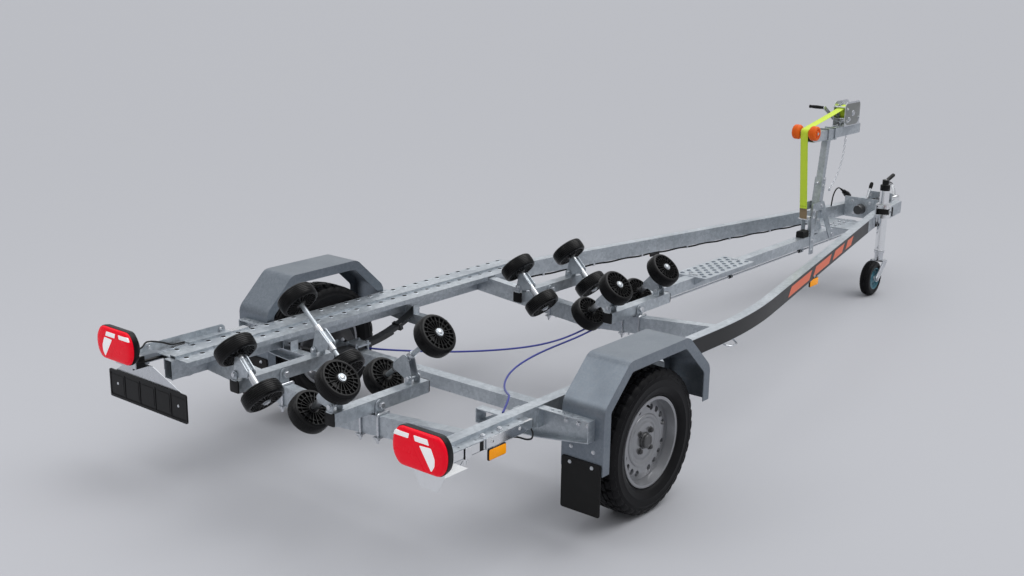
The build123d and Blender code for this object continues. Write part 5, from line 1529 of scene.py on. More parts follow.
@dataclass(frozen=True)
class Underframe:
    """Small fittings of the side beams and of the centre beam."""

    rod_z: float = 0.348
    hangers: tuple[float, ...] = (1.5, 2.3, 3.15)

    def build(self, shop: Workshop) -> None:
        """Makes the rod's fittings, the lashing loops, the cable under the left beam and the arm bolts.

        Args:
            shop: where the pieces are made.
        """
        self._rod_fittings(shop)
        self._loops(shop)
        self._loom(shop)
        self._arm_bolts(shop)

    def _rod_fittings(self, shop: Workshop) -> None:
        """Nuts and bushes on the brake rod, and the yoke plate's clevises.

        Args:
            shop: where the pieces are made.
        """
        shape = Shape()
        for x in self.hangers:
            for off in (-0.009, 0.013):
                place = frame_at((station(x) + off, 0, self.rod_z), (1, 0, 0))
                shape.lathe(
                    [
                        (0.0053, -0.004), (0.0095, -0.004), (0.0105, -0.002), (0.0105, 0.002),
                        (0.0095, 0.004), (0.0053, 0.004)
                    ],
                    place, 20, closed=True
                )
        shape.finish = 1
        for y in (-0.018, 0.018):
            shape.bolt((station(0.985) - 0.0002, y, self.rod_z), (-1, 0, 0), 0.013, 0.007, True, 0.0)
        for off in (0.004, 0.012, 0.04):
            shape.bolt((station(0.99) + off, 0, self.rod_z), (1, 0, 0), 0.018, 0.008, False)
        shape.tube([(station(1.1), 0, self.rod_z), (station(1.26), 0, self.rod_z)], 0.0085, 14)
        shop.piece(shape, "brake_rod_fittings", Body.FRAME, Slot.ZINC, Finish.RUBBER, Finish.ZINC)

    def _loops(self, shop: Workshop) -> None:
        """Wire lashing loops under both beams.

        Args:
            shop: where the pieces are made.
        """
        for name, side in SIDES:
            shape = Shape()
            for x in (1.02, -0.93):
                a = BEAM.face(x, side)
                y = a.y - side * 0.025
                z = 0.4235
                line = bent(
                    [
                        (a.x - 0.05, y, z - 0.003), (a.x - 0.045, y + side * 0.012, z - 0.014),
                        (a.x - 0.03, y + side * 0.04, z - 0.02), (a.x + 0.03, y + side * 0.04, z - 0.02),
                        (a.x + 0.045, y + side * 0.012, z - 0.014), (a.x + 0.05, y, z - 0.003)
                    ],
                    0.012, 4
                )
                shape.tube(line, 0.004, 10)
                shape.box((a.x, y, z), (0.13, 0.03, 0.004))
            shop.piece(shape, f"lashing_loops_{name}", Body.FRAME, Slot.ZINC, Finish.ZINC, bevel=0.0006)

    def _loom(self, shop: Workshop) -> None:
        """The corrugated loom that is clipped under the left beam, and its clips.

        Args:
            shop: where the pieces are made.
        """
        shape = Shape()
        line = []
        for k in range(200):
            x = 1.3 + 2.42 * k / 199
            f = BEAM.face(x, 1.0)
            sag = 0.0022 * math.sin(k * 0.35)
            line.append((f.x, f.y - 0.046, 0.4175 + sag))
        shape.tube(line, 0.005, 10)
        shape.finish = 1
        for k in range(7):
            x = 1.4 + 0.37 * k
            f = BEAM.face(x, 1.0)
            shape.box((f.x, f.y - 0.046, 0.4185), (0.014, 0.018, 0.0135))
        shop.piece(
            shape, "wiring_loom", Body.FRAME, Slot.PLASTIC, Finish.PLASTIC, Finish.ZINC, bevel=0.0005
        )

    def _arm_bolts(self, shop: Workshop) -> None:
        """Bolts through the outrigger arms' feet and into the mudguards.

        Args:
            shop: where the pieces are made.
        """
        for name, side in SIDES:
            shape = Shape()
            for arm in (-0.406, 0.369):
                for dx in (-0.01, 0.01):
                    shape.bolt(
                        (station(arm + dx), side * 0.715, 0.4205), (0, 0, -1), 0.015, 0.007, True, 0.004
                    )
                inner, outward = (0.353, 1) if arm > 0 else (-0.39, -1)
                for y in (0.85, 0.905, 0.95):
                    shape.bolt((station(inner), side * y, 0.47), (outward, 0, 0), 0.014, 0.006)
            shop.piece(shape, f"arm_bolts_{name}", Body.FRAME, Slot.ZINC, Finish.ZINC)


# ---------------------------------------------------------------- axle, wheels and mudguards


@dataclass(frozen=True)
class Tyre:
    """A road tyre: moulded sidewall rings, a block tread with sipes and four grooves."""

    radius: float = 0.296
    width: float = 0.165
    bore: float = 0.1763
    track: float = 0.911
    steps: int = 216

    def _profile(self) -> list[tuple[float, float, int]]:
        """Half sections as (radius, across, rib); rib 0 is the sidewall.

        Returns:
            The half section's points.
        """
        half = self.width / 2
        r = self.radius
        wall = [
            (self.bore, 0.052, 0), (self.bore + 0.003, 0.0565, 0), (self.bore + 0.01, 0.0605, 0),
            (self.bore + 0.013, 0.065, 0), (self.bore + 0.017, 0.0655, 0), (self.bore + 0.019, 0.069, 0),
            (self.bore + 0.032, half - 0.0062, 0), (self.bore + 0.046, half - 0.0012, 0),
            (self.bore + 0.049, half + 0.0, 0), (self.bore + 0.052, half - 0.0008, 0),
            (self.bore + 0.06, half - 0.0002, 0), (self.bore + 0.074, half - 0.001, 0),
            (self.bore + 0.077, half + 0.0, 0), (self.bore + 0.08, half - 0.0018, 0),
            (r - 0.03, half - 0.0045, 0), (r - 0.026, half - 0.003, 5), (r - 0.014, half - 0.0075, 5),
            (r - 0.006, half - 0.0155, 5)
        ]
        tread = []
        for inner, outer, rib in ((0.0455, 0.065, 4), (0.0225, 0.0405, 3), (0.0, 0.0175, 2)):
            crown_out = r - 0.055 * (outer / half) ** 2 * 0.08 - 0.0012
            crown_in = r - 0.055 * (inner / half) ** 2 * 0.08 - 0.0004
            tread += [
                (crown_out - 0.007, outer + 0.0004, 0), (crown_out, outer - 0.0006, rib),
                (crown_in, inner + (0.0006 if inner else 0.0), rib)
            ]
            if inner:
                tread += [(crown_in - 0.007, inner - 0.0004, 0)]
        return wall + tread

    def _cut(self, rib: int, k: int) -> float:
        """How deep the tread is at one step round, for one rib.

        Args:
            rib: the rib's number.
            k: the step round the tyre.

        Returns:
            The depth in metres.
        """
        if rib == 0:
            return 0.0
        pitch, gap, shift, depth = {
            2: (9, 1, 0, 0.003), 3: (6, 1, 2, 0.006), 4: (6, 1, 4, 0.006), 5: (6, 2, 4, 0.0045)
        }[rib]
        return depth if (k + shift) % pitch < gap else 0.0

    def build(self, shop: Workshop, name: str, side: float) -> None:
        """Makes one tyre.

        Args:
            shop: where the pieces are made.
            name: the side's name.
            side: 1 for the left, -1 for the right.
        """
        half = self._profile()
        section = [(r, y, rib, 0) for r, y, rib in half] + [(r, -y, rib, 3) for r, y, rib in reversed(half)]
        place = frame_at((AXLE_X, side * self.track, self.radius), (0, side, 0))
        loops = []
        for k in range(self.steps):
            turn = TURN * k / self.steps
            loop = []
            for r, y, rib, shift in section:
                reach = r - self._cut(rib, k + shift)
                loop.append(place @ Vector((reach * math.cos(turn), reach * math.sin(turn), y)))
            loops.append(loop)
        shape = Shape()
        shape.rings(loops, closed=True, caps=False, around=True)
        shop.piece(
            shape, f"tyre_tread_{name}", f"wheel_{name}", Slot.TYRE, Finish.TYRE,
            replaces=(f"tyre_{name}",), smooth_angle=32
        )


@dataclass(frozen=True)
class WheelDress:
    """What stands on a road wheel's rim: bright lips, bolts, cap and valve."""

    track: float = 0.911
    disc: float = 0.024
    axle_z: float = 0.296
    bolt_circle: float = 0.05
    bolts: int = 4

    def build(self, shop: Workshop, name: str, side: float) -> None:
        """Makes one wheel's dressing.

        Args:
            shop: where the pieces are made.
            name: the side's name.
            side: 1 for the left, -1 for the right.
        """
        place = frame_at((AXLE_X, side * self.track, self.axle_z), (0, side, 0))
        body = f"wheel_{name}"
        lip = Shape()
        for sign in (1.0, -1.0):
            ring = [
                (0.172, sign * 0.064), (0.176, sign * 0.0658), (0.1815, sign * 0.066),
                (0.1845, sign * 0.064), (0.1846, sign * 0.0605), (0.1822, sign * 0.0598),
                (0.1815, sign * 0.063), (0.177, sign * 0.0625), (0.1722, sign * 0.06)
            ]
            lip.lathe(ring, place, 72, closed=True)
        lip.lathe(
            [(0.1668, 0.036), (0.165, 0.037), (0.164, 0.033), (0.1652, 0.029), (0.1672, 0.029)], place,
            72, closed=True
        )
        shop.piece(lip, f"rim_lips_{name}", body, Slot.WHEEL, Finish.WHEEL, smooth_angle=45)
        press = Shape()
        top = self.disc
        press.lathe(
            [
                (0.1085, top + 0.0066), (0.106, top + 0.0092), (0.101, top + 0.0112), (0.095, top + 0.01),
                (0.0905, top + 0.0062), (0.088, top + 0.0048), (0.079, top + 0.0052),
                (0.074, top + 0.0085), (0.068, top + 0.0098), (0.04, top + 0.0096), (0.035, top + 0.0088),
                (0.035, top + 0.003), (0.1085, top + 0.003)
            ],
            place, 72, closed=True
        )
        shop.piece(press, f"rim_pressing_{name}", body, Slot.WHEEL, Finish.WHEEL, smooth_angle=50)
        nuts = Shape()
        for k in range(self.bolts):
            turn = math.radians(45.0) + TURN * k / self.bolts
            at = place @ Vector(
                (self.bolt_circle * math.cos(turn), self.bolt_circle * math.sin(turn), top + 0.0094)
            )
            seat = frame_at(at, (0, side, 0))
            nuts.lathe(
                [(0.0, 0.0), (0.0135, 0.0), (0.0125, 0.0024), (0.01, 0.004), (0.0, 0.004)], seat, 24
            )
            nuts.bolt(at + Vector((0, side * 0.0038, 0)), (0, side, 0), 0.018, 0.0095, False)
            nuts.lathe([(0.0, 0.013), (0.0062, 0.013), (0.0052, 0.0156), (0.0, 0.0168)], seat, 20)
        shop.piece(nuts, f"wheel_bolts_{name}", body, Slot.ZINC, Finish.CASTING, bevel=0.0005)
        cap = Shape()
        cap.lathe(
            [
                (0.033, top + 0.009), (0.0315, top + 0.015), (0.029, top + 0.017), (0.0284, top + 0.025),
                (0.0262, top + 0.0278), (0.018, top + 0.0284), (0.017, top + 0.0272), (0.0, top + 0.027)
            ],
            place, 48
        )
        shop.piece(cap, f"hub_cap_{name}", body, Slot.WHEEL, Finish.CASTING, smooth_angle=40)
        valve = Shape()
        lean = place @ frame_at((0.0, 0.15, top + 0.001), (0.0, -0.35, 1.0))
        valve.lathe(
            [
                (0.0, -0.006), (0.0075, -0.006), (0.007, 0.001), (0.0048, 0.004), (0.0042, 0.016),
                (0.0046, 0.017), (0.0046, 0.025), (0.0038, 0.027), (0.0, 0.027)
            ],
            lean, 20
        )
        shop.piece(valve, f"tyre_valve_{name}", body, Slot.RUBBER, Finish.RUBBER)


@dataclass(frozen=True)
class AxleDress:
    """Nuts of the springs' clamps, the springs' clips, and the brake back plates' pressings."""

    axle_z: float = 0.296
    spring_y: float = 0.65
    leaf_r: float = 0.87
    top: float = 0.36

    def build(self, shop: Workshop) -> None:
        """Makes both sides' fittings.

        Args:
            shop: where the pieces are made.
        """
        for name, side in SIDES:
            nuts = Shape()
            for dx in (-0.0366, 0.0366):
                for dy in (-0.0291, 0.0291):
                    nuts.bolt(
                        (AXLE_X + dx, side * self.spring_y + dy, 0.266 - 0.008), (0, 0, -1), 0.019, 0.01,
                        True, 0.0
                    )
            shop.piece(nuts, f"axle_nuts_{name}", Body.FRAME, Slot.ZINC, Finish.ZINC)
            plate = Shape()
            place = frame_at((AXLE_X, side * 0.801, self.axle_z), (0, -side, 0))
            plate.lathe(
                [
                    (0.112, 0.0), (0.117, 0.003), (0.1172, 0.0052), (0.113, 0.0062), (0.104, 0.003),
                    (0.07, 0.003), (0.06, 0.008), (0.046, 0.008), (0.046, 0.0)
                ],
                place, 56, closed=True
            )
            plate.finish = 1
            for k in range(4):
                turn = math.radians(45 + 90 * k)
                at = place @ Vector((0.053 * math.cos(turn), 0.053 * math.sin(turn), 0.008))
                plate.bolt(at, (0, -side, 0), 0.014, 0.007)
            cover = frame_at((AXLE_X + 0.052, side * 0.798, self.axle_z + 0.022), (0, -side, 0))
            plate.finish = 2
            plate.lathe(
                [
                    (0.0, 0.0), (0.013, 0.0), (0.0125, 0.012), (0.0085, 0.018), (0.006, 0.034),
                    (0.0, 0.034)
                ],
                cover, 20
            )
            shop.piece(
                plate, f"brake_plate_{name}", Body.FRAME, Slot.GALVANISED, Finish.CASTING, Finish.ZINC,
                Finish.RUBBER
            )
            clips = Shape()
            for share in (-0.66, 0.66):
                turn = share * 0.47
                x = AXLE_X + self.leaf_r * math.sin(turn)
                z = 0.326 + self.leaf_r * (1.0 - math.cos(turn)) + 0.012 / math.cos(turn)
                lean = frame_at(
                    (x, side * self.spring_y, z), (math.cos(turn), 0, math.sin(turn)), (0, 1, 0)
                )
                outer, inner = rounded(0.053, 0.036, 0.004, 3), rounded(0.0456, 0.0285, 0.001, 3)
                clips.sheet(outer, [inner], -0.009, 0.009, lean)
            shop.piece(clips, f"spring_clips_{name}", Body.FRAME, Slot.SPRING, Finish.SPRING, bevel=0.0005)


@dataclass(frozen=True)
class Mudguard:
    """Edges, bolts and flaps of the mudguards."""

    line: tuple[tuple[float, float], ...] = (
        (-0.386, 0.286), (-0.386, 0.543), (-0.23, 0.691), (0.177, 0.691), (0.349, 0.534), (0.349, 0.39)
    )
    bend: float = 0.062
    lip: float = 0.042
    inner: float = 0.827
    outer: float = 1.017

    def _edge(self, inset: float, steps: int = 8) -> list[tuple[float, float]]:
        """The outline in (x from the axle, z), moved inwards.

        Args:
            inset: how far it is moved inwards.
            steps: segments of each corner.

        Returns:
            The outline's points.
        """
        pts = [Vector(p) for p in self.line]
        moved = []
        for k, p in enumerate(pts):
            a = (p - pts[k - 1]).normalized() if k else (pts[1] - p).normalized()
            b = (pts[k + 1] - p).normalized() if k + 1 < len(pts) else a
            na, nb = Vector((a.y, -a.x)), Vector((b.y, -b.x))
            mid = (na + nb).normalized()
            moved.append(p + mid * inset / max(0.5, mid.dot(na)))
        line3 = bent([(p.x, p.y, 0.0) for p in moved], max(0.012, (self.bend - inset) * 0.42), steps)
        return [(p.x, p.y) for p in line3]

    def build(self, shop: Workshop) -> None:
        """Makes both guards' details.

        Args:
            shop: where the pieces are made.
        """
        for name, side in SIDES:
            edge = Shape()
            for y in (self.inner + 0.0024, self.outer - 0.0024):
                path = [(station(x), side * y, z) for x, z in self._edge(self.lip - 0.0008)]
                edge.tube(path, 0.0022, 8, up=(0, 1, 0))
            shop.piece(edge, f"guard_edges_{name}", Body.FRAME, Slot.GALVANISED, Finish.SHEET)
            bolts = Shape()
            for x in (-0.365, 0.328):
                bolts.bolt((station(x), side * (self.outer - 0.0025), 0.452), (0, -side, 0), 0.015, 0.006)
            for y in (self.inner + 0.045, self.outer - 0.045):
                bolts.bolt((station(-0.386), side * y, 0.372), (-1, 0, 0), 0.011, 0.004)
                bolts.bolt((station(-0.392), side * y, 0.312), (-1, 0, 0), 0.01, 0.004)
            shop.piece(bolts, f"guard_bolts_{name}", Body.FRAME, Slot.ZINC, Finish.ZINC, bevel=0.0004)
            self._flap(shop, name, side)

    def _flap(self, shop: Workshop, name: str, side: float) -> None:
        """A mudflap with a raised border and a slightly belled lower edge.

        Args:
            shop: where the pieces are made.
            name: the side's name.
            side: 1 for the left, -1 for the right.
        """
        shape = Shape()
        middle = side * (self.inner + self.outer) / 2
        x = station(-0.389)
        border = [
            (0.178, 0.208, 0.0), (0.177, 0.207, 0.0012), (0.168, 0.198, 0.0012), (0.166, 0.196, 0.0)
        ]
        loops = []
        for wide, tall, lift in reversed(border):
            ring = rounded(wide, tall, 0.008, 4)
            loops.append([Vector((x - 0.0018 - lift, middle + a, 0.226 + b)) for a, b in ring])
        back = [Vector((x + 0.003, middle + a, 0.226 + b)) for a, b in rounded(0.178, 0.208, 0.008, 4)]
        shape.rings([*loops, back])
        shape.box((x - 0.0025, middle, 0.3205), (0.0022, 0.172, 0.0135))
        shop.piece(
            shape, f"mudflap_{name}", Body.FRAME, Slot.RUBBER, Finish.RUBBER, replaces=("mudflaps",),
            bevel=0.0004
        )


# ---------------------------------------------------------------- roller bogies


@dataclass(frozen=True)
class RollerPair:
    """Where one pair of keel rollers sits on the left side, in the part's own sizes."""

    name: str
    from_axle: float
    mid_y: float
    mid_z: float
    spacing: float
    lean: float
    sleeve: float


PAIRS = (
    RollerPair("tail", -0.997, 0.208, 0.568, 0.212, 45.0, 0.148),
    RollerPair("tall", -0.593, 0.244, 0.627, 0.355, 40.0, 0.13),
    RollerPair("mid", 0.728, 0.212, 0.57, 0.212, 45.0, 0.148),
    RollerPair("fore", 1.132, 0.21, 0.58, 0.204, 45.0, 0.14)
)


@dataclass(frozen=True)
class Roller:
    """A ribbed keel roller: grooved tread, dished faces with radial ribs, and a hub."""

    radius: float = 0.083
    width: float = 0.06
    rim: float = 0.016
    dish: float = 0.0105
    hub: float = 0.0215
    bore: float = 0.0104
    ribs: int = 20

    def _section(self) -> list[tuple[float, float]]:
        """The closed section as (radius, along).

        Returns:
            The outline's points.
        """
        h, r, deep = self.width / 2, self.radius, self.width / 2 - self.dish
        face = [
            (self.bore, h), (self.hub - 0.0015, h), (self.hub, h - 0.0015), (self.hub + 0.002, deep),
            (r - self.rim - 0.002, deep), (r - self.rim, h - 0.0012), (r - self.rim + 0.0012, h),
            (r - 0.01, h), (r - 0.0062, h - 0.0018), (r - 0.0036, h - 0.0056)
        ]
        tread = []
        for at in (0.0195, 0.0115, 0.0035):
            crown = r - 0.0036 * (at / h) ** 2 - 0.0002
            tread += [
                (crown, at + 0.0022), (crown - 0.0022, at + 0.0012), (crown - 0.0022, at - 0.0004),
                (crown, at - 0.0014)
            ]
        half = face + tread
        return half + [(a, -b) for a, b in reversed(half)]

    def add(self, shape: Shape, centre: Vector, axis: Vector) -> None:
        """Adds one roller about a centre.

        Args:
            shape: the mesh being built.
            centre: its middle.
            axis: the direction that it turns about.
        """
        place = frame_at(centre, axis)
        shape.lathe(self._section(), place, 56, closed=True)
        inner, outer = self.hub + 0.0005, self.radius - self.rim - 0.0005
        deep = self.width / 2 - self.dish
        for sign in (1.0, -1.0):
            for k in range(self.ribs):
                turn = place @ Matrix.Rotation(TURN * k / self.ribs, 4, "Z")
                top = sign * (self.width / 2 - 0.0016)
                low = sign * (deep - 0.001)
                loops = []
                for r, wide in ((inner, 0.0022), (outer, 0.005)):
                    pts = (
                        (r, -wide / 2, low), (r, wide / 2, low), (r, wide * 0.32, top),
                        (r, -wide * 0.32, top)
                    )
                    loops.append([turn @ Vector(p) for p in pts])
                shape.rings(loops)
            ring_r = (inner + outer) / 2 + 0.006
            ring = [
                (ring_r - 0.0012, deep - 0.001), (ring_r + 0.0012, deep - 0.001),
                (ring_r + 0.0009, deep + 0.0064), (ring_r - 0.0009, deep + 0.0064)
            ]
            shape.lathe([(a, sign * b) for a, b in ring], place, 56, closed=True)


@dataclass(frozen=True)
class Bogies:
    """The rockers' and yokes' fittings, and all sixteen rollers."""

    roller: Roller = Roller()
    rocker_y: float = 0.265
    rocker_z: float = 0.505
    pin_z: float = 0.552
    back: float = 0.222
    ahead: float = 0.272
    lug_out: float = 0.0325

    def build(self, shop: Workshop) -> None:
        """Makes every bogie.

        Args:
            shop: where the pieces are made.
        """
        for pair in PAIRS:
            for name, side in SIDES:
                self._pair(shop, pair, name, side)
        for rocker, at in CROSS_STATIONS:
            for name, side in SIDES:
                self._rocker(shop, rocker, station(at), name, side)

    def _pair(self, shop: Workshop, pair: RollerPair, name: str, side: float) -> None:
        """One yoke's fittings and its two rollers.

        Args:
            shop: where the pieces are made.
            pair: where the pair sits.
            name: the side's name.
            side: 1 for the left, -1 for the right.
        """
        lean = math.radians(pair.lean)
        along = Vector((0.0, side * math.cos(lean), math.sin(lean)))
        middle = Vector((station(pair.from_axle), side * pair.mid_y, pair.mid_z))
        rollers = Shape()
        for sign in (-1.0, 1.0):
            self.roller.add(rollers, middle + along * (sign * pair.spacing / 2), along)
        shop.piece(
            rollers, f"keel_rollers_{pair.name}_{name}", f"rollers_{pair.name}_{name}", Slot.PLASTIC,
            Finish.ROLLER, replaces=(f"rollers_{pair.name}_{name}",), smooth_angle=40
        )
        fit = Shape()
        reach = pair.spacing / 2 + self.roller.width / 2
        for sign in (-1.0, 1.0):
            seat = middle + along * (sign * (reach + 0.001))
            place = frame_at(seat, along * sign)
            fit.lathe(
                [(0.0, -0.0005), (0.016, -0.0005), (0.0168, 0.0005), (0.016, 0.0022), (0.0, 0.0022)],
                place, 28
            )
            fit.bolt(seat + along * (sign * 0.002), along * sign, 0.0175, 0.0058, False, 0.0)
            fit.lathe([(0.0, 0.0075), (0.0046, 0.0075), (0.004, 0.0092), (0.0, 0.0096)], place, 14)
        pin = (self.rocker_y - pair.mid_y) * math.cos(lean) + (self.pin_z - pair.mid_z) * math.sin(lean)
        centre = min(pin, max(0.0, (pair.spacing - 0.06 - pair.sleeve) / 2 - 0.002))
        for start, end in (
            (centre - pair.sleeve / 2, pin - 0.029), (pin + 0.029, centre + pair.sleeve / 2)
        ):
            if end - start > 0.012:
                self._sleeve(fit, middle + along * start, along, end - start)
        for sign in (-1.0, 1.0):
            seat = Vector((station(pair.from_axle) + sign * 0.0268, side * self.rocker_y, self.pin_z))
            fit.bolt(seat, (sign, 0, 0), 0.0175, 0.0075, False, 0.0)
        shop.piece(
            fit, f"yoke_fittings_{pair.name}_{name}", f"yoke_{pair.name}_{name}", Slot.ZINC, Finish.ZINC,
            bevel=0.0004
        )

    def _sleeve(self, shape: Shape, start: Vector, along: Vector, length: float) -> None:
        """A zinc distance tube over the rod."""
        place = frame_at(start, along)
        shape.lathe(
            [
                (0.014, 0.0), (0.0146, 0.0004), (0.0148, 0.0016), (0.0148, length - 0.0016),
                (0.0146, length - 0.0004), (0.014, length)
            ],
            place, 28
        )

    def _rocker(self, shop: Workshop, rocker: str, x: float, name: str, side: float) -> None:
        """One rocker's end caps, pivot nuts and welds.

        Args:
            shop: where the pieces are made.
            rocker: which cross-member it sits on.
            x: the rocker's X.
            name: the side's name.
            side: 1 for the left, -1 for the right.
        """
        body = f"rocker_{rocker}_{name}"
        caps = Shape()
        for end, sign in ((x - self.back, -1.0), (x + self.ahead, 1.0)):
            place = frame_at((end, side * self.rocker_y, self.rocker_z), (sign, 0, 0), (0, 1, 0))
            caps.rings(
                [
                    [place @ Vector((a, b, h)) for a, b in rounded(w, w, r, 4)] for w, r,
                    h in (
                        (0.043, 0.004, -0.014), (0.043, 0.004, 0.0), (0.052, 0.007, 0.0003),
                        (0.0525, 0.008, 0.0022), (0.05, 0.008, 0.0042), (0.04, 0.008, 0.0052)
                    )
                ]
            )
        shop.piece(
            caps, f"rocker_caps_{rocker}_{name}", body, Slot.PLASTIC, Finish.PLASTIC, smooth_angle=40
        )
        nuts = Shape()
        for sign in (1.0, -1.0):
            seat = (x, side * self.rocker_y + sign * (self.lug_out + 0.0055), self.rocker_z)
            nuts.bolt(seat, (0, sign, 0), 0.024, 0.01, False, 0.0)
        shop.piece(nuts, f"rocker_nuts_{rocker}_{name}", body, Slot.ZINC, Finish.ZINC)
        welds = Shape()
        for off in (-0.197, 0.207):
            for dx in (-0.0265, 0.0265):
                for dy in (-0.015, 0.015):
                    at = Vector((x + off + dx, side * self.rocker_y + dy, self.rocker_z + 0.0252))
                    welds.ball(at, 0.0032, 0.6)
                line = [
                    (x + off + dx * 1.12, side * self.rocker_y - 0.014, self.rocker_z + 0.0255),
                    (x + off + dx * 1.12, side * self.rocker_y + 0.014, self.rocker_z + 0.0255)
                ]
                welds.tube(line, 0.0024, 8)
        shop.piece(welds, f"rocker_welds_{rocker}_{name}", body, Slot.GALVANISED, Finish.GALVANISED)


# ---------------------------------------------------------------- winch post, winch and strap


@dataclass(frozen=True)
class Winch:
    """The bow roller, the winch's covers and gears, its drum of strap, crank, strap and chain."""

    post_x: float = 1.609
    lean: float = math.radians(8.9)
    centre_top: float = 0.433
    bow: tuple[float, float] = (1.415, 1.085)
    drum: tuple[float, float] = (1.96, 1.158)
    crank: tuple[float, float] = (1.907, 1.122)
    crank_len: float = 0.15
    crank_tilt: float = 30.0
    plate: float = 0.038
    roll_r: float = 0.0463
    core_r: float = 0.0223
    strap_w: float = 0.048
    strap_t: float = 0.003
    strap_end: tuple[float, float] = (1.467, 0.544)
    foot_x: float = 1.539
    foot_face: float = 0.0351
    post_face: float = 0.0252

    def build(self, shop: Workshop) -> None:
        """Makes every piece of the post.

        Args:
            shop: where the pieces are made.
        """
        self._bow_roller(shop)
        self._frame(shop)
        self._drum(shop)
        self._crank(shop)
        self._strap(shop)
        self._hook(shop)
        self._chain(shop)
        self._post_bolts(shop)
        self._keel_block(shop)

    def _bow_roller(self, shop: Workshop) -> None:
        """Two tapered halves, grooved and ribbed, and the core that the strap runs on.

        Args:
            shop: where the pieces are made.
        """
        shape = Shape()
        x, z = self.bow
        for sign in (1.0, -1.0):
            place = frame_at((x, 0.0, z), (0, sign, 0))
            h0, h1 = 0.0315, 0.077
            profile = [
                (0.0085, h0), (0.034, h0), (0.0372, h0 + 0.0022), (0.042, h0 + 0.008),
                (0.0438, h0 + 0.012), (0.0438, h0 + 0.018), (0.0424, h0 + 0.019), (0.0424, h0 + 0.0205),
                (0.0438, h0 + 0.0215), (0.0438, h0 + 0.0285), (0.0424, h0 + 0.0295), (0.0424, h0 + 0.031),
                (0.0438, h0 + 0.032), (0.0436, h1 - 0.008), (0.0405, h1 - 0.0024), (0.037, h1),
                (0.029, h1), (0.027, h1 - 0.005), (0.018, h1 - 0.005), (0.0165, h1 - 0.0005),
                (0.0085, h1 - 0.0005)
            ]
            shape.lathe(profile, place, 56, closed=True)
            for k in range(8):
                turn = place @ Matrix.Rotation(TURN * k / 8, 4, "Z")
                shape.box((0.0225, 0.0, h1 - 0.0036), (0.0115, 0.0028, 0.0052), turn)
        core = frame_at((x, 0.0, z), (0, 1, 0))
        shape.lathe(
            [
                (0.0085, -0.0235), (0.0205, -0.0235), (0.022, -0.0225), (0.022, 0.0225), (0.0205, 0.0235),
                (0.0085, 0.0235)
            ],
            core, 40, closed=True
        )
        shape.finish = 1
        for sign in (1.0, -1.0):
            shape.bolt((x, sign * 0.0765, z), (0, sign, 0), 0.016, 0.005, False)
        shape.tube([(x, -0.0768, z), (x, 0.0768, z)], 0.0078, 16)
        shop.piece(
            shape, "bow_roller_halves", Body.BOW, Slot.ORANGE, Finish.ORANGE, Finish.ZINC,
            replaces=("bow_roller",), smooth_angle=40
        )

    def _frame(self, shop: Workshop) -> None:
        """The round gear cover on the left, the pressed side plates, tie bolts, ratchet and base bolts.

        Args:
            shop: where the pieces are made.
        """
        shape = Shape()
        dx, dz = self.drum
        left = frame_at((dx - 0.002, self.plate + 0.0022, dz - 0.001), (0, 1, 0), (1, 0, 0))
        shape.lathe(
            [
                (0.0, 0.0092), (0.02, 0.0092), (0.0225, 0.0072), (0.048, 0.0072), (0.053, 0.011),
                (0.06, 0.0116), (0.064, 0.0095), (0.066, 0.004), (0.0662, 0.0), (0.0, 0.0)
            ],
            left, 56
        )
        for k in range(6):
            turn = left @ Matrix.Rotation(TURN * k / 6, 4, "Z")
            shape.box((0.035, 0.0, 0.0078), (0.021, 0.0042, 0.0022), turn)
        shape.finish = 1
        right = frame_at((dx, -self.plate - 0.0021, dz), (0, -1, 0), (1, 0, 0))
        outline = softened(
            [
                (-0.104, -0.062), (-0.104, 0.052), (-0.07, 0.072), (0.07, 0.072), (0.104, 0.04),
                (0.104, -0.062)
            ],
            0.018, 5
        )
        small = softened(
            [
                (-0.092, -0.05), (-0.092, 0.044), (-0.064, 0.06), (0.064, 0.06), (0.092, 0.033),
                (0.092, -0.05)
            ],
            0.014, 5
        )
        levels = ((outline, -0.0042), (outline, 0.0004), (small, 0.003))
        shape.rings([[right @ Vector((x, -z, h)) for x, z in loop] for loop, h in levels])
        shape.finish = 2
        for x, z, across in (
            (dx, dz, 0.024), (self.crank[0], self.crank[1], 0.02), (dx - 0.086, dz + 0.03, 0.013),
            (dx + 0.084, dz - 0.035, 0.013), (dx - 0.08, dz - 0.048, 0.013)
        ):
            shape.bolt((x, -self.plate - 0.005, z), (0, -1, 0), across, 0.0065, True, 0.0)
        shape.bolt((dx - 0.002, self.plate + 0.0112, dz - 0.001), (0, 1, 0), 0.018, 0.006, True, 0.0)
        for x, z in ((dx - 0.09, dz + 0.04), (dx + 0.088, dz + 0.03), (dx + 0.088, dz - 0.048)):
            shape.tube([(x, -self.plate, z), (x, self.plate, z)], 0.0055, 14)
        for x in (dx - 0.08, dx, dx + 0.08):
            for y in (-0.02, 0.02):
                shape.bolt((x, y, 1.0838), (0, 0, 1), 0.015, 0.006, True, 0.0)
        shop.piece(
            shape, "winch_covers", Body.FRAME, Slot.ZINC, Finish.PLASTIC, Finish.WINCH_GREY, Finish.ZINC,
            bevel=0.0004
        )
        gear = Shape()
        teeth = 34
        ring = []
        for k in range(teeth * 4):
            r = 0.06 if k % 4 in (0, 1) else 0.0556
            turn = TURN * k / (teeth * 4)
            ring.append((r * math.cos(turn), r * math.sin(turn)))
        side = frame_at((dx, 0.0292, dz), (0, 1, 0), (1, 0, 0))
        gear.sheet(ring, [circle(0, 0, 0.009, 20)], 0.0, 0.0048, side)
        shop.piece(gear, "winch_gear", Body.DRUM, Slot.ZINC, Finish.ZINC)

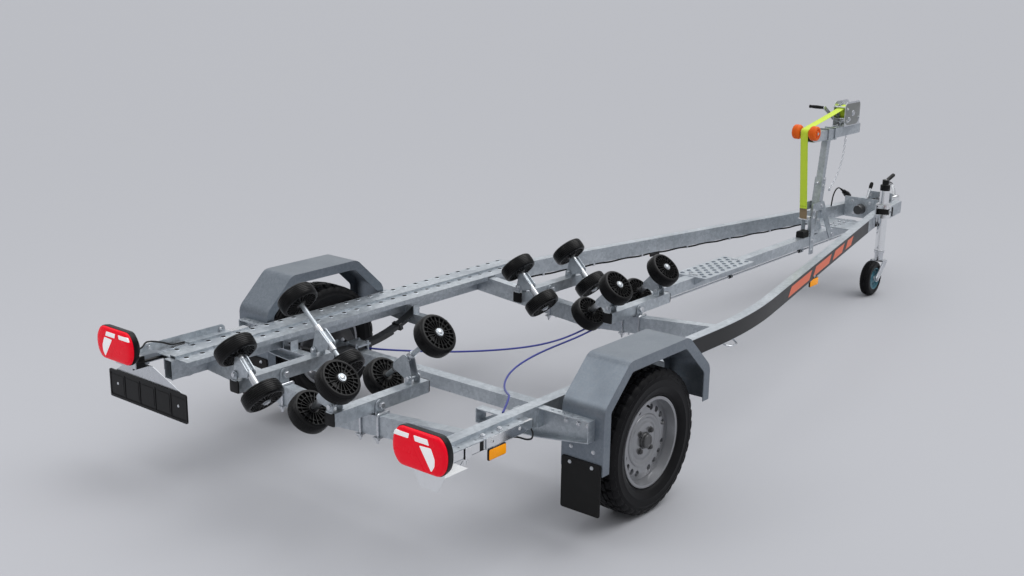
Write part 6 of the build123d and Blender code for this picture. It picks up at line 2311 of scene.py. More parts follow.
    def _drum(self, shop: Workshop) -> None:
        """The flanges and the strap wound in a spiral of layers.

        Args:
            shop: where the pieces are made.
        """
        dx, dz = self.drum
        place = frame_at((dx, 0.0, dz), (0, 1, 0), (1, 0, 0))
        wound = Shape()
        turns, steps, inner = 6.0, 300, 0.026
        loops = []
        for k in range(steps + 1):
            t = k / steps
            turn = math.pi * 0.62 - TURN * turns * (1.0 - t)
            r = inner + (self.roll_r - 0.0006 - inner) * t
            thick = 0.0027
            half = self.strap_w / 2 - 0.001 - 0.0006 * math.sin(k * 0.7)
            across = Vector((math.cos(turn), math.sin(turn), 0.0))
            loops.append(
                [
                    place @ (across * (r - o) + Vector((0, 0, h))) for o,
                    h in ((thick, -half), (thick, half), (0.0, half), (0.0, -half))
                ]
            )
        wound.rings(loops)
        shop.piece(
            wound, "wound_strap", Body.DRUM, Slot.STRAP, Finish.STRAP, replaces=("winch_drum",),
            smooth_angle=40
        )
        metal = Shape()
        for sign in (1.0, -1.0):
            flange = [
                (0.008, sign * 0.0246), (0.05, sign * 0.0246), (0.0518, sign * 0.0254),
                (0.0518, sign * 0.0266), (0.05, sign * 0.0274), (0.03, sign * 0.0274),
                (0.026, sign * 0.0262), (0.008, sign * 0.0262)
            ]
            metal.lathe(flange, place, 48, closed=True)
        metal.lathe([(0.0, -0.04), (0.0078, -0.04), (0.0078, 0.04), (0.0, 0.04)], place, 20)
        metal.lathe(
            [(0.0076, -0.0246), (0.0262, -0.0246), (0.0262, 0.0246), (0.0076, 0.0246)], place, 32,
            closed=True
        )
        shop.piece(metal, "drum_flanges", Body.DRUM, Slot.ZINC, Finish.ZINC, smooth_angle=40)

    def _crank(self, shop: Workshop) -> None:
        """The cranked arm, its hub with a lock nut, and the moulded grip.

        Args:
            shop: where the pieces are made.
        """
        x, z = self.crank
        tilt = math.radians(self.crank_tilt)
        ex, ez = x - self.crank_len * math.cos(tilt), z + self.crank_len * math.sin(tilt)
        y = 0.062
        shape = Shape()
        direction = Vector((ex - x, 0.0, ez - z)).normalized()
        place = frame_at((x, y, z), (0, 1, 0), direction)
        length = self.crank_len
        outline = []
        for k in range(13):
            turn = math.pi / 2 + math.pi * k / 12
            outline.append((0.0135 * math.cos(turn), 0.0135 * math.sin(turn)))
        for k in range(13):
            turn = -math.pi / 2 + math.pi * k / 12
            outline.append((length + 0.0115 * math.cos(turn), 0.0115 * math.sin(turn)))
        shape.prism(outline, 0.0004, 0.0066, place)
        shape.tube([(x, -0.041, z), (x, y + 0.001, z)], 0.0068, 16)
        shape.bolt((x, y + 0.0064, z), (0, 1, 0), 0.019, 0.006, False)
        shape.lathe(
            [(0.0, -0.012), (0.0125, -0.012), (0.013, -0.002), (0.0, -0.002)],
            frame_at((x, y, z), (0, 1, 0)), 24
        )
        shop.piece(
            shape, "crank_arm", Body.CRANK, Slot.ZINC, Finish.ZINC, replaces=("winch_crank",),
            bevel=0.0006
        )
        grip = Shape()
        seat = frame_at((ex, y + 0.0066, ez), (0, 1, 0))
        profile = [(0.0, 0.0), (0.0108, 0.0), (0.011, 0.004), (0.0085, 0.008)]
        for k in range(12):
            at = 0.012 + 0.0064 * k
            swell = 0.0092 + 0.0014 * math.sin(math.pi * k / 11)
            profile += [(swell, at), (swell + 0.0004, at + 0.003), (swell - 0.0005, at + 0.0046)]
        profile += [(0.01, 0.092), (0.0108, 0.095), (0.01, 0.0985), (0.006, 0.1), (0.0, 0.1)]
        grip.lathe(profile, seat, 32)
        shop.piece(grip, "crank_grip", Body.CRANK, Slot.PLASTIC, Finish.PLASTIC, smooth_angle=50)

    def _strap_line(self) -> list[Vector]:
        """The strap's line from the drum, over the core, down to its hook, in X and Z.

        Returns:
            The line's points.
        """
        wx, wz = self.drum
        bx, bz = self.bow
        sx, sz = bx - wx, bz - wz
        normal = math.atan2(sz, sx) - math.acos((self.roll_r - self.core_r) / math.hypot(sx, sz))
        tx, tz = self.strap_end[0] - bx, self.strap_end[1] - bz
        off = math.atan2(tz, tx) - math.acos(self.core_r / math.hypot(tx, tz))
        if off < normal:
            off += TURN
        mid_r = self.strap_t / 2
        roll, core = self.roll_r + mid_r, self.core_r + mid_r
        line = [Vector((wx + roll * math.cos(normal), 0.0, wz + roll * math.sin(normal)))]
        land = Vector((bx + core * math.cos(normal), 0.0, bz + core * math.sin(normal)))
        line += [
            line[0].lerp(land, t / 12) - Vector(
                (0, 0, 0.0016 * math.sin(math.pi * t / 12))
            ) for t in range(1, 12)
        ]
        for k in range(11):
            turn = normal + (off - normal) * k / 10
            line.append(Vector((bx + core * math.cos(turn), 0.0, bz + core * math.sin(turn))))
        last = line[-1]
        end = Vector((self.strap_end[0], 0.0, self.strap_end[1]))
        line += [last.lerp(end, t / 24) for t in range(1, 25)]
        return line

    def _strap(self, shop: Workshop) -> None:
        """The strap with its rolled edges, and the sewn loop at its lower end.

        Args:
            shop: where the pieces are made.
        """
        line = self._strap_line()
        shape = Shape()
        w, t = self.strap_w / 2, 0.0012
        section = [
            (-w, -t * 0.5), (-w + 0.0014, -t), (w - 0.0014, -t), (w, -t * 0.5), (w, t * 0.5),
            (w - 0.0014, t), (0.0, t * 0.9), (-w + 0.0014, t), (-w, t * 0.5)
        ]
        shape.follow(section, line)
        loop_at = [p for p in line if p.z < 0.64]
        lift = Vector((-0.0028, 0.0, 0.0))
        inner = [(-w + 0.0008, -0.0011), (w - 0.0008, -0.0011), (w - 0.0008, 0.0011), (-w + 0.0008, 0.0011)]
        shape.follow(inner, [p + lift for p in loop_at])
        rows = Shape()
        for k in range(5):
            z = 0.63 - 0.0085 * k
            near = min(line, key=lambda p: abs(p.z - z) if p.x < 1.5 and p.z < 0.9 else 9.0)
            x = near.x - 0.0046
            for j in range(14):
                y = -w + 0.004 + j * (2 * w - 0.008) / 13
                rows.box((x, y, z + (0.0012 if j % 2 else -0.0012)), (0.0009, 0.0024, 0.0008))
        shop.piece(
            shape, "strap_run", Body.FRAME, Slot.STRAP, Finish.STRAP, replaces=("winch_strap",),
            smooth_angle=60
        )
        shop.piece(rows, "strap_stitches", Body.FRAME, Slot.STRAP, Finish.RUBBER)

    def _hook(self, shop: Workshop) -> None:
        """The bright pin and snap hook that hold the strap's loop to the post.

        Args:
            shop: where the pieces are made.
        """
        shape = Shape()
        x, z = self.strap_end[0], 0.548
        shape.tube(
            bent(
                [
                    (x - 0.006, -0.03, z), (x - 0.006, 0.03, z), (x + 0.03, 0.03, z),
                    (x + 0.055, 0.012, z), (x + 0.066, 0.0, z)
                ],
                0.01, 4
            ),
            0.0038, 10
        )
        shape.tube(
            bent(
                [
                    (x - 0.006, -0.03, z), (x + 0.03, -0.03, z), (x + 0.055, -0.012, z),
                    (x + 0.066, 0.0, z)
                ],
                0.01, 4
            ),
            0.0038, 10
        )
        place = frame_at((x + 0.066, 0.0, z), (0, 1, 0))
        shape.lathe(
            [
                (0.0045, -0.015), (0.0082, -0.015), (0.0088, -0.013), (0.0088, 0.013), (0.0082, 0.015),
                (0.0045, 0.015)
            ],
            place, 20, closed=True
        )
        shape.bolt((self.foot_x, 0.0352, z), (0, 1, 0), 0.014, 0.007)
        shape.bolt((self.foot_x, -0.0352, z), (0, -1, 0), 0.014, 0.007)
        shop.piece(shape, "strap_hook", Body.FRAME, Slot.ZINC, Finish.CHROME)

    def _chain(self, shop: Workshop) -> None:
        """The safety chain that hangs from under the arm bar towards the post.

        Args:
            shop: where the pieces are made.
        """
        shape = Shape()
        a, b = Vector((1.93, -0.022, 1.018)), Vector((1.722, -0.034, 0.7))
        count = 21
        line = []
        for k in range(count + 1):
            t = k / count
            p = a.lerp(b, t) + Vector((0.045 * math.sin(math.pi * t), 0.0, -0.03 * math.sin(math.pi * t)))
            line.append(p)
        for k, (p, q) in enumerate(zip(line, line[1:])):
            along = (q - p).normalized()
            hint = Vector((0, 1, 0)) if k % 2 else along.cross(Vector((0, 1, 0)))
            place = frame_at((p + q) / 2, along, hint)
            length = (q - p).length
            half, wide = length * 0.5 - 0.001, 0.0052
            ring = []
            for j in range(16):
                turn = TURN * j / 16
                ring.append(
                    place @ Vector(
                        (
                            wide * math.cos(turn), 0.0,
                            half * math.sin(turn) + math.copysign(0.0022, math.sin(turn))
                        )
                    )
                )
            tube_r = 0.0019
            loops = []
            for j, c in enumerate(ring):
                ahead = (ring[(j + 1) % 16] - ring[j - 1]).normalized()
                out = (c - (p + q) / 2).normalized()
                out = (out - ahead * out.dot(ahead)).normalized()
                third = ahead.cross(out)
                loops.append(
                    [
                        c + (out * math.cos(s) + third * math.sin(s)) * tube_r for s in (
                            0.0, 1.0472, 2.0944, 3.1416, 4.1888, 5.236
                        )
                    ]
                )
            shape.rings(loops, caps=False, around=True)
        for at, up in ((a + Vector((0, 0, 0.002)), (0, 0, 1)), (b, (0, -1, 0))):
            shape.bolt(at, up, 0.013, 0.006)
        shop.piece(shape, "safety_chain", Body.FRAME, Slot.ZINC, Finish.ZINC)

    def _post_bolts(self, shop: Workshop) -> None:
        """Bolts of the foot plates, sleeve, bands and of the arm bar's clamp, and the bar's end plugs.

        Args:
            shop: where the pieces are made.
        """
        shape = Shape()
        slope = math.tan(self.lean)
        for side in (1.0, -1.0):
            for x, z, across in (
                (self.foot_x, 0.34, 0.017), (self.foot_x, 0.402, 0.017), (self.foot_x, 0.59, 0.017),
                (self.post_x + 0.205, 0.398, 0.017), (self.post_x + 0.158 * slope, 0.611, 0.017)
            ):
                shape.bolt((x, side * self.foot_face, z), (0, side, 0), across, 0.008, True, 0.0)
            for z in (0.52, 0.73, 0.77):
                x = self.post_x + (z - self.centre_top) * slope
                shape.bolt((x, side * self.post_face, z), (0, side, 0), 0.017, 0.008, True, 0.0)
        shape.bolt(
            (self.post_x + 0.319 * slope - 0.0256, 0.0, 0.752), (-1, 0, 0), 0.015, 0.012, True, 0.01
        )
        shop.piece(shape, "post_bolts", Body.FRAME, Slot.ZINC, Finish.ZINC)
        plate = Shape()
        top_x = self.post_x + (1.02 - self.centre_top) * slope
        plate.box((top_x, 0.0, 1.0165), (0.12, 0.078, 0.006))
        for sx in (-0.045, 0.045):
            for sy in (-0.0345, 0.0345):
                plate.tube([(top_x + sx, sy, 1.01), (top_x + sx, sy, 1.084)], 0.004, 10)
        for sx in (-0.045, 0.045):
            plate.tube(
                bent(
                    [
                        (top_x + sx, -0.0345, 1.08), (top_x + sx, -0.0345, 1.0845),
                        (top_x + sx, 0.0345, 1.0845), (top_x + sx, 0.0345, 1.08)
                    ],
                    0.004, 3
                ),
                0.004, 10
            )
        shop.piece(plate, "arm_bar_clamp", Body.FRAME, Slot.GALVANISED, Finish.GALVANISED, bevel=0.0006)
        ends = Shape()
        place = frame_at((2.11, 0.0, 1.05), (1, 0, 0), (0, 1, 0))
        ends.rings(
            [
                [place @ Vector((x, y, h)) for x, y in rounded(w, w, 0.005, 3)] for w,
                h in ((0.051, -0.012), (0.051, 0.0), (0.06, 0.0003), (0.06, 0.0026), (0.056, 0.0042))
            ]
        )
        shop.piece(ends, "arm_bar_plug", Body.FRAME, Slot.PLASTIC, Finish.PLASTIC)

    def _keel_block(self, shop: Workshop) -> None:
        """The rubber keel block with its grooves and bolt pocket.

        Args:
            shop: where the pieces are made.
        """
        shape = Shape()
        x, z = 1.47, self.centre_top
        outline = softened(
            [
                (-0.025, 0.0), (0.025, 0.0), (0.025, 0.034), (0.018, 0.0415), (-0.018, 0.0415),
                (-0.025, 0.034)
            ],
            0.004, 4
        )
        place = frame_at((x, 0.0, z), (1, 0, 0), (0, 1, 0))
        loops = []
        for k in range(15):
            at = -0.035 + 0.005 * k
            pinch = 0.94 if k % 2 and 0 < k < 14 else 1.0
            loops.append([place @ Vector((a * pinch, b * (0.96 + 0.04 * pinch), at)) for a, b in outline])
        shape.rings(loops)
        shop.piece(
            shape, "keel_rest", Body.FRAME, Slot.RUBBER, Finish.RUBBER, replaces=("keel_block",),
            smooth_angle=30
        )


# ---------------------------------------------------------------- nose, coupling and jockey wheel


@dataclass(frozen=True)
class Coupling:
    """The overrun housing with its flanges, the bellows, the ball head, its handle and the hand brake."""

    z: float = 0.485
    rear: float = 2.255
    front: float = 2.63
    tube_r: float = 0.034
    bellows_end: float = 2.735
    ball_x: float = 2.833
    head_low: float = 0.449
    head_high: float = 0.511

    def build(self, shop: Workshop) -> None:
        """Makes the coupling.

        Args:
            shop: where the pieces are made.
        """
        self._housing(shop)
        self._bellows(shop)
        self._head(shop)
        self._handle(shop)
        self._hand_brake(shop)
        self._fittings(shop)

    def _housing(self, shop: Workshop) -> None:
        """The cast tube with flanges, grease nipples and ribs.

        Args:
            shop: where the pieces are made.
        """
        shape = Shape()
        place = frame_at((self.rear, 0.0, self.z), (1, 0, 0), (0, 1, 0))
        r, end = self.tube_r, self.front - self.rear
        shape.lathe(
            [
                (0.0, 0.0), (r * 0.84, 0.0), (r * 0.92, 0.006), (r * 0.92, 0.04), (r - 0.0004, 0.047),
                (r - 0.0004, 0.062), (r * 0.93, 0.07), (r * 0.93, 0.15), (r * 0.96, 0.156),
                (r * 0.96, 0.19), (r * 0.93, 0.196), (r * 0.93, 0.3), (r - 0.0004, 0.33),
                (r - 0.0004, 0.352), (r * 0.95, end - 0.01), (r * 0.95, end), (0.0, end)
            ],
            place, 48
        )
        for sign in (1.0, -1.0):
            shape.box((self.rear + 0.225, sign * 0.026, self.z + 0.0265), (0.2, 0.009, 0.01))
        for x in (2.25 + 0.0105, 2.25 + 0.345):
            ring = frame_at((x + 0.058, 0.0, self.z), (1, 0, 0), (0, 1, 0))
            shape.prism(rounded(0.084, 0.084, 0.018, 4), -0.0045, 0.0045, ring)
        shape.finish = 1
        for x in (2.43, 2.59):
            shape.lathe(
                [
                    (0.0, 0.0), (0.005, 0.0), (0.005, 0.005), (0.003, 0.006), (0.003, 0.01),
                    (0.0038, 0.012), (0.0, 0.014)
                ],
                frame_at((x, 0.0, self.z + 0.031), (0, 0, 1)), 16
            )
        for x in (2.25 + 0.0105 + 0.0625, 2.25 + 0.345 + 0.0625):
            for y in (-0.031, 0.031):
                for dz in (-0.031, 0.031):
                    shape.bolt((x, y, self.z + dz), (1, 0, 0), 0.014, 0.007, True, 0.0)
        shop.piece(
            shape, "overrun_housing", Body.FRAME, Slot.COUPLING, Finish.CASTING, Finish.ZINC,
            replaces=("coupling_housing",), bevel=0.0008
        )

    def _bellows(self, shop: Workshop) -> None:
        """The folded rubber bellows and its end collars.

        Args:
            shop: where the pieces are made.
        """
        shape = Shape()
        length = self.bellows_end - self.front
        place = frame_at((self.front, 0.0, self.z), (1, 0, 0), (0, 1, 0))
        profile = [(0.0, -0.004), (0.0322, -0.004), (0.033, -0.002), (0.033, 0.007), (0.03, 0.009)]
        folds = 8
        for k in range(folds):
            start = 0.01 + (length - 0.02) * k / folds
            step = (length - 0.02) / folds
            swell = 0.03 - 0.0034 * k / folds
            profile += [
                (swell - 0.0068, start + step * 0.06), (swell - 0.0012, start + step * 0.34),
                (swell, start + step * 0.5), (swell - 0.0012, start + step * 0.66),
                (swell - 0.0068, start + step * 0.94)
            ]
        profile += [
            (0.025, length - 0.009), (0.0258, length - 0.007), (0.0258, length + 0.001),
            (0.0, length + 0.001)
        ]
        shape.lathe(profile, place, 48)
        shop.piece(shape, "coupling_bellows", Body.FRAME, Slot.COUPLING, Finish.RUBBER, smooth_angle=60)

    def _head(self, shop: Workshop) -> None:
        """The pressed head: a neck that swells into the ball's cup, open below.

        Args:
            shop: where the pieces are made.
        """
        shape = Shape()
        loops = []
        low, high = self.head_low, self.head_high
        spans = (
            (2.728, 0.023, 0.466, 0.504), (2.738, 0.0255, 0.462, 0.507), (2.765, 0.0262, 0.458, 0.508),
            (2.788, 0.03, 0.453, 0.509), (2.804, 0.0365, low, 0.5105), (2.82, 0.0405, low, high),
            (2.833, 0.0418, low, high), (2.848, 0.0392, low, 0.5095), (2.861, 0.0315, low, 0.505),
            (2.87, 0.0205, low, 0.496), (2.8745, 0.0085, low, 0.484)
        )
        for x, half, z0, z1 in spans:
            ring = rounded(2 * half, z1 - z0, min(half, (z1 - z0) / 2) * 0.46, 5)
            mid = (z0 + z1) / 2
            loops.append([Vector((x, a, mid + b)) for a, b in ring])
        shape.rings(loops)
        flange = rounded(0.1, 0.0836, 0.04, 8)
        place = Matrix.Translation((self.ball_x - 0.008, 0.0, low))
        shape.sheet(flange, [circle(0.008, 0.0, 0.0252, 28)], 0.0, 0.0052, place)
        shape.finish = 1
        shape.lathe(
            [(0.025, 0.0004), (0.025, 0.006), (0.0215, 0.02), (0.012, 0.029), (0.0, 0.032)],
            Matrix.Translation((self.ball_x, 0.0, low)), 32
        )
        for x in (2.748, 2.778):
            for sign in (1.0, -1.0):
                shape.bolt((x, sign * 0.0262, 0.484), (0, sign, 0), 0.014, 0.007, True, 0.0)
        shop.piece(
            shape, "ball_head", Body.FRAME, Slot.COUPLING, Finish.CHROME, Finish.ZINC,
            replaces=("coupling_head",), smooth_angle=40
        )

    def _handle(self, shop: Workshop) -> None:
        """The head's curved handle, flanged along both edges.

        Args:
            shop: where the pieces are made.
        """
        shape = Shape()
        p0, p1, p2 = Vector((2.846, 0.0, 0.51)), Vector((2.826, 0.0, 0.604)), Vector((2.676, 0.0, 0.618))
        line = [p0 * (1 - t) ** 2 + p1 * 2 * t * (1 - t) + p2 * t**2 for t in (k / 18 for k in range(19))]
        section = [
            (-0.0128, -0.0052), (-0.0128, 0.003), (-0.0092, 0.0034), (-0.0092, -0.0012),
            (0.0092, -0.0012), (0.0092, 0.0034), (0.0128, 0.003), (0.0128, -0.0052), (0.01, -0.006),
            (-0.01, -0.006)
        ]
        shape.follow(section, line)
        shape.finish = 1
        tail = line[-8:]
        grip = [(0.0142 * math.cos(a), 0.0085 * math.sin(a)) for a in (TURN * k / 16 for k in range(16))]
        shape.follow(grip, tail)
        shop.piece(
            shape, "head_handle", Body.FRAME, Slot.COUPLING, Finish.CHROME, Finish.PLASTIC, bevel=0.0005,
            smooth_angle=45
        )

    def _hand_brake(self, shop: Workshop) -> None:
        """The hand-brake lever at the housing's left, its quadrant and its black knob.

        Args:
            shop: where the pieces are made.
        """
        shape = Shape()
        x, z = 2.5, 0.487
        arm = [(2.5, 0.052, 0.487), (2.53, 0.054, 0.54), (2.56, 0.054, 0.585)]
        shape.tube(bent(arm, 0.03, 4), 0.0085, 14)
        quadrant = []
        for k in range(15):
            turn = math.radians(20 + 10 * k)
            quadrant.append((0.052 * math.cos(turn), 0.052 * math.sin(turn)))
        quadrant += [(-0.026, 0.004), (0.026, 0.004)]
        shape.prism(quadrant, -0.0025, 0.0025, frame_at((x, 0.0445, z - 0.01), (0, -1, 0), (1, 0, 0)))
        shape.lathe(
            [
                (0.0, -0.016), (0.012, -0.016), (0.013, -0.012), (0.013, 0.012), (0.012, 0.016),
                (0.0, 0.016)
            ],
            frame_at((x, 0.049, z), (0, 1, 0)), 24
        )
        shape.tube([(2.3, 0.048, 0.452), (2.492, 0.05, 0.468)], 0.0095, 14)
        shape.finish = 1
        knob = frame_at((2.56, 0.054, 0.585), (0.5, 0.0, 0.865))
        shape.lathe(
            [
                (0.0, -0.004), (0.0105, -0.004), (0.0122, 0.004), (0.013, 0.016), (0.0125, 0.03),
                (0.0095, 0.04), (0.0, 0.044)
            ],
            knob, 24
        )
        shop.piece(
            shape, "hand_brake", Body.FRAME, Slot.COUPLING, Finish.ZINC, Finish.PLASTIC, smooth_angle=45
        )

    def _fittings(self, shop: Workshop) -> None:
        """Bolts of the nose plates and gusset, the step's bolts, and the collars round the step's holes.

        Args:
            shop: where the pieces are made.
        """
        shape = Shape()
        for x in (2.305, 2.595):
            for y in (-0.06, 0.06):
                shape.bolt((x, y, 0.532), (-1, 0, 0), 0.015, 0.007, True, 0.0)
        for x in (1.9, 1.96, 2.03, 2.09):
            for y in (-0.018, 0.018):
                shape.bolt((x, y, 0.438), (0, 0, 1), 0.017, 0.008, True, 0.0)
        for x in (1.9, 2.08):
            for sign in (1.0, -1.0):
                y = BEAM.face(x - AXLE_X, sign).y - sign * 0.078
                shape.bolt((x, y, 0.438), (0, 0, 1), 0.017, 0.008, True, 0.0)
        shop.piece(shape, "nose_bolts", Body.FRAME, Slot.ZINC, Finish.ZINC)
        step = Shape()
        for x in (0.19, 0.65):
            for y in (-0.018, 0.018):
                step.bolt((x, y, 0.436), (0, 0, 1), 0.015, 0.006, True, 0.0)
        shop.piece(step, "step_bolts", Body.FRAME, Slot.ZINC, Finish.ZINC)
        collars = Shape()
        columns = 8
        for row in range(-2, 3):
            count = columns if row % 2 == 0 else columns - 1
            for k in range(count):
                x = station(2.125) + (k - (count - 1) / 2) * 0.066
                y = row * 0.034
                if abs(y) < 0.03 and abs(x - 0.42) > 0.215:
                    continue
                place = Matrix.Translation((x, y, 0.436))
                collars.lathe(
                    [
                        (0.0092, -0.0004), (0.0092, 0.0026), (0.0102, 0.0032), (0.0118, 0.002),
                        (0.013, -0.0004)
                    ],
                    place, 20
                )
        shop.piece(collars, "step_collars", Body.FRAME, Slot.GALVANISED, Finish.SHEET, smooth_angle=50)


@dataclass(frozen=True)
class JockeyWheel:
    """The jockey wheel: clamp, tube with its cap and handle, leg, fork and wheel."""

    axis: tuple[float, float] = (2.10359, -0.24057)
    hub: tuple[float, float, float] = (2.00359, -0.24057, 0.112)
    radius: float = 0.112
    top: float = 0.7

    def build(self, shop: Workshop) -> None:
        """Makes every piece of the jockey wheel.

        Args:
            shop: where the pieces are made.
        """
        self._clamp(shop)
        self._top(shop)
        self._collars(shop)
        self._fork(shop)
        self._wheel(shop)

    def _clamp(self, shop: Workshop) -> None:
        """The bright clamp bracket with its dark pads, its screw and its wing handle.

        Args:
            shop: where the pieces are made.
        """
        x, y = self.axis
        turn = math.radians(11.8)
        place = Matrix.Translation((x, y, 0.0)) @ Matrix.Rotation(turn, 4, "Z")
        band = Shape()
        for low, high in ((0.494, 0.518), (0.556, 0.58)):
            outline = rounded(0.084, 0.083, 0.012, 5)
            inner = circle(0.0, 0.0, 0.0383, 32)
            band.sheet(outline, [inner], low, high, place)
        shop.piece(band, "jockey_clamp_bands", Body.FRAME, Slot.ZINC, Finish.CHROME, bevel=0.0008)
        pads = Shape()
        pads.sheet(circle(0.0, 0.0, 0.039, 36), [circle(0.0, 0.0, 0.0304, 36)], 0.5185, 0.5555, place)
        shop.piece(pads, "jockey_clamp_pads", Body.FRAME, Slot.RUBBER, Finish.RUBBER, bevel=0.0006)
        screw = Shape()
        at = place @ Vector((0.0, -0.0415, 0.537))
        out = (place.to_3x3() @ Vector((0.0, -1.0, 0.0))).normalized()
        seat = frame_at(at, out, (0, 0, 1))
        screw.lathe(
            [
                (0.0, -0.004), (0.011, -0.004), (0.011, 0.006), (0.007, 0.008), (0.007, 0.016),
                (0.0, 0.016)
            ],
            seat, 20
        )
        screw.finish = 1
        wing = [(0.03 * math.cos(TURN * k / 20), 0.0085 * math.sin(TURN * k / 20)) for k in range(20)]
        screw.prism(wing, 0.012, 0.02, seat)
        for lug in (-0.035, 0.035):
            for z in (0.445, 0.568):
                bolt_at = place @ Vector((lug, 0.0325, z))
                screw.bolt(bolt_at, out, 0.015, 0.007, True, 0.0)
        shop.piece(
            screw, "jockey_clamp_screw", Body.FRAME, Slot.ZINC, Finish.ZINC, Finish.PLASTIC, bevel=0.0006
        )

    def _top(self, shop: Workshop) -> None:
        """The tube's black cap, its knob and the folding handle.

        Args:
            shop: where the pieces are made.
        """
        x, y = self.axis
        shape = Shape()
        place = Matrix.Translation((x, y, self.top))
        shape.lathe(
            [
                (0.0302, -0.03), (0.0312, -0.028), (0.0314, 0.0), (0.03, 0.0055), (0.0222, 0.0075),
                (0.0206, 0.01), (0.0206, 0.0366), (0.0196, 0.0386), (0.0, 0.039)
            ],
            place, 40
        )
        tilt = math.radians(14.0)
        axis = Vector((math.cos(tilt), 0.0, math.sin(tilt)))
        seat = frame_at((x, y, self.top + 0.027), axis, (0, 0, 1))
        profile = [(0.0, 0.01), (0.0114, 0.01), (0.0114, 0.03), (0.0118, 0.034)]
        for k in range(9):
            at = 0.038 + 0.0078 * k
            profile += [(0.0122, at), (0.0125, at + 0.004), (0.0114, at + 0.0062)]
        profile += [(0.0124, 0.109), (0.012, 0.1142), (0.0113, 0.1156), (0.0, 0.116)]
        shape.lathe(profile, seat, 28)
        shop.piece(shape, "jockey_handle", Body.TUBE, Slot.PLASTIC, Finish.PLASTIC, smooth_angle=45)

    def _collars(self, shop: Workshop) -> None:
        """The tube's lower collar and two small bolts in it.

        Args:
            shop: where the pieces are made.
        """
        x, y = self.axis
        shape = Shape()
        shape.lathe(
            [
                (0.03, 0.0), (0.0322, 0.0006), (0.0326, 0.003), (0.0326, 0.017), (0.0318, 0.019),
                (0.03, 0.0196)
            ],
            Matrix.Translation((x, y, 0.262)), 40
        )
        shape.finish = 1
        for side in (0.0, math.pi):
            for z in (0.3,):
                at = Vector((x + 0.03 * math.cos(side), y + 0.03 * math.sin(side), z))
                shape.bolt(at, (math.cos(side), math.sin(side), 0), 0.012, 0.0045, False)
        shop.piece(shape, "jockey_tube_collar", Body.TUBE, Slot.ZINC, Finish.ZINC, Finish.ZINC)

    def _fork(self, shop: Workshop) -> None:
        """The fork's axle nuts, its swivel collar and its folded edges.

        Args:
            shop: where the pieces are made.
        """
        x, y, z = self.hub
        shape = Shape()
        for sign in (1.0, -1.0):
            shape.bolt((x, y + sign * 0.044, z), (0, sign, 0), 0.022, 0.008, True, 0.0)
        shape.lathe(
            [(0.0125, 0.0), (0.024, 0.0), (0.0252, 0.0014), (0.024, 0.0034), (0.0125, 0.0034)],
            Matrix.Translation((self.axis[0], self.axis[1], 0.2112)), 32, closed=True
        )
        for sign in (1.0, -1.0):
            side = y + sign * 0.0438
            rim = [(2.0835, side, 0.204), (2.042, side, 0.164), (1.9885, side, 0.1245)]
            shape.tube(rim, 0.0022, 8)
            rim = [(2.136, side, 0.2), (2.09, side, 0.15), (2.016, side, 0.0955)]
            shape.tube(rim, 0.0022, 8)
        shop.piece(shape, "jockey_fork_fittings", Body.FORK, Slot.ZINC, Finish.ZINC)

    def _wheel(self, shop: Workshop) -> None:
        """A ribbed solid tyre on a two-part painted rim.

        Args:
            shop: where the pieces are made.
        """
        place = frame_at(self.hub, (0, 1, 0), (1, 0, 0))
        r = self.radius
        half = [
            (0.0655, 0.0215), (0.0665, 0.028), (0.07, 0.0304), (0.078, 0.031), (0.079, 0.03),
            (0.0805, 0.031), (0.092, 0.0309), (0.099, 0.0292), (0.105, 0.024), (0.1064, 0.0205),
            (0.1094, 0.0185), (0.1102, 0.015), (0.1076, 0.0138), (0.1076, 0.011), (0.111, 0.0098),
            (r - 0.0003, 0.005), (0.109, 0.0036), (0.109, 0.0014), (r - 0.0001, 0.0004)
        ]
        tyre = Shape()
        tyre.lathe(half + [(a, -b) for a, b in reversed(half)], place, 72, closed=True)
        for k in range(36):
            for sign in (1.0, -1.0):
                turn = place @ Matrix.Rotation(TURN * (k + (0.5 if sign > 0 else 0.0)) / 36, 4, "Z")
                loops = []
                for rad, h, wide in (
                    (0.0985, 0.0286, 0.0026), (0.1056, 0.0226, 0.003), (0.1085, 0.0182, 0.003)
                ):
                    loops.append(
                        [
                            turn @ Vector((rad + dr, w, sign * (h + dh))) for dr, w,
                            dh in (
                                (-0.002, -wide, -0.002), (-0.002, wide, -0.002),
                                (0.0012, wide * 0.8, 0.001), (0.0012, -wide * 0.8, 0.001)
                            )
                        ]
                    )
                tyre.rings(loops)
        shop.piece(
            tyre, "jockey_tyre", Body.JOCKEY, Slot.TYRE, Finish.TYRE, replaces=("jockey_wheel",),
            smooth_angle=35
        )
        rim = Shape()
        for sign in (1.0, -1.0):
            rim.lathe(
                [
                    (0.066, sign * 0.0225), (0.068, sign * 0.0285), (0.07, sign * 0.03),
                    (0.0685, sign * 0.0306), (0.064, sign * 0.0286), (0.06, sign * 0.018),
                    (0.048, sign * 0.015), (0.033, sign * 0.017), (0.024, sign * 0.024),
                    (0.0172, sign * 0.025), (0.0172, sign * 0.012), (0.06, sign * 0.0105),
                    (0.065, sign * 0.02)
                ],
                place, 56, closed=True
            )
            for k in range(5):
                turn = TURN * k / 5
                at = place @ Vector((0.041 * math.cos(turn), 0.041 * math.sin(turn), sign * 0.0158))
                rim.bolt(at, (0, sign, 0), 0.011, 0.005, False)
        rim.finish = 1
        rim.lathe(
            [
                (0.0103, -0.0372), (0.016, -0.0372), (0.0165, -0.036), (0.0165, 0.036), (0.016, 0.0372),
                (0.0103, 0.0372)
            ],
            place, 28, closed=True
        )
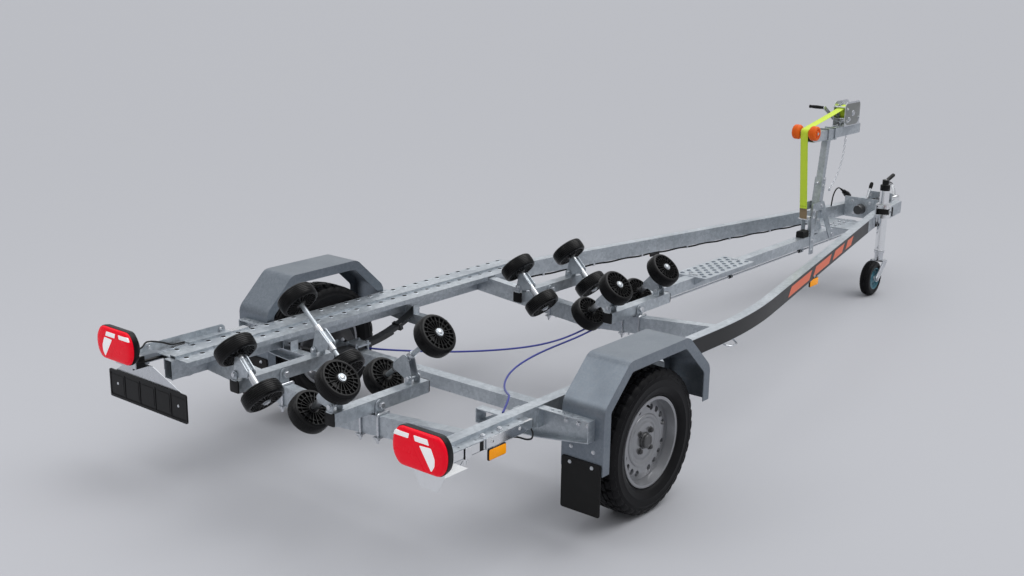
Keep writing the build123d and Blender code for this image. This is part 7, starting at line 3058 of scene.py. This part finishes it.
        shop.piece(
            rim, "jockey_rim", Body.JOCKEY, Slot.WHEEL, Finish.JOCKEY_RIM, Finish.ZINC, smooth_angle=40
        )


# ---------------------------------------------------------------- lamps, their arms and the plate holder


@dataclass(frozen=True)
class Lamp:
    """A rear lamp: black housing, a bulged red lens, white reflex bars and a triangle."""

    tail: float = -2.875
    deep: float = 0.052
    mid_y: float = 0.834
    mid_z: float = 0.58
    width: float = 0.244
    tall: float = 0.14

    def _outline(self, grow: float, side: float) -> list[tuple[float, float]]:
        """The lamp's face: straight top and bottom, bulging ends with chamfered corners.

        Args:
            grow: how far it is moved outwards.
            side: 1 for the left, -1 for the right.

        Returns:
            The outline's points.
        """
        w, h = self.width / 2 + grow, self.tall / 2 + grow
        corners = [
            (w - 0.03, h), (w - 0.006, h - 0.03), (w, 0.0), (w - 0.006, -h + 0.03), (w - 0.03, -h),
            (-w + 0.03, -h), (-w + 0.006, -h + 0.03), (-w, 0.0), (-w + 0.006, h - 0.03), (-w + 0.03, h)
        ]
        return [(side * x, y) for x, y in softened(corners, 0.022, 4)]

    def build(self, shop: Workshop, name: str, side: float) -> None:
        """Makes one lamp.

        Args:
            shop: where the pieces are made.
            name: the side's name.
            side: 1 for the left, -1 for the right.
        """
        body = f"light_arm_{name}"
        place = frame_at((self.tail, side * self.mid_y, self.mid_z), (-1, 0, 0), (0, 1, 0))
        flip = Matrix.Scale(1.0 if (place.to_3x3() @ Vector((0, 1, 0))).z > 0 else -1.0, 4, (0, 1, 0))
        place = place @ flip
        house = Shape()
        levels = (
            (-0.014, -self.deep), (-0.003, -self.deep + 0.01), (-0.0006, -0.026), (-0.0006, -0.016),
            (-0.004, -0.015)
        )
        house.rings([[place @ Vector((x, y, h)) for x, y in self._outline(g, side)] for g, h in levels])
        shop.piece(
            house, f"lamp_housing_{name}", body, Slot.PLASTIC, Finish.PLASTIC, replaces=(f"lamp_{name}",),
            smooth_angle=40
        )
        lens = Shape()
        face = (
            (-0.0022, -0.017), (-0.0026, -0.009), (-0.006, -0.0045), (-0.013, -0.0018), (-0.028, -0.0007)
        )
        lens.rings([[place @ Vector((x, y, h)) for x, y in self._outline(g, side)] for g, h in face])
        shop.piece(lens, f"lamp_lens_{name}", body, Slot.LENS, Finish.LENS, smooth_angle=60)
        self._reflex(shop, name, side, place)
        self._mount(shop, name, side)

    def _reflex(self, shop: Workshop, name: str, side: float, place: Matrix) -> None:
        """White bars, a white triangle and the seams between the lamp's chambers.

        Args:
            shop: where the pieces are made.
            name: the side's name.
            side: 1 for the left, -1 for the right.
            place: the lamp's placement.
        """
        shape = Shape()
        bars = (
            [(-0.108, 0.036), (-0.042, 0.036), (-0.038, 0.053), (-0.1, 0.053)],
            [(-0.012, 0.034), (0.05, 0.034), (0.042, 0.053), (-0.018, 0.053)]
        )
        for bar in bars:
            self._pad(shape, [(side * x, y) for x, y in bar], place, 0.003)
        wedge = [(0.006, 0.024), (0.058, 0.027), (0.074, -0.008), (0.073, -0.032), (0.059, -0.054)]
        self._pad(shape, [(side * x, y) for x, y in wedge], place, 0.005)
        shop.piece(
            shape, f"lamp_reflex_{name}", f"light_arm_{name}", Slot.LENS, Finish.REFLEX, smooth_angle=50
        )
        ribs = Shape()
        for x0, y0, x1, y1 in (
            (-0.108, 0.029, 0.1, 0.029), (0.0, 0.024, 0.056, -0.06), (-0.034, 0.029, 0.03, -0.062),
            (-0.108, -0.016, -0.006, -0.016)
        ):
            a = place @ Vector((side * x0, y0, -0.0012))
            b = place @ Vector((side * x1, y1, -0.0012))
            ribs.tube([a, b], 0.001, 8)
        shop.piece(ribs, f"lamp_seams_{name}", f"light_arm_{name}", Slot.LENS, Finish.LENS)

    def _pad(self, shape: Shape, corners: Sequence[Point], place: Matrix, radius: float) -> None:
        """A thin raised patch on the lens.

        Args:
            shape: the mesh being built.
            corners: the outline's corners, in order.
            place: the lamp's placement.
            radius: the corners' radius.
        """
        outline = softened(corners, radius, 3)
        cx = sum(p[0] for p in outline) / len(outline)
        cy = sum(p[1] for p in outline) / len(outline)
        loops = []
        for shrink, h in ((1.0, -0.006), (1.0, -0.0004), (0.94, 0.0)):
            loops.append(
                [place @ Vector((cx + (x - cx) * shrink, cy + (y - cy) * shrink, h)) for x, y in outline]
            )
        shape.rings(loops)

    def _mount(self, shop: Workshop, name: str, side: float) -> None:
        """The plate bolts and the cable gland behind the lamp.

        Args:
            shop: where the pieces are made.
            name: the side's name.
            side: 1 for the left, -1 for the right.
        """
        shape = Shape()
        x = self.tail + self.deep
        spots = [(-0.05, 0.6), (0.05, 0.6)]
        if side < 0:
            spots += [(-0.018, 0.462), (0.018, 0.462)]
        for dy, z in spots:
            shape.bolt((x + 0.004, side * self.mid_y + dy, z), (1, 0, 0), 0.013, 0.006, True, 0.004)
        shape.finish = 1
        gland = frame_at((x + 0.003, side * (self.mid_y - 0.06), 0.56), (1, 0, 0))
        shape.lathe(
            [
                (0.0, 0.0), (0.0115, 0.0), (0.0115, 0.008), (0.0085, 0.01), (0.008, 0.022),
                (0.0045, 0.026), (0.0, 0.026)
            ],
            gland, 20
        )
        shop.piece(
            shape, f"lamp_mount_{name}", f"light_arm_{name}", Slot.ZINC, Finish.ZINC, Finish.RUBBER,
            bevel=0.0004
        )


@dataclass(frozen=True)
class ArmPlace:
    """Where one lamp's sliding arm and its guide stand, for a side of the trailer."""

    y: float
    z: float
    guide_rear: float
    guide_front: float


ARM_PLACES = {
    1.0: ArmPlace(0.8303, 0.497, -2.527, -2.307), -1.0: ArmPlace(0.7608, 0.4692, -2.471, -2.254)
}


@dataclass(frozen=True)
class LampArms:
    """The sliding arms' end plugs and cables, the guides' bolts and clamps, and the side reflectors."""

    half: float = 0.0175
    wall: float = 0.0033
    front: float = -2.205

    def build(self, shop: Workshop) -> None:
        """Makes both arms' details.

        Args:
            shop: where the pieces are made.
        """
        for name, side in SIDES:
            self._arm(shop, name, side, ARM_PLACES[side])
        self._left_fittings(shop, ARM_PLACES[1.0])
        self._right_fittings(shop, ARM_PLACES[-1.0])
        self._reflectors(shop)
        self._plate_holder(shop)

    def _arm(self, shop: Workshop, name: str, side: float, arm: ArmPlace) -> None:
        """Plug in the arm's front end, and the cable that runs from the arm to the lamp.

        Args:
            shop: where the pieces are made.
            name: the side's name.
            side: 1 for the left, -1 for the right.
            arm: where the arm and its guide stand.
        """
        shape = Shape()
        place = frame_at((self.front, side * arm.y, arm.z), (1, 0, 0), (0, 1, 0))
        shape.rings(
            [
                [place @ Vector((a, b, h)) for a, b in rounded(w, w, r, 3)] for w, r,
                h in (
                    (0.029, 0.002, -0.012), (0.029, 0.002, 0.0), (0.0348, 0.004, 0.0002),
                    (0.0348, 0.005, 0.003), (0.031, 0.006, 0.0052)
                )
            ]
        )
        if side > 0:
            route = [
                (-2.799, 0.774, 0.56), (-2.78, 0.774, 0.566), (-2.745, 0.8, 0.574), (-2.7, 0.822, 0.562),
                (-2.64, 0.832, 0.54), (-2.6, 0.834, 0.52), (-2.56, 0.832, 0.5188), (-2.535, 0.83, 0.5184)
            ]
        else:
            route = [
                (-2.799, -0.774, 0.56), (-2.77, -0.776, 0.556), (-2.742, -0.8, 0.52),
                (-2.722, -0.806, 0.47), (-2.705, -0.802, 0.446), (-2.68, -0.788, 0.444),
                (-2.64, -0.766, 0.447), (-2.56, -0.76, 0.4478), (-2.5, -0.76, 0.4478)
            ]
        shape.tube(bent(route, 0.03, 5), 0.0036, 10)
        shop.piece(
            shape, f"lamp_arm_cable_{name}", f"light_arm_{name}", Slot.PLASTIC, Finish.PLASTIC,
            bevel=0.0003
        )

    def _left_fittings(self, shop: Workshop, arm: ArmPlace) -> None:
        """The left guide's screen bolts, and the toggle clamp and black stay beside the lamp.

        Args:
            shop: where the pieces are made.
            arm: where the arm and its guide stand.
        """
        shape = Shape()
        inner = arm.y + self.half + 0.0004
        for x, z in ((-2.335, 0.527), (-2.7, 0.532)):
            shape.bolt((x, inner, z), (0, -1, 0), 0.015, 0.006, False, 0.003)
        shop.piece(shape, "lamp_guide_bolts_left", Body.FRAME, Slot.ZINC, Finish.ZINC, bevel=0.0004)
        stay = Shape()
        low = arm.z - self.half
        stay.box((-2.78, arm.y - 0.022, 0.49), (0.056, 0.006, 0.048))
        stay.tube([(-2.805, arm.y - 0.02, 0.49), (-2.64, arm.y - 0.02, 0.49)], 0.0062, 12)
        stay.finish = 1
        stay.box((-2.64, arm.y - 0.0215, low - 0.018), (0.034, 0.006, 0.06))
        stay.prism(
            softened(
                [(-0.012, -0.05), (0.012, -0.05), (0.018, 0.0), (0.008, 0.016), (-0.012, 0.012)], 0.004, 3
            ),
            -0.004, 0.004, frame_at((-2.646, arm.y - 0.03, low - 0.03), (0, -1, 0), (1, 0, 0))
        )
        shop.piece(
            stay, "lamp_stay_left", "light_arm_left", Slot.PLASTIC, Finish.PLASTIC, Finish.CASTING,
            bevel=0.0006
        )

    def _right_fittings(self, shop: Workshop, arm: ArmPlace) -> None:
        """The right guide's bright cover and bolts, its clamp, the arm's ring and a cable loop.

        Args:
            shop: where the pieces are made.
            arm: where the arm and its guide stand.
        """
        shape = Shape()
        out = -(arm.y + self.half + self.wall)
        low = arm.z - self.half - self.wall
        top = arm.z + self.half + self.wall
        middle = (arm.guide_rear + arm.guide_front) / 2
        length = arm.guide_front - arm.guide_rear
        shape.box((middle, out - 0.0006, arm.z + 0.001), (length - 0.002, 0.0012, 0.038))
        for x in (arm.guide_rear + 0.03, arm.guide_front - 0.03):
            shape.bolt((x, out - 0.001, arm.z + 0.004), (0, -1, 0), 0.012, 0.004, False, 0.0)
        shape.finish = 1
        for x in (arm.guide_rear + 0.005, arm.guide_rear + 0.096):
            shape.bolt((x, -arm.y, top + 0.0004), (0, 0, 1), 0.017, 0.008, True, 0.003)
        shop.piece(
            shape, "lamp_guide_bolts_right", Body.FRAME, Slot.ZINC, Finish.CHROME, Finish.ZINC,
            bevel=0.0004
        )
        clamp = Shape()
        at = station(-0.862)
        clamp.box((at, out - 0.0021, (top + low) / 2 - 0.0025), (0.03, 0.003, top - low + 0.001))
        clamp.box((at, -arm.y, low - 0.004), (0.03, 2 * (self.half + self.wall) + 0.003, 0.003))
        stem = frame_at((at, -arm.y - 0.006, low - 0.0055), (0, 0, -1), (1, 0, 0))
        clamp.lathe(
            [(0.0, 0.0), (0.0105, 0.0), (0.0105, 0.006), (0.0065, 0.007), (0.005, 0.026), (0.0, 0.0262)],
            stem, 20
        )
        for sign in (1.0, -1.0):
            wing = [
                (0.004, 0.006), (0.01, 0.007), (0.022, 0.016), (0.024, 0.021), (0.02, 0.023),
                (0.01, 0.016), (0.004, 0.013)
            ]
            clamp.prism(
                [(sign * a, b) for a, b in softened(wing, 0.002, 2)], -0.002, 0.002,
                stem @ Matrix.Rotation(math.pi / 2, 4, "X")
            )
        shop.piece(clamp, "lamp_arm_clamp_right", Body.FRAME, Slot.ZINC, Finish.CHROME, bevel=0.0005)
        ring = Shape()
        for box_at, size in (
            (
                (arm.guide_rear - 0.02, -(arm.y + self.half + 0.0008), arm.z - 0.0006),
                (0.018, 0.002, 0.035)
            ),
            ((arm.guide_rear - 0.02, -arm.y, arm.z - self.half - 0.0008), (0.018, 0.037, 0.002))
        ):
            ring.box(box_at, size)
        shop.piece(
            ring, "lamp_arm_ring_right", "light_arm_right", Slot.PLASTIC, Finish.PLASTIC, bevel=0.0006
        )
        loop = Shape()
        line = [
            (arm.guide_front - 0.06, -arm.y, low - 0.0036),
            (arm.guide_front - 0.03, -arm.y - 0.012, low - 0.01),
            (arm.guide_front + 0.01, -arm.y - 0.022, low - 0.03),
            (arm.guide_front + 0.045, -arm.y - 0.02, low - 0.038),
            (arm.guide_front + 0.07, -arm.y - 0.004, low - 0.026),
            (arm.guide_front + 0.072, -arm.y + 0.012, low - 0.006),
            (arm.guide_front + 0.05, -arm.y + 0.0165, low + 0.006)
        ]
        loop.tube(bent(line, 0.02, 5), 0.0034, 10)
        shop.piece(loop, "lamp_cable_loop_right", Body.FRAME, Slot.PLASTIC, Finish.PLASTIC)

    def _reflectors(self, shop: Workshop) -> None:
        """Amber side reflectors in black frames, under the lamps' guides and on the beams.

        Args:
            shop: where the pieces are made.
        """
        for name, side in SIDES:
            shape, frame = Shape(), Shape()
            arm = ARM_PLACES[side]
            skin = side * (arm.y + self.half + self.wall)
            spots = [(-2.414, skin + side * 0.003, arm.z - 0.044, (1.0, 0.0, 0.0))]
            p = BEAM.face(2.3, side)
            spots.append((p.x, p.y + side * 0.0012, 0.408, (1.0, side * BEAM.slope(2.3), 0.0)))
            for x, y, z, along in spots:
                place = frame_at((x, y, z), (0, side, 0), along)
                frame.rings(
                    [
                        [place @ Vector((a, b, h)) for a, b in rounded(w, t, 0.006, 4)] for w, t,
                        h in ((0.098, 0.044, -0.005), (0.098, 0.044, 0.0), (0.094, 0.04, 0.0022))
                    ]
                )
                shape.rings(
                    [
                        [place @ Vector((a, b, h)) for a, b in rounded(w, t, 0.005, 4)] for w, t,
                        h in ((0.093, 0.039, 0.001), (0.092, 0.038, 0.0036), (0.088, 0.034, 0.0046))
                    ]
                )
                frame.finish = 1
                frame.box((x, y - side * 0.0035, z + 0.018), (0.04, 0.003, 0.036))
                frame.finish = 0
            shop.piece(
                shape, f"side_reflectors_{name}", Body.FRAME, Slot.PLASTIC, Finish.AMBER, smooth_angle=50
            )
            shop.piece(
                frame, f"side_reflector_frames_{name}", Body.FRAME, Slot.PLASTIC, Finish.PLASTIC,
                Finish.ZINC, bevel=0.0004
            )

    def _plate_holder(self, shop: Workshop) -> None:
        """The black number-plate holder: a raised rim, five blank panels, clips and screws.

        Args:
            shop: where the pieces are made.
        """
        x, y, z = -2.756, 0.793, 0.349
        wide, tall = 0.52, 0.122
        place = frame_at((x - 0.004, y, z), (-1, 0, 0), (0, 1, 0))
        shape = Shape()
        outer = rounded(wide, tall, 0.008, 4)
        inner = rounded(wide - 0.016, tall - 0.022, 0.005, 4)
        shape.rings(
            [
                [
                    place @ Vector((a, b, h)) for a, b in rounded(wide - 2 * g, tall - 2 * g, 0.008, 4)
                ] for g,
                h in ((0.001, -0.008), (0.0, -0.007), (0.0, -0.0035), (0.0006, -0.0028))
            ]
        )
        shape.sheet(outer, [inner], -0.003, 0.0, place)
        for k in range(4):
            across = -wide / 2 + wide * (k + 1) / 5
            shape.prism(
                [
                    (across - 0.0022, -tall / 2 + 0.01), (across + 0.0022, -tall / 2 + 0.01),
                    (across + 0.0022, tall / 2 - 0.01), (across - 0.0022, tall / 2 - 0.01)
                ],
                -0.003, -0.0006, place
            )
        for k in range(5):
            across = -wide / 2 + wide * (k + 0.5) / 5
            panel = softened(
                [
                    (across - 0.043, -0.04), (across + 0.043, -0.04), (across + 0.043, 0.04),
                    (across - 0.043, 0.04)
                ],
                0.006, 3
            )
            shape.rings([[place @ Vector((a, b, h)) for a, b in panel] for h in (-0.003, -0.0016)])
        shape.finish = 1
        for across in (-0.205, 0.205):
            shape.lathe(
                [(0.0, -0.0002), (0.005, -0.0004), (0.0062, -0.0014), (0.0062, -0.0022), (0.0, -0.0022)],
                place @ Matrix.Translation((across, -0.004, 0.0)), 20
            )
        shop.piece(
            shape, "plate_holder_moulding", "light_arm_left", Slot.PLASTIC, Finish.PLASTIC, Finish.ZINC,
            replaces=("plate_holder",), bevel=0.0004
        )
        clips = Shape()
        sheet_z = 0.4795
        for dy in (-0.05, 0.05):
            clips.bolt((x + 0.008, 0.8303 + dy, 0.452), (1, 0, 0), 0.013, 0.006, True, 0.003)
        clips.box((x + 0.0175, 0.8303, sheet_z - 0.004), (0.028, 0.034, 0.006))
        shop.piece(clips, "plate_sheet_bolts", "light_arm_left", Slot.ZINC, Finish.ZINC, bevel=0.0005)


# ---------------------------------------------------------------- the whole trailer


NODE_FINISHES: dict[Finish, tuple[str, ...]] = {
    Finish.GALVANISED: (
        "side_beam_left", "side_beam_right", "cross_members", "centre_beam", "outrigger_arms",
        "walkway_and_rail", "step_plate", "axle_beam", "winch_post", "nose_plates",
        *(f"rocker_{end}_{side}" for end in ("rear", "front") for side, _ in SIDES),
        *(f"yoke_{pair.name}_{side}" for pair in PAIRS for side, _ in SIDES)
    ),
    Finish.SHEET: ("mudguard_left", "mudguard_right"),
    Finish.ZINC: (
        "brake_rod", "winch_frame", "jockey_clamp", "jockey_leg", "jockey_fork", "light_arm_left"
    ),
    Finish.CHROME: ("jockey_tube", "light_arm_right"), Finish.SPRING: ("leaf_springs",),
    Finish.WHEEL: ("rim_left", "rim_right")
}


class Trailer:
    """The whole boat trailer, one sub-assembly at a time."""

    def __init__(self, frame: dict[str, Any]) -> None:
        """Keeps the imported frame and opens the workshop."""
        self.frame = frame
        self.shop = Workshop(Paints())

    def cords(self) -> None:
        """Makes the free cords, each with what hangs on it."""
        HOSE_LEFT.build(self.shop)
        HOSE_RIGHT.build(self.shop)
        plug = Plug().build(self.shop)
        PLUG_CABLE.build(self.shop, [plug])

    def chassis(self) -> None:
        """Makes the chassis's details."""
        for part in (SideBand(), Walkway(), CrossFittings(), Underframe()):
            part.build(self.shop)

    def running_gear(self) -> None:
        """Makes the wheels, axle fittings and mudguards."""
        for name, side in SIDES:
            Tyre().build(self.shop, name, side)
            WheelDress().build(self.shop, name, side)
        AxleDress().build(self.shop)
        Mudguard().build(self.shop)

    def upper_works(self) -> None:
        """Makes the bogies, winch, nose, jockey wheel and lamps."""
        Bogies().build(self.shop)
        Winch().build(self.shop)
        Coupling().build(self.shop)
        JockeyWheel().build(self.shop)
        for name, side in SIDES:
            Lamp().build(self.shop, name, side)
        LampArms().build(self.shop)

    def paint(self) -> None:
        """Finishes the nodes that stay as the part has them."""
        for finish, names in NODE_FINISHES.items():
            self.shop.paint_nodes(self.frame["nodes"], names, finish)


def main() -> None:
    """Builds the scene."""
    logging.basicConfig(level=logging.WARNING)
    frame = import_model()
    Viewpoint().build()
    trailer = Trailer(frame)
    trailer.cords()
    trailer.chassis()
    trailer.running_gear()
    trailer.upper_works()
    trailer.paint()
    Studio().build()
    LOG.info("%d pieces", trailer.shop.count)


if __name__ == "__main__":
    main()
